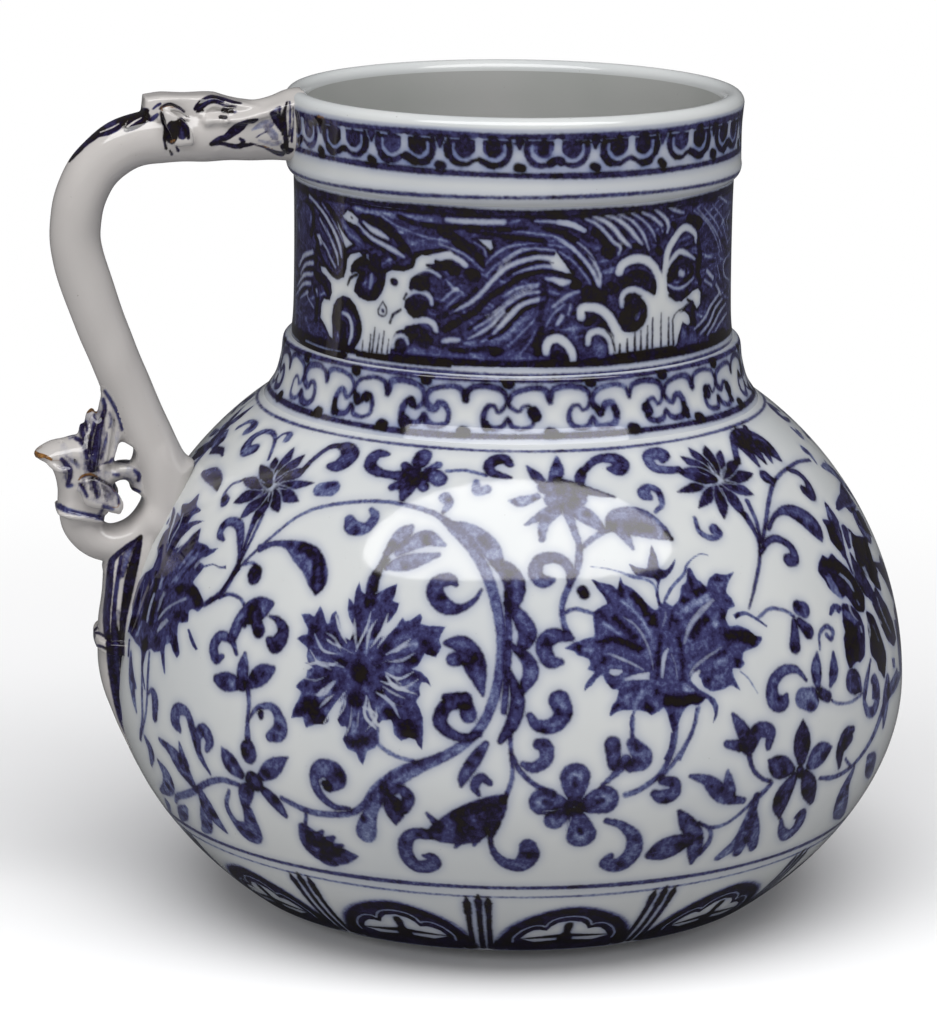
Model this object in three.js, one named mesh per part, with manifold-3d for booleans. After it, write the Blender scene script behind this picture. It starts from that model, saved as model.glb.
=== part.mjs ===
// Porcelain jug with a dragon handle, lidless, in the manner of early fifteenth century blue and white.
// Millimetres, +Z up. The handle points to -X and the XZ plane is the mirror plane of the whole jug.
// The body is thrown and luted in horizontal sections; the handle is moulded and luted in small pieces.

import * as THREE from 'three';
import { mergeVertices } from 'three/addons/utils/BufferGeometryUtils.js';
import Module from 'manifold-3d';

const wasm = await Module();
wasm.setup();

// Heights of the sections, from the table upwards
const FOOT_HEIGHT = 1.7;
const LOWER_BOWL_HEIGHT = 34.7;
const UPPER_BOWL_HEIGHT = 46.5;
const COLLAR_HEIGHT = 9.6;
const NECK_HEIGHT = 26.5;
const RIM_HEIGHT = 13.7;

// Outer radii of the vessel
const FOOT_RADIUS = 34.5;
const UNDERSIDE_RADIUS = 44.0;
const BELLY_RADIUS = 64.9;
const SHOULDER_RADIUS = 40.2;
const NECK_RADIUS = 35.3;
const NECK_FLARE = 0.55;
const COLLAR_LEDGE = 1.8;
const RIM_RADIUS = 36.8;
const RIM_MOULDING = 1.1;

// Walls
const BOWL_WALL = 3.7;
const NECK_WALL = 3.2;
const LIP_WALL = 3.5;
const FOOT_WIDTH = 3.8;
const FOOT_CHAMFER = 0.5;
const UNDERSIDE_RISE = 0.65;

// Handle bar
const HEAD_LENGTH = 19.4;
const HEAD_HEIGHT = 9.6;
const HEAD_WIDTH = 11.2;
const HANDLE_TOP_DROP = 7.2;
const HANDLE_OVERHANG = 5.7;
const HANDLE_APEX_DROP = 21.7;
const BAR_DEPTH = 8.5;
const BAR_WIDTH = 9.4;
const BAR_FOOT_HEIGHT = 66.0;

// Strap on the belly
const STRAP_LAP = 1.5;
const STRAP_END_HEIGHT = 26.5;
const STRAP_WIDTH = 13.0;
const STRAP_THICKNESS = 4.0;
const BAND_HEIGHT = 43.8;
const BAND_WIDTH = 2.2;
const BAND_PROUD = 1.1;

// Tail loop and blossom
const LOOP_ROOT_HEIGHT = 59.4;
const BLOSSOM_STANDOFF = 14.2;
const LOOP_RISE = 5.0;
const LOOP_THICKNESS = 6.4;
const CALYX_THICKNESS = 1.1;
const CALYX_PROUD = 0.4;
const CUP_HEIGHT = 4.9;
const PETAL_THICKNESS = 1.6;
const OUTER_PETAL_LENGTH = 10.4;
const SIDE_PETAL_LENGTH = 7.0;
const PLUME_HEIGHT = 14.0;
const PLUME_STEP = 1.9;

// Fits and fineness
const LUTING_GAP = 0.3;
const SEGMENTS = 48;

// Levels worked out from the heights
const SEAM_Z = FOOT_HEIGHT + LOWER_BOWL_HEIGHT;
const SHOULDER_Z = SEAM_Z + UPPER_BOWL_HEIGHT;
const COLLAR_Z = SHOULDER_Z + COLLAR_HEIGHT;
const RIM_Z = COLLAR_Z + NECK_HEIGHT;
const LIP_Z = RIM_Z + RIM_HEIGHT;

// Radius of the collar's ledge round the foot of the neck
const COLLAR_TOP_RADIUS = NECK_RADIUS + COLLAR_LEDGE;

// How far the handle reaches from the turning axis, and where its strap begins
const HANDLE_REACH = BELLY_RADIUS + HANDLE_OVERHANG;
const STRAP_TOP_HEIGHT = BAR_FOOT_HEIGHT + STRAP_LAP;

// Colours of the fired glaze, the painted areas and the bare clay
const GLAZE = 0xdfe2e4;
const COBALT = 0x343a6c;
const PALE_COBALT = 0x8088b0;
const OCHRE_EDGE = 0x8a6a3c;
const BARE_CLAY = 0xcdbda6;

// Turn a mesh geometry into a solid that can be cut
function solidOf(geometry) {
  const bare = geometry.clone();
  bare.deleteAttribute('normal');
  bare.deleteAttribute('uv');
  const welded = mergeVertices(bare, 1e-4);
  const index = welded.index.array;
  const kept = [];
  for (let i = 0; i < index.length; i += 3) {
    const [a, b, c] = [index[i], index[i + 1], index[i + 2]];
    if (a !== b && b !== c && c !== a) kept.push(a, b, c);
  }
  const vertProperties = new Float32Array(welded.attributes.position.array);
  const solid = new wasm.Manifold(new wasm.Mesh({ numProp: 3, vertProperties, triVerts: new Uint32Array(kept) }));
  return solid;
}

// Turn a solid back into a mesh geometry
function geometryOf(solid) {
  const mesh = solid.getMesh();
  const geometry = new THREE.BufferGeometry();
  geometry.setAttribute('position', new THREE.BufferAttribute(new Float32Array(mesh.vertProperties), 3));
  geometry.setIndex(new THREE.BufferAttribute(new Uint32Array(mesh.triVerts), 1));
  return geometry;
}

// The largest piece left after a cut, without the slivers
function largestPiece(solid) {
  const pieces = solid.decompose();
  return pieces.reduce((best, piece) => (piece.volume() > best.volume() ? piece : best));
}

// A closed solid of revolution about Z from a profile of radius and height
function turned(profile) {
  const points = profile.map(([radius, z]) => new THREE.Vector2(radius, z));
  const geometry = new THREE.LatheGeometry(points, SEGMENTS);
  geometry.rotateX(Math.PI / 2);
  return geometry;
}

// Points of a cubic Bezier in the plane of the profile
function bezier(p0, p1, p2, p3, steps) {
  const curve = new THREE.CubicBezierCurve(
    new THREE.Vector2(...p0), new THREE.Vector2(...p1), new THREE.Vector2(...p2), new THREE.Vector2(...p3));
  return Array.from({ length: steps + 1 }, (_, i) => {
    const point = curve.getPoint(i / steps);
    const tangent = curve.getTangent(i / steps);
    return { point, inward: new THREE.Vector2(-tangent.y, tangent.x) };
  });
}

const plain = ({ point }) => [point.x, point.y];
const offset = (wall) => ({ point, inward }) => [point.x + inward.x * wall, point.y + inward.y * wall];

// Outer curves of the two bowls
const underside = FOOT_HEIGHT + UNDERSIDE_RISE;
const bowlRise = SEAM_Z - underside;
const flank = BELLY_RADIUS - UNDERSIDE_RADIUS;
const lowerCurve = bezier(
  [UNDERSIDE_RADIUS, underside],
  [UNDERSIDE_RADIUS + 0.45 * flank, underside + 0.2 * bowlRise],
  [BELLY_RADIUS, SEAM_Z - 0.42 * bowlRise],
  [BELLY_RADIUS, SEAM_Z], 8);
const upperCurve = bezier(
  [BELLY_RADIUS, SEAM_Z],
  [BELLY_RADIUS, SEAM_Z + 0.38 * UPPER_BOWL_HEIGHT],
  [SHOULDER_RADIUS + 0.64 * (BELLY_RADIUS - SHOULDER_RADIUS), SHOULDER_Z - 0.235 * UPPER_BOWL_HEIGHT],
  [SHOULDER_RADIUS, SHOULDER_Z], 9);

// The wall is measured square to the curve, and each section ends on a flat luting face
function innerPoints(curve, wall, lowest, highest) {
  return curve.map(offset(wall)).filter(([, z]) => z > lowest + 0.2 && z < highest - 0.2);
}
const collarInner = SHOULDER_RADIUS - BOWL_WALL;
const neckInner = NECK_RADIUS - NECK_WALL;
const throatRadius = neckInner;

// Outline of the whole jug, used to fit the handle pieces to it
const collarProfile = [
  [SHOULDER_RADIUS, SHOULDER_Z],
  [COLLAR_TOP_RADIUS + 0.42 * (SHOULDER_RADIUS - COLLAR_TOP_RADIUS), SHOULDER_Z + 0.3 * COLLAR_HEIGHT],
  [COLLAR_TOP_RADIUS + 0.1 * (SHOULDER_RADIUS - COLLAR_TOP_RADIUS), SHOULDER_Z + 0.66 * COLLAR_HEIGHT],
  [COLLAR_TOP_RADIUS, COLLAR_Z],
];
const neckProfile = [
  [NECK_RADIUS + NECK_FLARE, COLLAR_Z],
  [NECK_RADIUS + 0.3 * NECK_FLARE, COLLAR_Z + 0.16 * NECK_HEIGHT],
  [NECK_RADIUS, COLLAR_Z + 0.45 * NECK_HEIGHT],
  [NECK_RADIUS, COLLAR_Z + 0.8 * NECK_HEIGHT],
  [NECK_RADIUS + 0.2 * NECK_FLARE, RIM_Z],
];
const lipHeight = 0.5 * LIP_WALL;
const lipInner = RIM_RADIUS - LIP_WALL;
const lipCurve = [0, 0.17, 0.33, 0.5, 0.67, 0.83, 1].map((t) => [
  RIM_RADIUS - lipHeight + lipHeight * Math.cos(Math.PI * t),
  LIP_Z - lipHeight + lipHeight * Math.sin(Math.PI * t),
]);
const rimProfile = [
  [NECK_RADIUS + 0.2 * NECK_FLARE, RIM_Z],
  [RIM_RADIUS - 0.5 * RIM_MOULDING, RIM_Z + 0.7 * RIM_MOULDING],
  [RIM_RADIUS - 0.15 * RIM_MOULDING, RIM_Z + 1.7 * RIM_MOULDING],
  [RIM_RADIUS - 0.3 * RIM_MOULDING, RIM_Z + 3.0 * RIM_MOULDING],
  [RIM_RADIUS - 0.3 * RIM_MOULDING, RIM_Z + 0.6 * RIM_HEIGHT],
];

// Foot ring, turned and left bare where it stands
function footRing() {
  const inner = FOOT_RADIUS - FOOT_WIDTH;
  return turned([
    [inner + FOOT_CHAMFER, 0],
    [FOOT_RADIUS - FOOT_CHAMFER, 0],
    [FOOT_RADIUS, FOOT_CHAMFER],
    [FOOT_RADIUS, FOOT_HEIGHT],
    [inner, FOOT_HEIGHT],
    [inner, FOOT_CHAMFER],
    [inner + FOOT_CHAMFER, 0],
  ]);
}

// Lower bowl with its floor, from the foot to the seam at the widest point
function lowerBowl() {
  const inside = innerPoints(lowerCurve, BOWL_WALL, FOOT_HEIGHT + BOWL_WALL, SEAM_Z).reverse();
  const floorZ = FOOT_HEIGHT + BOWL_WALL;
  const floorEdge = UNDERSIDE_RADIUS - 0.7 * BOWL_WALL;
  return turned([
    [0, FOOT_HEIGHT],
    [UNDERSIDE_RADIUS - 3.0 * UNDERSIDE_RISE, FOOT_HEIGHT],
    ...lowerCurve.map(plain),
    [BELLY_RADIUS - BOWL_WALL, SEAM_Z],
    ...inside,
    [floorEdge, floorZ],
    [0, floorZ],
  ]);
}

// Upper bowl, from the seam to the shoulder
function upperBowl() {
  const inside = innerPoints(upperCurve, BOWL_WALL, SEAM_Z, SHOULDER_Z - 0.04 * UPPER_BOWL_HEIGHT).reverse();
  return turned([
    ...upperCurve.map(plain),
    [collarInner, SHOULDER_Z],
    ...inside,
    [BELLY_RADIUS - BOWL_WALL, SEAM_Z],
    [BELLY_RADIUS, SEAM_Z],
  ]);
}

// Concave collar between shoulder and neck
function collar() {
  return turned([
    ...collarProfile,
    [throatRadius, COLLAR_Z],
    [collarInner, SHOULDER_Z],
    [SHOULDER_RADIUS, SHOULDER_Z],
  ]);
}

// Waisted neck
function neck() {
  return turned([
    ...neckProfile,
    [lipInner, RIM_Z],
    [neckInner, COLLAR_Z + 0.8 * NECK_HEIGHT],
    [throatRadius, COLLAR_Z],
    neckProfile[0],
  ]);
}

// Mouth rim with a rolled moulding below and a rounded lip above
function rim() {
  return turned([
    ...rimProfile,
    ...lipCurve,
    [lipInner, RIM_Z],
    rimProfile[0],
  ]);
}

// The jug's outline made larger all round by a gap, for cutting what is luted to it
function jugOutline(gap) {
  const grown = [...lowerCurve, ...upperCurve.slice(1)].map(offset(-gap));
  const upward = [...collarProfile.slice(1), ...neckProfile, ...rimProfile.slice(1)];
  return turned([
    [0, FOOT_HEIGHT - gap],
    ...grown,
    ...upward.map(([radius, z]) => [radius + gap, z]),
    ...lipCurve.slice(0, 4).map(([radius, z]) => [radius + gap, z + gap]),
    [0, LIP_Z + gap],
  ]);
}

// Outer radius of the upper and lower bowls at a height
function bowlRadius(z) {
  const points = [...lowerCurve, ...upperCurve.slice(1)].map(plain);
  const after = points.findIndex((point) => point[1] > z);
  if (after < 1) return SHOULDER_RADIUS;
  const [r0, z0] = points[after - 1];
  const [r1, z1] = points[after];
  return r0 + ((r1 - r0) * (z - z0)) / (z1 - z0);
}

// A closed skin over rings of points laid along a path
function skin(rings) {
  const sides = rings[0].length;
  const positions = rings.flat().flatMap((p) => [p.x, p.y, p.z]);
  const index = [];
  for (let i = 0; i + 1 < rings.length; i += 1) {
    for (let k = 0; k < sides; k += 1) {
      const a = i * sides + k;
      const b = i * sides + ((k + 1) % sides);
      index.push(a, b, b + sides, a, b + sides, a + sides);
    }
  }
  const last = (rings.length - 1) * sides;
  for (let k = 1; k + 1 < sides; k += 1) {
    index.push(0, k + 1, k);
    index.push(last, last + k, last + k + 1);
  }
  const geometry = new THREE.BufferGeometry();
  geometry.setAttribute('position', new THREE.BufferAttribute(new Float32Array(positions), 3));
  geometry.setIndex(index);
  return geometry;
}

// A loft of oval sections along a smooth path in space.
// Each station gives its centre, its half depth in the XZ plane and its half width across it.
function loft(stations, steps, sides, grow, roundness = 2.3) {
  const centres = stations.map(({ at }) => new THREE.Vector3(...at));
  const curve = new THREE.CatmullRomCurve3(centres, false, 'centripetal');
  const last = stations.length - 1;
  const rings = [];
  for (let i = 0; i <= steps; i += 1) {
    const t = i / steps;
    const place = Math.min(Math.floor(t * last), last - 1);
    const local = THREE.MathUtils.smoothstep(t * last - place, 0, 1);
    const depth = THREE.MathUtils.lerp(stations[place].depth, stations[place + 1].depth, local) + grow;
    const width = THREE.MathUtils.lerp(stations[place].width, stations[place + 1].width, local) + grow;
    const centre = curve.getPoint(t);
    const along = curve.getTangent(t);
    if (i === 0) centre.addScaledVector(along, -grow);
    if (i === steps) centre.addScaledVector(along, grow);
    const across = new THREE.Vector3(0, 1, 0).addScaledVector(along, -along.y).normalize();
    const normal = new THREE.Vector3().crossVectors(across, along);
    rings.push(Array.from({ length: sides }, (_, k) => {
      const angle = (2 * Math.PI * k) / sides;
      const u = Math.sign(Math.cos(angle)) * Math.abs(Math.cos(angle)) ** (2 / roundness);
      const v = Math.sign(Math.sin(angle)) * Math.abs(Math.sin(angle)) ** (2 / roundness);
      return centre.clone().addScaledVector(normal, u * depth).addScaledVector(across, v * width);
    }));
  }
  return skin(rings);
}

// Dragon head, from the rim that it bites to the nape where the bar begins
const handleTopZ = LIP_Z - HANDLE_TOP_DROP;
const napeX = -(RIM_RADIUS + HEAD_LENGTH);
const snoutX = -(RIM_RADIUS - 0.6 * LIP_WALL);
function dragonHead(grow = 0) {
  const along = (share) => snoutX + share * (napeX - snoutX);
  const half = 0.5 * HEAD_HEIGHT;
  const wide = 0.5 * HEAD_WIDTH;
  return loft([
    { at: [along(0), 0, handleTopZ + 0.1 * half], depth: 1.0 * half, width: 1.12 * wide },
    { at: [along(0.16), 0, handleTopZ + 0.04 * half], depth: 0.96 * half, width: 1.0 * wide },
    { at: [along(0.42), 0, handleTopZ - 0.06 * half], depth: 0.84 * half, width: 0.88 * wide },
    { at: [along(0.66), 0, handleTopZ - 0.04 * half], depth: 0.92 * half, width: 1.0 * wide },
    { at: [along(0.86), 0, handleTopZ - 0.06 * half], depth: 0.92 * half, width: 0.92 * wide },
    { at: [along(1), 0, handleTopZ - 0.08 * half], depth: 0.5 * BAR_DEPTH, width: 0.5 * BAR_WIDTH },
  ], 15, 14, grow);
}

// The bar's line: over the arch, down in a slight hollow and out onto the shoulder
const barStartX = napeX - LUTING_GAP;
const barStartZ = handleTopZ - 0.04 * HEAD_HEIGHT;
const apexZ = LIP_Z - HANDLE_APEX_DROP;
const barFootX = -(bowlRadius(BAR_FOOT_HEIGHT) - 0.7);
const barArch = new THREE.CubicBezierCurve3(
  new THREE.Vector3(barStartX, 0, barStartZ),
  new THREE.Vector3(barStartX - 0.52 * (HANDLE_REACH + barStartX), 0, barStartZ - 0.02 * HANDLE_APEX_DROP),
  new THREE.Vector3(-HANDLE_REACH, 0, apexZ + 0.52 * (barStartZ - apexZ)),
  new THREE.Vector3(-HANDLE_REACH, 0, apexZ));
const barDrop = new THREE.CubicBezierCurve3(
  new THREE.Vector3(-HANDLE_REACH, 0, apexZ),
  new THREE.Vector3(-HANDLE_REACH, 0, apexZ - 0.2 * (apexZ - BAR_FOOT_HEIGHT)),
  new THREE.Vector3(barFootX - 0.1 * (HANDLE_REACH + barFootX), 0, apexZ - 0.7 * (apexZ - BAR_FOOT_HEIGHT)),
  new THREE.Vector3(barFootX, 0, BAR_FOOT_HEIGHT));

// Where the bar's line stands at a height below the arch
function barX(z) {
  const points = barDrop.getPoints(60);
  return (points.find((point) => point.z <= z) ?? points.at(-1)).x;
}

// Bar of oval section, a little slimmer towards the shoulder
function handleBar(grow = 0) {
  const half = 0.5 * BAR_DEPTH;
  const wide = 0.5 * BAR_WIDTH;
  const onArch = [0, 0.25, 0.5, 0.75].map((t) => ({ at: barArch.getPoint(t).toArray(), depth: half, width: wide }));
  const onDrop = [
    { t: 0, depth: 1.0, width: 1.0 },
    { t: 0.25, depth: 0.97, width: 0.98 },
    { t: 0.5, depth: 0.92, width: 0.95 },
    { t: 0.72, depth: 0.86, width: 0.94 },
    { t: 0.9, depth: 0.88, width: 1.0 },
    { t: 1, depth: 1.0, width: 1.12 },
  ].map(({ t, depth, width }) => ({ at: barDrop.getPoint(t).toArray(), depth: depth * half, width: width * wide }));
  const buried = { at: [barFootX + 0.8, 0, BAR_FOOT_HEIGHT - 4.5], depth: 1.1 * half, width: 1.2 * wide };
  return loft([...onArch, ...onDrop, buried], 36, 14, grow);
}

// Flat comb along the top of the head, its rear end standing clear of the nape
function combPlate(grow = 0) {
  const top = handleTopZ + 0.5 * HEAD_HEIGHT;
  const rear = napeX - 0.2 * HEAD_LENGTH;
  const front = napeX + 0.46 * HEAD_LENGTH;
  return loft([
    { at: [front, 0, top - 0.4], depth: 0.6, width: 0.16 * HEAD_WIDTH },
    { at: [0.6 * front + 0.4 * rear, 0, top + 0.1], depth: 1.1, width: 0.26 * HEAD_WIDTH },
    { at: [0.2 * front + 0.8 * rear, 0, top + 0.0], depth: 1.4, width: 0.3 * HEAD_WIDTH },
    { at: [rear, 0, top - 0.3], depth: 1.7, width: 0.26 * HEAD_WIDTH },
  ], 8, 10, grow, 4);
}

// Ear that hangs from the comb down the side of the head
function ear(side, grow = 0) {
  const y = side * 0.44 * HEAD_WIDTH;
  const x = napeX + 0.1 * HEAD_LENGTH;
  const top = handleTopZ + 0.4 * HEAD_HEIGHT;
  return loft([
    { at: [x - 0.9, 0.82 * y, top], depth: 0.9, width: 0.8 },
    { at: [x + 0.6, 1.04 * y, top - 0.22 * HEAD_HEIGHT], depth: 2.0, width: 1.1 },
    { at: [x + 1.2, 1.1 * y, top - 0.46 * HEAD_HEIGHT], depth: 1.7, width: 0.9 },
    { at: [x + 1.3, 1.04 * y, top - 0.66 * HEAD_HEIGHT], depth: 0.5, width: 0.5 },
  ], 7, 8, grow);
}

// Brow with the eye under it, an applied pellet
function brow(side, grow = 0) {
  const x = napeX + 0.52 * HEAD_LENGTH;
  const y = side * 0.3 * HEAD_WIDTH;
  const z = handleTopZ + 0.38 * HEAD_HEIGHT;
  return loft([
    { at: [x - 2.6, y, z - 0.1], depth: 0.4, width: 0.5 },
    { at: [x - 1.0, 1.08 * y, z + 0.5], depth: 1.2, width: 1.3 },
    { at: [x + 1.2, 1.08 * y, z + 0.3], depth: 1.2, width: 1.2 },
    { at: [x + 2.8, y, z - 0.4], depth: 0.4, width: 0.5 },
  ], 7, 8, grow);
}

// How far the strap stands out from the bowl, and how wide it is, from its top to its point
const strapRows = [
  { share: 0, lift: 0.55, width: 0.42 },
  { share: 0.14, lift: 0.9, width: 0.5 },
  { share: 0.3, lift: 0.98, width: 0.52 },
  { share: 0.48, lift: 0.86, width: 0.5 },
  { share: 0.64, lift: 0.62, width: 0.46 },
  { share: 0.84, lift: 0.36, width: 0.34 },
  { share: 1, lift: 0.12, width: 0.06 },
];

// The strap's outermost radius at a height
function strapRadius(z) {
  const share = (STRAP_TOP_HEIGHT - z) / (STRAP_TOP_HEIGHT - STRAP_END_HEIGHT);
  const next = Math.max(1, strapRows.findIndex((row) => row.share >= share));
  const [above, below] = [strapRows[next - 1], strapRows[next]];
  const blend = (share - above.share) / (below.share - above.share);
  return bowlRadius(z) + THREE.MathUtils.lerp(above.lift, below.lift, blend) * STRAP_THICKNESS;
}

// Lancet strap laid on the belly below the bar
function strap(grow = 0) {
  const sunk = 4.8;
  return loft(strapRows.map(({ share, width }) => {
    const z = STRAP_TOP_HEIGHT - share * (STRAP_TOP_HEIGHT - STRAP_END_HEIGHT);
    return { at: [0.5 * sunk - strapRadius(z), 0, z], depth: 0.5 * sunk, width: width * STRAP_WIDTH };
  }), 18, 12, grow, 2.8);
}

// Raised band that crosses the strap
function strapBand(grow = 0) {
  const outer = strapRadius(BAND_HEIGHT) + BAND_PROUD;
  const half = 0.5 * BAND_WIDTH;
  const path = [-1, -0.75, -0.4, 0, 0.4, 0.75, 1].map((share) => {
    const y = share * (0.5 * STRAP_WIDTH + 0.4 * BAND_PROUD);
    return new THREE.Vector3(-(outer - 0.7 - 2.4 * share * share), y, BAND_HEIGHT);
  });
  const curve = new THREE.CatmullRomCurve3(path, false, 'centripetal');
  const rings = Array.from({ length: 13 }, (_, i) => {
    const centre = curve.getPoint(i / 12);
    const along = curve.getTangent(i / 12);
    const outward = new THREE.Vector3(-along.y, along.x, 0).normalize();
    return Array.from({ length: 8 }, (_unused, k) => {
      const angle = (2 * Math.PI * k) / 8;
      const out = Math.cos(angle) * (0.9 + grow);
      const up = Math.sin(angle) * (half + grow);
      return centre.clone().addScaledVector(outward, out).add(new THREE.Vector3(0, 0, up));
    });
  });
  return skin(rings);
}

// Tail loop: swings out from the strap and turns up to the blossom
const loopRootX = -(bowlRadius(LOOP_ROOT_HEIGHT) + 0.5 * STRAP_THICKNESS);
const loopTopZ = LOOP_ROOT_HEIGHT + LOOP_RISE;
const loopEnd = new THREE.Vector3(barX(loopTopZ + CUP_HEIGHT) - BLOSSOM_STANDOFF, 0, loopTopZ);
const loopReach = loopRootX - loopEnd.x;
function tailLoop(grow = 0) {
  const half = 0.5 * LOOP_THICKNESS;
  return loft([
    { at: [loopRootX + 1.4, 0, LOOP_ROOT_HEIGHT - 0.4], depth: 1.0 * half, width: 1.2 * half },
    { at: [loopRootX - 0.46 * loopReach, 0, LOOP_ROOT_HEIGHT + 0.2], depth: 0.96 * half, width: 1.15 * half },
    { at: [loopRootX - 0.83 * loopReach, 0, LOOP_ROOT_HEIGHT + 0.36 * LOOP_RISE], depth: half, width: 1.15 * half },
    { at: [loopEnd.x, 0, loopEnd.z - 1.4], depth: 1.04 * half, width: 1.18 * half },
    { at: [loopEnd.x, 0, loopEnd.z - 0.4], depth: 1.06 * half, width: 1.2 * half },
  ], 9, 10, grow);
}

// Thin ring where the loop becomes the flower
function calyx(grow = 0) {
  const half = 0.5 * LOOP_THICKNESS + CALYX_PROUD;
  const base = loopEnd.z - 0.4 + 1.1 * LUTING_GAP;
  return loft([
    { at: [loopEnd.x, 0, base], depth: 1.04 * half, width: 1.16 * half },
    { at: [loopEnd.x, 0, base + 0.5 * CALYX_THICKNESS], depth: 1.14 * half, width: 1.26 * half },
    { at: [loopEnd.x, 0, base + CALYX_THICKNESS], depth: 1.06 * half, width: 1.18 * half },
  ], 4, 12, grow);
}

// Solid heart of the flower, which carries petals, plumes and curl
const cupBase = loopEnd.z - 0.4 + CALYX_THICKNESS + 2.2 * LUTING_GAP;
const cupTop = cupBase + CUP_HEIGHT;
function blossomCup(grow = 0) {
  const half = 0.5 * LOOP_THICKNESS;
  return loft([
    { at: [loopEnd.x + 0.2, 0, cupBase], depth: 1.0 * half, width: 1.08 * half },
    { at: [loopEnd.x + 0.9, 0, cupBase + 0.45 * CUP_HEIGHT], depth: 1.22 * half, width: 1.2 * half },
    { at: [loopEnd.x + 1.9, 0, cupTop], depth: 1.32 * half, width: 1.16 * half },
  ], 6, 12, grow);
}

// Petal that turns outwards to a point, the outermost part of the handle
function outerPetal(grow = 0) {
  const half = 0.5 * PETAL_THICKNESS;
  const x = loopEnd.x - 0.5 * LOOP_THICKNESS;
  const rise = 0.78 * OUTER_PETAL_LENGTH;
  return loft([
    { at: [x - 0.2, 0, cupBase + 0.2], depth: 1.0 * half, width: 2.8 },
    { at: [x - 0.5, 0, cupBase + 0.36 * rise], depth: 1.15 * half, width: 4.3 },
    { at: [x - 0.7, 0, cupBase + 0.68 * rise], depth: 1.25 * half, width: 4.4 },
    { at: [x - 0.17 * OUTER_PETAL_LENGTH, 0, cupBase + 0.92 * rise], depth: 1.1 * half, width: 2.8 },
    { at: [x - 0.36 * OUTER_PETAL_LENGTH, 0, cupBase + rise], depth: 0.5 * half, width: 0.8 },
  ], 12, 10, grow);
}

// Rounded petal on one side of the flower
function sidePetal(side, grow = 0) {
  const x = loopEnd.x + 2.6;
  const y = side * 0.62 * LOOP_THICKNESS;
  const half = 0.5 * PETAL_THICKNESS;
  return loft([
    { at: [x - 0.8, y, cupBase + 0.3], depth: 1.9, width: 0.9 * half },
    { at: [x, 1.2 * y, cupBase + 0.34 * SIDE_PETAL_LENGTH], depth: 3.5, width: 1.2 * half },
    { at: [x + 0.5, 1.35 * y, cupBase + 0.64 * SIDE_PETAL_LENGTH], depth: 3.4, width: 1.2 * half },
    { at: [x + 0.5, 1.4 * y, cupBase + 0.86 * SIDE_PETAL_LENGTH], depth: 1.2, width: 0.8 * half },
  ], 9, 10, grow);
}

// Fronds that stand in a row behind the petals; the inner one leans on the bar
function plume(order, grow = 0) {
  const height = PLUME_HEIGHT - order * PLUME_STEP * 1.45;
  const x = loopEnd.x + 4.0 - order * PLUME_STEP;
  const lean = order === 0 ? 1.1 : 0.1;
  const bulge = order === 0 ? 2.6 : 1.3;
  return loft([
    { at: [x - 0.3, 0, cupTop - 0.2], depth: 1.1, width: 3.0 },
    { at: [x - 0.2, 0, cupTop + 0.24 * height], depth: 1.4, width: 3.4 },
    { at: [x + 0.6 * lean, 0, cupTop + 0.52 * height], depth: bulge, width: 3.2 },
    { at: [x + 0.8 * lean, 0, cupTop + 0.82 * height], depth: 0.6 * bulge, width: 2.0 },
    { at: [x + 0.5 * lean, 0, cupTop + height], depth: 0.4, width: 0.7 },
  ], 10, 10, grow);
}

// Curl that bridges from the flower to the bar and closes the upper piercing
function innerCurl(grow = 0) {
  const z = cupTop - 0.6;
  const x = loopEnd.x + 5.2;
  return loft([
    { at: [x - 0.8, 0, z - 0.2], depth: 1.5, width: 2.6 },
    { at: [x + 1.2, 0, z + 0.9], depth: 1.9, width: 2.9 },
    { at: [x + 3.4, 0, z + 0.4], depth: 1.7, width: 2.7 },
    { at: [x + 6.0, 0, z - 0.9], depth: 1.3, width: 2.3 },
  ], 9, 10, grow);
}

// Luted pieces in the order in which they are set, each cut clear of those before it
const luted = [
  { name: 'dragon_head', form: dragonHead, color: GLAZE },
  { name: 'handle_bar', form: handleBar, color: GLAZE },
  { name: 'comb_plate', form: combPlate, color: GLAZE },
  { name: 'ear_near', form: (grow) => ear(-1, grow), color: COBALT },
  { name: 'ear_far', form: (grow) => ear(1, grow), color: COBALT },
  { name: 'brow_near', form: (grow) => brow(-1, grow), color: COBALT },
  { name: 'brow_far', form: (grow) => brow(1, grow), color: COBALT },
  { name: 'belly_strap', form: strap, color: GLAZE },
  { name: 'strap_band', form: strapBand, color: COBALT },
  { name: 'tail_loop', form: tailLoop, color: GLAZE },
  { name: 'calyx_ring', form: calyx, color: COBALT },
  { name: 'blossom_cup', form: blossomCup, color: GLAZE },
  { name: 'petal_outer', form: outerPetal, color: PALE_COBALT },
  { name: 'petal_near', form: (grow) => sidePetal(-1, grow), color: OCHRE_EDGE },
  { name: 'petal_far', form: (grow) => sidePetal(1, grow), color: OCHRE_EDGE },
  { name: 'plume_inner', form: (grow) => plume(0, grow), color: COBALT },
  { name: 'plume_middle', form: (grow) => plume(1, grow), color: COBALT },
  { name: 'plume_outer', form: (grow) => plume(2, grow), color: COBALT },
  { name: 'inner_curl', form: innerCurl, color: PALE_COBALT },
];

function lutedGeometries() {
  let taken = solidOf(jugOutline(LUTING_GAP));
  return luted.map(({ name, form, color }) => {
    const piece = largestPiece(solidOf(form(0)).subtract(taken));
    taken = taken.add(solidOf(form(LUTING_GAP)));
    return { name, color, geometry: geometryOf(piece) };
  });
}

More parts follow.
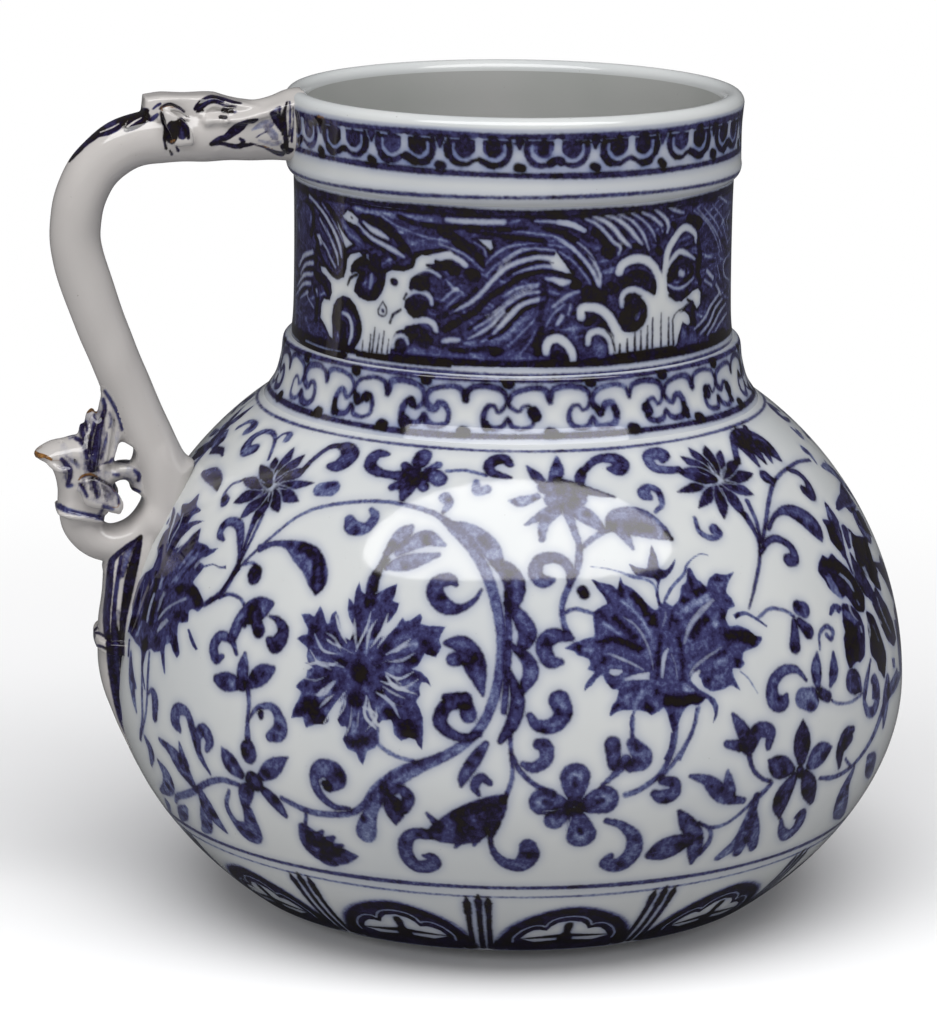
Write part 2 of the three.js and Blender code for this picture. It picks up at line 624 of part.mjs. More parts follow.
// Assembly
const vessel = [
  { name: 'foot_ring', geometry: footRing(), color: BARE_CLAY },
  { name: 'lower_bowl', geometry: lowerBowl(), color: GLAZE },
  { name: 'upper_bowl', geometry: upperBowl(), color: GLAZE },
  { name: 'collar', geometry: collar(), color: GLAZE },
  { name: 'neck', geometry: neck(), color: COBALT },
  { name: 'mouth_rim', geometry: rim(), color: PALE_COBALT },
];

const jug = new THREE.Group();
jug.name = 'porcelain_jug';
for (const { name, geometry, color } of [...vessel, ...lutedGeometries()]) {
  const material = new THREE.MeshStandardMaterial({
    color,
    roughness: name === 'foot_ring' ? 0.85 : 0.16,
    metalness: 0,
  });
  const mesh = new THREE.Mesh(geometry, material);
  mesh.name = name;
  jug.add(mesh);
}

// The origin is under the middle of the jug's bounding box
const box = new THREE.Box3().setFromObject(jug);
const centre = box.getCenter(new THREE.Vector3());
jug.position.x = -centre.x;

export default jug;
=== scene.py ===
import math
import bpy
import numpy as np
from mathutils import Matrix, Vector


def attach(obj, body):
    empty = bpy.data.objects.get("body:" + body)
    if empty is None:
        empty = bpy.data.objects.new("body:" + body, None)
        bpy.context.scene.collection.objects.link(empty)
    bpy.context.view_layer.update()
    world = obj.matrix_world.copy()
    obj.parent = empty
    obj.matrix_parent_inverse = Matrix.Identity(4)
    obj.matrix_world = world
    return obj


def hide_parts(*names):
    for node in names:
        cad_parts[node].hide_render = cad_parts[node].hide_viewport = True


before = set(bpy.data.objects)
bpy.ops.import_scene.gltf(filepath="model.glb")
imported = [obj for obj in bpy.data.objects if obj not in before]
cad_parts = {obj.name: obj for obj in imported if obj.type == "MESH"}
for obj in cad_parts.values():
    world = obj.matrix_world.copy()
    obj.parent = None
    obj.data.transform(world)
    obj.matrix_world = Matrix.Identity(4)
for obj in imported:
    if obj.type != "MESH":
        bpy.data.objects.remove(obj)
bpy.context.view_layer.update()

# Sizes are in millimetres and angles in degrees; MM and RAD turn them into metres and radians.
MM = 0.001
RAD = math.pi / 180
TINY = 1e-9
HUGE = 1e9
rng = np.random.default_rng(11)

# The turning axis stands a little to the right of the frame's origin. The pot's radii and heights are
# given where its lumps of clay meet.
AXIS = 6.176
UNDER, BELLY, SHOULDER, NECK = 44.0, 64.9, 40.2, 35.4
BASE_Z, SEAM_Z, SHOULDER_Z, COLLAR_Z, RIM_Z, LIP_Z = 2.35, 36.4, 82.9, 92.5, 119.0, 131.0
BELLY_INSIDE, SHOULDER_INSIDE, NECK_INSIDE, RIM_INSIDE = 61.2, 36.5, 32.1, 33.3
FOOT_Z, FLOOR_Z = 1.7, 5.7


# Lines and outlines
def bezier(p0, p1, p2, p3):
    t = np.linspace(0, 1, 200)[:, None]
    p0, p1, p2, p3 = (np.array(p, float) for p in (p0, p1, p2, p3))
    return (1 - t) ** 3 * p0 + 3 * t * (1 - t) ** 2 * p1 + 3 * t * t * (1 - t) * p2 + t ** 3 * p3


def spline(points, n=10):
    """A smooth line through the points."""
    p = np.asarray(points, float)
    if len(p) < 3:
        return p
    q = np.vstack([2 * p[0] - p[1], p, 2 * p[-1] - p[-2]])
    t = np.linspace(0, 1, n, endpoint=False)[:, None]
    rows = [.5 * (2 * b + (c - a) * t + (2 * a - 5 * b + 4 * c - d) * t ** 2 + (3 * b - a - 3 * c + d
            ) * t ** 3) for a, b, c, d in zip(q, q[1:], q[2:], q[3:])]
    return np.vstack(rows + [p[-1:]])


def along(profile, pitch):
    """The profile at even steps of its own length: radius, height and distance from its start."""
    p = np.asarray(profile, float)
    p = p[np.r_[True, np.hypot(*np.diff(p, axis=0).T) > 1e-6]]
    far = np.r_[0, np.cumsum(np.hypot(*np.diff(p, axis=0).T))]
    s = np.linspace(0, far[-1], max(3, int(round(far[-1] / pitch)) + 1))
    return np.interp(s, far, p[:, 0]), np.interp(s, far, p[:, 1]), s


def to_segment(p, a, b):
    """The share of the way from a to b at which each place is nearest, and its distance there."""
    d = b - a
    q = np.clip(((p - a) @ d) / (d @ d + TINY), 0, 1)
    return q, np.hypot(*np.moveaxis(p - a - q[..., None] * d, -1, 0))


def within(corners, x, y):
    """Which of the places x, y lie inside a closed line."""
    inside = np.zeros(np.broadcast(x, y).shape, bool)
    for a, b in zip(corners, corners[1:]):
        rise = b[1] - a[1]
        crossing = a[0] + (y - a[1]) / (rise if abs(rise) > TINY else TINY) * (b[0] - a[0])
        inside ^= ((a[1] > y) != (b[1] > y)) & (x < crossing)
    return inside


def blurred(distance, soft):
    """How much of each place lies within an edge that fades over soft."""
    return np.clip(.5 - distance / soft, 0, 1)


# Pigment
def lay(layer, at, kind, tone, share, core):
    """Ink and wash add pigment, deepen darkens it, pale thins it, lift takes it off and ochre stains.

    Share is how much of each place the stroke covers, and core the same for its darker middle.
    """
    if kind in ("ink", "wash"):
        layer.cover[at] = np.maximum(layer.cover[at], share)
    if kind == "ink":
        layer.tone[at] = 1 - (1 - layer.tone[at]) * (1 - tone * core)
    elif kind == "wash":
        layer.tone[at] = np.maximum(layer.tone[at], tone * core)
    elif kind == "deepen":
        layer.tone[at] = 1 - (1 - layer.tone[at]) * (1 - tone * share)
    elif kind == "pale":
        layer.tone[at] *= 1 - tone * share
    elif kind == "lift":
        layer.cover[at] *= 1 - tone * share
    elif kind == "ochre":
        layer.ochre[at] = np.maximum(layer.ochre[at], tone * share)


class Band:
    """An unrolled band of the pot. Places on it are an angle and a distance down the band."""
    MARGIN = 1.1
    BLEED = 3

    def __init__(self, line, pitch, columns, bleed):
        self.r, self.z, self.s = along(line, pitch)
        self.step = self.s[1]
        self.turn = 360 / columns
        self.columns = columns
        self.bleed = bleed
        self.cover, self.tone, self.ochre = np.zeros((3, len(self.s), columns), np.float32)

    def window(self, p, reach):
        """The rows i0 to i1 and columns j0 to j1 within reach of the places."""
        r = np.interp(p[:, 1], self.s, self.r).min() * RAD
        i0 = max(0, int((p[:, 1].min() - reach) / self.step))
        i1 = min(len(self.s), int((p[:, 1].max() + reach) / self.step) + 2)
        j0 = int(np.floor((p[:, 0].min() - reach / r) / self.turn)) - 1
        j1 = int(np.ceil((p[:, 0].max() + reach / r) / self.turn)) + 2
        return i0, i1, j0, j1

    def places(self, i0, i1, j0, j1):
        return np.ix_(np.arange(i0, i1), np.arange(j0, j1) % self.columns)

    def distance(self, p, half, i0, i1, j0, j1):
        """Distance from a line of that half width, near it, in the rows and columns."""
        d = np.full((i1 - i0, j1 - j0), HUGE)
        for k in range(len(p) - 1):
            a, b = p[k:k + 2]
            u0, u1, v0, v1 = self.window(p[k:k + 2], max(half[k], half[k + 1]) + self.MARGIN)
            u0, u1, v0, v1 = max(i0, u0), min(i1, u1), max(j0, v0), min(j1, v1)
            if u1 <= u0 or v1 <= v0:
                continue
            degree = self.r[u0:u1, None] * RAD
            x = degree * (np.arange(v0, v1)[None, :] * self.turn - a[0])
            y = self.s[u0:u1, None] - a[1]
            dx, dy = degree * (b[0] - a[0]), b[1] - a[1]
            q = np.clip((x * dx + y * dy) / (dx * dx + dy * dy + TINY), 0, 1)
            e = np.hypot(x - q * dx, y - q * dy) - half[k] - q * (half[k + 1] - half[k])
            block = d[u0 - i0:u1 - i0, v0 - j0:v1 - j0]
            np.minimum(block, e, out=block)
        return d

    def stroke(self, points, width, tone, kind="ink", soft=.78):
        p = np.asarray(points, float)
        half = np.broadcast_to(np.asarray(width, float), len(p)) / 2
        window = self.window(p, half.max() + self.MARGIN)
        if window[1] <= window[0]:
            return
        d = self.distance(p, half, *window)
        lay(self, self.places(*window), kind, tone, blurred(d, soft), blurred(d - .3, .5))

    def fill(self, corners, tone, kind="wash", soft=.45):
        """The same for a closed shape."""
        p = np.asarray(corners, float)
        p = np.vstack([p, p[:1]])
        window = self.window(p, self.MARGIN)
        i0, i1, j0, j1 = window
        d = self.distance(p, np.zeros(len(p)), *window)
        inside = within(p, np.arange(j0, j1)[None, :] * self.turn, self.s[i0:i1, None])
        share = blurred(np.where(inside, -d, d), soft)
        lay(self, self.places(*window), kind, tone, share, share)

    def halo(self):
        """How far the pigment has bled into the glaze round the strokes."""
        h = self.cover * (.4 + .6 * self.tone)
        n = 2 * self.BLEED + 1
        for _ in range(2):
            h = sum(np.roll(h, k, 1) for k in range(-self.BLEED, self.BLEED + 1)) / n
            q = np.pad(h, ((self.BLEED, self.BLEED), (0, 0)), mode="edge")
            h = sum(q[k:k + len(h)] for k in range(n)) / n
        return h * self.bleed


# The pot's outline, from the top down, in the bands that carry its paint
DROP, RISE = SEAM_Z - BASE_Z, SHOULDER_Z - SEAM_Z
lower_line = bezier(
    (UNDER, BASE_Z), (UNDER + .45 * (BELLY - UNDER), BASE_Z + .2 * DROP),
    (BELLY, SEAM_Z - .42 * DROP), (BELLY, SEAM_Z))
upper_line = bezier(
    (BELLY, SEAM_Z), (BELLY, SEAM_Z + .38 * RISE),
    (SHOULDER + .64 * (BELLY - SHOULDER), SHOULDER_Z - .235 * RISE), (SHOULDER, SHOULDER_Z))
belly_line = np.vstack([lower_line, upper_line[1:]])[::-1]
collar_line = spline([
    (SHOULDER, SHOULDER_Z), (38.4, 85.78), (37.45, 89.2), (37.15, 91.6), (36.9, 92.4), (36.4, 92.75),
    (35.6, 92.8)])[::-1]
neck_line = spline([(35.85, COLLAR_Z), (35.45, 96.7), (35.3, 104.4), (35.3, 113.7), (NECK, RIM_Z)])[::-1]
rim_line = spline([
    (NECK, RIM_Z), (36.25, 119.8), (36.6, 120.9), (36.5, 122.3), (36.5, 127.2), (36.8, LIP_Z)])[::-1]
belly = Band(belly_line, .26, 1560, 1.1)
collar = Band(collar_line, .25, 960, 1.5)
neck = Band(neck_line, .2, 1200, 1.1)
rim = Band(rim_line, .25, 960, 1.5)

# The camera, for the render and for shapes that are given as it sees them: its turn, height and roll,
# the height that it looks at, how far off it stands, and its picture in pixels. PER_MM is the length of
# a millimetre at the handle.
AZIMUTH, ELEVATION, ROLL = -10 * RAD, 13.3 * RAD, .7 * RAD
AIM_Z, DISTANCE = 62.7, 700
WIDE, HIGH, FOCAL = 937, 1024, 4270
CENTRE_U, CENTRE_V = 509.5, 512
PER_MM = 6.19
roll_cos, roll_sin = math.cos(ROLL), math.sin(ROLL)
back_axis = np.array([math.sin(AZIMUTH) * math.cos(ELEVATION), -math.cos(AZIMUTH) * math.cos(ELEVATION),
        math.sin(ELEVATION)])
right_axis = np.array([math.cos(AZIMUTH), math.sin(AZIMUTH), 0])
up_axis = np.cross(back_axis, right_axis)
eye = np.array([AXIS, 0, AIM_Z]) + DISTANCE * back_axis


def seen(p):
    """Where the camera sees places in space."""
    d = p - eye
    depth = -(d @ back_axis)
    x, y = FOCAL * (d @ right_axis) / depth, FOCAL * (d @ up_axis) / depth
    return np.stack([CENTRE_U + roll_cos * x + roll_sin * y, CENTRE_V + roll_sin * x - roll_cos * y], -1)


def ray_to(p):
    """The direction from the camera to places in its picture."""
    u, v = (p[..., 0] - CENTRE_U) / FOCAL, (CENTRE_V - p[..., 1]) / FOCAL
    x, y = roll_cos * u - roll_sin * v, roll_sin * u + roll_cos * v
    return -back_axis + x[..., None] * right_axis + y[..., None] * up_axis


def on_band(band, p):
    """Angle and distance down the band of places in the picture."""
    ray = ray_to(p)
    off_axis = eye[0] - AXIS
    a = ray[:, 0] ** 2 + ray[:, 1] ** 2
    b = ray[:, 0] * off_axis + ray[:, 1] * eye[1]
    r = np.full(len(ray), band.r.mean())
    for _ in range(4):
        t = (-b - np.sqrt(np.maximum(b * b - a * (off_axis ** 2 + eye[1] ** 2 - r * r), 0))) / a
        hit = eye + ray * t[:, None]
        r = np.interp(-hit[:, 2], -band.z, band.r)
    angle = np.degrees(np.arctan2(hit[:, 0] - AXIS, -hit[:, 1]))
    return np.stack([angle, np.interp(-hit[:, 2], -band.z, band.s)], 1)


# Brush strokes
def local(band, a, s, turn=0, size=1, flip=1):
    """Gives points in millimetres round (a, s), x to the right and y up, as places on the band."""
    c, n = math.cos(turn * RAD), math.sin(turn * RAD)

    def place(points):
        p = np.asarray(points, float) * size * (flip, 1)
        x, y = p[:, 0] * c - p[:, 1] * n, p[:, 0] * n + p[:, 1] * c
        v = s - y
        return np.stack([a + x / (np.interp(v, band.s, band.r) * RAD), v], 1)

    return place


def ring(band, s, width, tone, wave=.1, waves=4):
    """A line all the way round, in two halves that overlap."""
    for start in (0, 178):
        a = start + np.arange(0, 186, 3.0)
        line = np.stack([a, s + wave * np.sin(a * RAD * waves + s)], 1)
        band.stroke(line, width * (1 + .14 * np.sin(a * RAD * (waves + 5))), tone)


PETAL_TIP = .12


def petal(band, place, points, width, tone, root=.35, widest=.5):
    """A stroke that starts at a share, root, of its width and is full at the share widest of its length."""
    p = spline(place(points), 6)
    t = np.linspace(0, 1, len(p))
    low = root + (1 - root) * np.sin(np.clip(t / widest, 0, 1) * math.pi / 2)
    high = 1 - (1 - PETAL_TIP) * np.clip((t - widest) / (1 - widest), 0, 1) ** 1.7
    w = width * low * high
    band.stroke(p, w + .6, .55, "lift", .6)
    band.stroke(p, w, tone, "wash")


def vein(band, place, points, width, tone):
    """A thin blank line in the pigment, narrower at both ends."""
    p = spline(place(points), 6)
    t = np.linspace(0, 1, len(p))
    w = width * (.4 + .6 * np.sin(math.pi * np.clip(t * 1.02, 0, 1))) + .05
    band.stroke(p, w, tone, "lift", .4)


def brushed(band, row, shift, dy):
    """One brush stroke, with pigment pooled at its edge and in darker spots."""
    tone, p = row[0], np.array(row[1:], float).reshape(-1, 3)
    q = spline(p, 8)
    wide, widest = np.clip(q[:, 2], .2, None), p[:, 2].max()
    line = q[:, :2] + (shift, dy)
    band.stroke(line, wide * 1.08 + .08, tone * rng.uniform(.85, 1.1) * .85)
    if widest > 1.4:
        band.stroke(line, np.clip(wide - .9, .05, None) * .75, rng.uniform(.15, .4), "pale", .9)
        for _ in range(int(1 + widest * .7)):
            i = int(rng.choice(len(q), p=wide ** 2 / (wide ** 2).sum()))
            spot = line[i] + rng.normal(0, .012 * wide[i], 2) * (25, 12)
            band.stroke([spot, spot + (.2, .2)], rng.uniform(.4, .5) * wide[i], rng.uniform(.5, .85),
                "deepen", 1.0)


# Ragged bloom, on a sheet with SHEET steps to the millimetre and its heart at SHEET_HEART
SHEET, SHEET_HEART = 32.5, (415, 565)
RAGGED_OUTLINE = [
    (350, 385), (325, 310), (308, 265), (300, 205), (322, 215), (333, 235), (330, 165), (343, 118),
    (362, 160), (385, 180), (395, 140), (418, 140), (445, 170), (480, 140), (545, 105), (541, 160),
    (536, 198), (572, 203), (565, 250), (545, 290), (512, 330), (506, 378), (550, 352), (580, 320),
    (600, 270), (614, 292), (640, 285), (686, 244), (700, 270), (698, 300), (740, 306), (826, 304),
    (806, 345), (800, 372), (818, 408), (796, 460), (760, 452), (737, 446), (730, 482), (712, 508),
    (690, 524), (735, 535), (770, 562), (792, 602), (765, 588), (740, 582), (734, 612), (739, 650),
    (726, 680), (746, 715), (766, 760), (772, 840), (770, 916), (745, 895), (735, 868), (700, 862),
    (660, 882), (625, 850), (611, 800), (600, 782), (556, 788), (530, 830), (546, 900), (530, 930),
    (490, 950), (472, 1022), (446, 1000), (430, 965), (380, 950), (355, 902), (376, 850), (370, 836),
    (345, 841), (320, 810), (332, 768), (354, 702), (338, 716), (305, 745), (278, 790), (270, 826),
    (250, 845), (200, 850), (150, 876), (140, 850), (130, 822), (60, 840), (70, 790), (95, 740),
    (112, 702), (74, 680), (92, 655), (134, 622), (132, 590), (160, 570), (112, 556), (132, 548),
    (116, 520), (122, 482), (50, 446), (76, 425), (106, 410), (105, 390), (76, 355), (50, 320),
    (95, 310), (130, 320), (152, 262), (176, 290), (202, 345), (216, 350), (226, 300), (243, 270),
    (266, 302), (290, 352), (304, 388), (345, 418),
]
# Points, width and tone
RAGGED_SHADES = [
    ([(340, 200), (370, 270), (390, 360)], 40, .3), ([(520, 150), (490, 230), (470, 330)], 46, .35),
    ([(550, 240), (515, 300), (490, 380)], 30, .3), ([(330, 270), (365, 320), (370, 400)], 30, .3),
    ([(400, 180), (400, 240)], 30, .4), ([(660, 300), (600, 370), (530, 440)], 40, .4),
    ([(780, 330), (730, 350), (650, 380)], 30, .3),
    ([(780, 420), (700, 450), (600, 500), (520, 530)], 40, .4),
    ([(150, 330), (180, 400), (300, 440)], 40, .35), ([(250, 310), (260, 380), (330, 430)], 30, .35),
    ([(80, 440), (150, 480), (240, 500), (350, 520)], 46, .35),
    ([(160, 600), (230, 610), (330, 590)], 40, .4), ([(120, 680), (180, 660), (250, 620)], 30, .3),
    ([(100, 800), (160, 740), (230, 700), (340, 640)], 44, .3), ([(330, 620), (300, 660)], 30, .4),
    ([(340, 810), (370, 740), (400, 650)], 40, .35), ([(380, 900), (380, 820)], 30, .4),
    ([(500, 900), (500, 800), (490, 700), (470, 640)], 46, .35),
    ([(620, 560), (700, 560), (770, 580)], 20, .3), ([(560, 620), (640, 650), (720, 640)], 30, .3),
    ([(740, 760), (680, 720), (600, 680)], 34, .35), ([(480, 600), (520, 560), (560, 540)], 30, .3),
]
RAGGED_VEINS = [
    ([(434, 262), (424, 330), (404, 400), (386, 462)], 13, .9),
    ([(585, 452), (650, 412), (712, 388)], 20, .5),
    ([(212, 418), (250, 440), (300, 452), (380, 478)], 13, .6), ([(226, 430), (246, 436)], 20, .7),
    ([(130, 562), (190, 545), (262, 540), (330, 548)], 15, .6), ([(256, 540), (274, 548)], 18, .8),
    ([(298, 615), (262, 655), (205, 705)], 26, .65), ([(232, 668), (210, 700)], 24, .6),
    ([(430, 764), (432, 832)], 26, .65), ([(560, 560), (590, 600), (640, 602)], 12, .5),
    ([(610, 590), (640, 600)], 14, .6), ([(548, 668), (600, 700), (660, 708)], 12, .5),
    ([(300, 300), (332, 335), (346, 384)], 26, .95), ([(554, 296), (530, 335), (512, 366)], 20, .95),
    ([(550, 640), (566, 664)], 14, .6), ([(600, 790), (585, 815), (590, 850)], 30, .9),
    ([(480, 610), (520, 640)], 8, .5), ([(470, 540), (540, 500), (580, 470)], 9, .5),
    ([(350, 560), (270, 520), (200, 500)], 8, .4), ([(520, 700), (530, 770), (520, 820)], 9, .6),
    ([(445, 300), (452, 380), (440, 450)], 8, .45), ([(388, 620), (350, 680), (335, 740)], 8, .5),
    ([(690, 300), (640, 350)], 9, .4), ([(715, 330), (765, 325)], 9, .5),
]
# Place, width and tone
RAGGED_SPOTS = [
    (412, 545, 74, .97), (425, 580, 70, .97), (145, 382, 48, .9), (220, 380, 30, .85),
    (132, 440, 30, .75), (600, 365, 62, .92), (740, 396, 44, .85), (768, 436, 44, .8),
    (436, 205, 28, .85), (376, 280, 34, .6), (486, 368, 28, .85), (410, 405, 34, .7),
    (532, 650, 36, .92), (420, 715, 44, .9), (585, 742, 44, .92), (640, 762, 40, .85),
    (690, 812, 96, .92), (720, 850, 46, .9), (168, 760, 84, .9), (205, 815, 78, .92),
    (240, 820, 44, .85), (155, 658, 32, .8), (430, 905, 66, .85), (395, 910, 40, .7),
    (470, 900, 44, .75), (360, 390, 26, .7), (690, 470, 36, .6), (210, 480, 40, .55),
    (345, 255, 20, .6), (545, 150, 26, .6), (110, 800, 40, .6),
]


def ragged_bloom(band, a, s, turn=0, size=1, flip=1):
    place = local(band, a, s, turn, size, flip)

    def sheet(points):
        p = np.asarray(points, float)
        return place((p - SHEET_HEART) * (1 / SHEET, -1 / SHEET) + rng.normal(0, .05, p.shape))

    def round_heart(r, t):
        return r * math.cos(t), r * math.sin(t)

    band.fill(sheet(RAGGED_OUTLINE), .5)
    for points, w, t in RAGGED_SHADES:
        band.stroke(spline(sheet(points)), w / SHEET * size, t * rng.uniform(.7, 1.1), "deepen", 1.1)
    for points, w, t in RAGGED_VEINS:
        vein(band, sheet, points, w / SHEET * size, t)
    for x, y, w, t in RAGGED_SPOTS:
        band.stroke(sheet([(x - 5, y), (x + 5, y + 3)]), w / SHEET * size, t, "deepen", 1.0)
    for k in range(26):
        t = k * 2 * math.pi / 26 + rng.normal(0, .06)
        far, near = rng.uniform(8.2, 10.5), rng.uniform(3.6, 6)
        bent = t + rng.normal(0, .12)
        points = [round_heart(far, t), round_heart((far + near) / 2, bent), round_heart(near, t)]
        vein(band, place, points, rng.uniform(.35, .7) * size, rng.uniform(.55, .9))
        r, t = rng.uniform(2.5, 9), t + .12
        dash = place([round_heart(r, t), round_heart(r + 1.6, t)])
        band.stroke(dash, rng.uniform(.5, 1.1) * size, rng.uniform(.35, .7), "pale", 1.0)
        r, t = rng.uniform(2, 9), t + rng.uniform(0, .2)
        dash = place([round_heart(r, t), round_heart(r + 1.2, t)])
        band.stroke(dash, rng.uniform(.5, 1.3) * size, rng.uniform(.4, .85), "deepen", 1.0)
    stem = spline(sheet([(430, 150), (428, 90), (440, 30), (470, -10)]))
    band.stroke(stem, np.linspace(1.3, .8, len(stem)) * size, .7)


# Spiky bloom, in millimetres round its heart: points, width and tone
SPIKY_FINGERS = [
    ([(-1, 1), (-2.6, 6), (-5.2, 10), (-6.7, 12.2)], 3.0, .5),
    ([(-1, 2), (-3.6, 6.6), (-7, 9), (-11.6, 11.9)], 2.6, .4),
    ([(-2, 2), (-6, 6.4), (-9.4, 7.8), (-11.9, 7.2)], 2.8, .4),
    ([(-2, 1), (-6, 3.8), (-9, 5.6), (-11.6, 6)], 2.6, .5),
    ([(-2, 0), (-6, 1.6), (-11, 2.4), (-16.7, 1.7)], 2.8, .6),
    ([(-2, -1), (-6, .2), (-9, 0), (-12.4, .2)], 2.0, .4),
    ([(-2, -2), (-6, -1.6), (-9, -2.2), (-12.4, -1.6)], 1.8, .5),
    ([(-9.5, -1), (-12, -3), (-14.3, -4.9)], 1.2, .5),
    ([(-2, -5), (-6, -5.4), (-8.6, -6.4), (-10.7, -9)], 3.2, .5),
    ([(-2, -4.4), (-6, -4.4), (-9.4, -4.6)], 1.8, .4), ([(0, -4), (-2.6, -7.6), (-4, -9.6)], 3.2, .7),
    ([(0, -4), (0, -8), (-.8, -12.4)], 4.2, .6), ([(0, -5), (2.8, -7.6), (4.4, -8.4)], 2.6, .8),
    ([(3, -5.2), (5.4, -6.6), (6.8, -8.8), (5.5, -11.6)], 1.1, .5),
    ([(2, -3), (6.6, -5), (8.8, -5.4), (10.5, -7.3)], 3.0, .5),
    ([(2, -2), (6, -2), (9, -2.2), (12.2, -2.9)], 3.0, .5),
    ([(2, -1), (7, .8), (12, .9), (16.4, .2)], 2.8, .7),
    ([(2, 0), (6, 2.2), (9, 3.6), (10.4, 4.6)], 3.0, .6),
    ([(1.6, 1), (5, 5.4), (9, 7), (12.3, 6.4)], 2.8, .4),
    ([(1.6, 2), (5, 7.4), (9.6, 9.4), (14.5, 10.9)], 3.2, .45),
    ([(1.2, 3), (3.4, 7.6), (5.4, 10), (6, 12.8)], 2.6, .55),
    ([(10, 3.6), (13.4, 3.8), (16.8, 1.8)], 1.1, .35),
    ([(0, -4), (-.8, 1), (-1.8, 4), (-2.2, 6)], 2.6, .5),
    ([(0, -4), (1.4, 1), (1.2, 4), (1.2, 6)], 2.8, .5),
]
SPIKY_SHADES = [
    ([(-6.6, 11), (-6.6, 9), (-4, 7.2), (-3, 6.2)], 1.2, .8),
    ([(-8.6, 5.4), (-7, 3.4), (-5.2, 1)], 1.2, .8), ([(-10, 2.2), (-8, 2.2), (-5.2, .4)], .9, .85),
    ([(3.4, 7.2), (5.4, 8.8), (8, 9.4)], 1.1, .75), ([(3.8, 1.4), (6.6, 3.6), (9.6, 5)], 1.3, .85),
    ([(9, 1.6), (12.4, .8), (15, .6)], 1.6, .9),
    ([(-5.4, -7.6), (-3, -7.8), (0, -7.2), (4.4, -7.8)], 1.8, .85),
    ([(10.4, -2.6), (11.8, -3)], 1.5, .8), ([(-2.4, 4.8), (-2, 4.4)], 1.7, .9),
    ([(1.2, 4.6), (1.6, 4.4)], 1.4, .85), ([(-.8, 8), (-.8, 6.6)], 1.1, .8),
    ([(0, -1.6), (-.2, -4.6), (.1, -5)], 1.4, .8), ([(-2.8, -.6), (-2.4, -3.6)], .9, .6),
    ([(2.2, -.4), (2.1, -4)], .9, .6), ([(5.4, -5.2), (6, -5)], 1.6, .75),
]
# Points and width
SPIKY_VEINS = [
    ([(-.5, 1), (-1.4, -.8), (-2.1, -4)], .42), ([(-.5, 1), (.1, -.8), (.6, -4)], .42),
    ([(-3.4, 5.6), (-5.2, 3), (-4.4, .6)], .45), ([(-8.2, 4), (-6.4, 3), (-5, 1.4)], .45),
    ([(-9.6, .4), (-7, -.4), (-4.4, -1.9)], .5), ([(-7.6, -2.8), (-5.4, -4), (-4, -4.2)], 1.2),
    ([(2.6, .8), (4.8, 4.2), (8, 6.2)], .8), ([(2.6, -1.2), (6, .2), (9, .6)], .5),
    ([(3, -2.8), (6, -1.4), (8, -1)], .4), ([(-2.4, -4.4), (-4, -4.6), (-5.6, -4.5)], .9),
    ([(3, -3.9), (4.4, -3.5), (4.8, -5)], .8), ([(-5.4, -8.6), (-6, -7), (-5.4, -6)], .7),
    ([(1.6, 6.6), (3.4, 9), (4.8, 11)], .7), ([(9.8, 4), (10.4, 2.8), (12.4, 2.9)], .55),
    ([(-8.8, 9), (-6.6, 8), (-5.4, 6.6)], .4),
]
BUD_PETALS = [
    ((0, 17), 2.2), ((-5, 14.2), 1.9), ((3.8, 14.3), 1.9), ((-1.6, 14.4), 1), ((1.8, 13.6), 1),
]
BUD_LINES = [
    [(-.3, 10.8), (-.6, 9), (-.8, 7.4)], [(-1, 10.6), (-3.2, 11), (-4, 9.6), (-2.8, 7.8), (-1.2, 7.8)],
    [(.2, 10), (2, 11), (4.4, 12.4), (3.6, 10), (1.6, 8.4)],
]
SPIKY_TENDRILS = [
    [(-5.3, 12), (-8.6, 13.4), (-11.8, 14.3)], [(5.5, 13), (7.7, 14.2), (10.4, 14.1)],
    [(-6.6, -9), (-7.4, -11), (-6.8, -13)], [(3.4, -8.4), (2.6, -11.4), (.8, -14)],
    [(11, -4.2), (13, -6), (13.9, -8)],
]


def spiky_bloom(band, a, s, turn=0, size=1, flip=1):
    place = local(band, a, s, turn, size, flip)
    for points, width, tone in SPIKY_FINGERS:
        petal(band, place, points, width * 1.16, tone, .5)
    for points, width, tone in SPIKY_FINGERS:
        q = spline(place(points), 6)
        q = q[len(q) // 5:-len(q) // 6] + rng.normal(0, .1, 2)
        band.stroke(q, width * rng.uniform(.25, .45) * size, rng.uniform(.35, .7), "deepen", 1.1)
        side = rng.uniform(-.35, .35) * width
        band.stroke(q[::2] + (side * 1.2, side), .4 * size, rng.uniform(.3, .6), "pale", .8)
    for points, w, t in SPIKY_SHADES:
        band.stroke(spline(place(points), 5), w * size * .9, t * .9, "deepen", 1.0)
    for points, w in SPIKY_VEINS:
        vein(band, place, points, w * size, .8)
    # The star bud over the bloom, with its two blank petals
    for tip, w in BUD_PETALS:
        middle = (tip[0] * .5 - .05, 11.6 + (tip[1] - 11.6) * .35)
        petal(band, place, [(-.1, 11.6), middle, tip], w * 1.3, .55)
    band.stroke(place([(-.2, 12.4), (0, 11.2)]), 2.2 * size, .9, soft=.9)
    for points in BUD_LINES:
        band.stroke(spline(place(points)), .5 * size, .45)
    for points in SPIKY_TENDRILS:
        p = spline(place(points))
        band.stroke(p, np.linspace(.6, .25, len(p)) * size, .35)


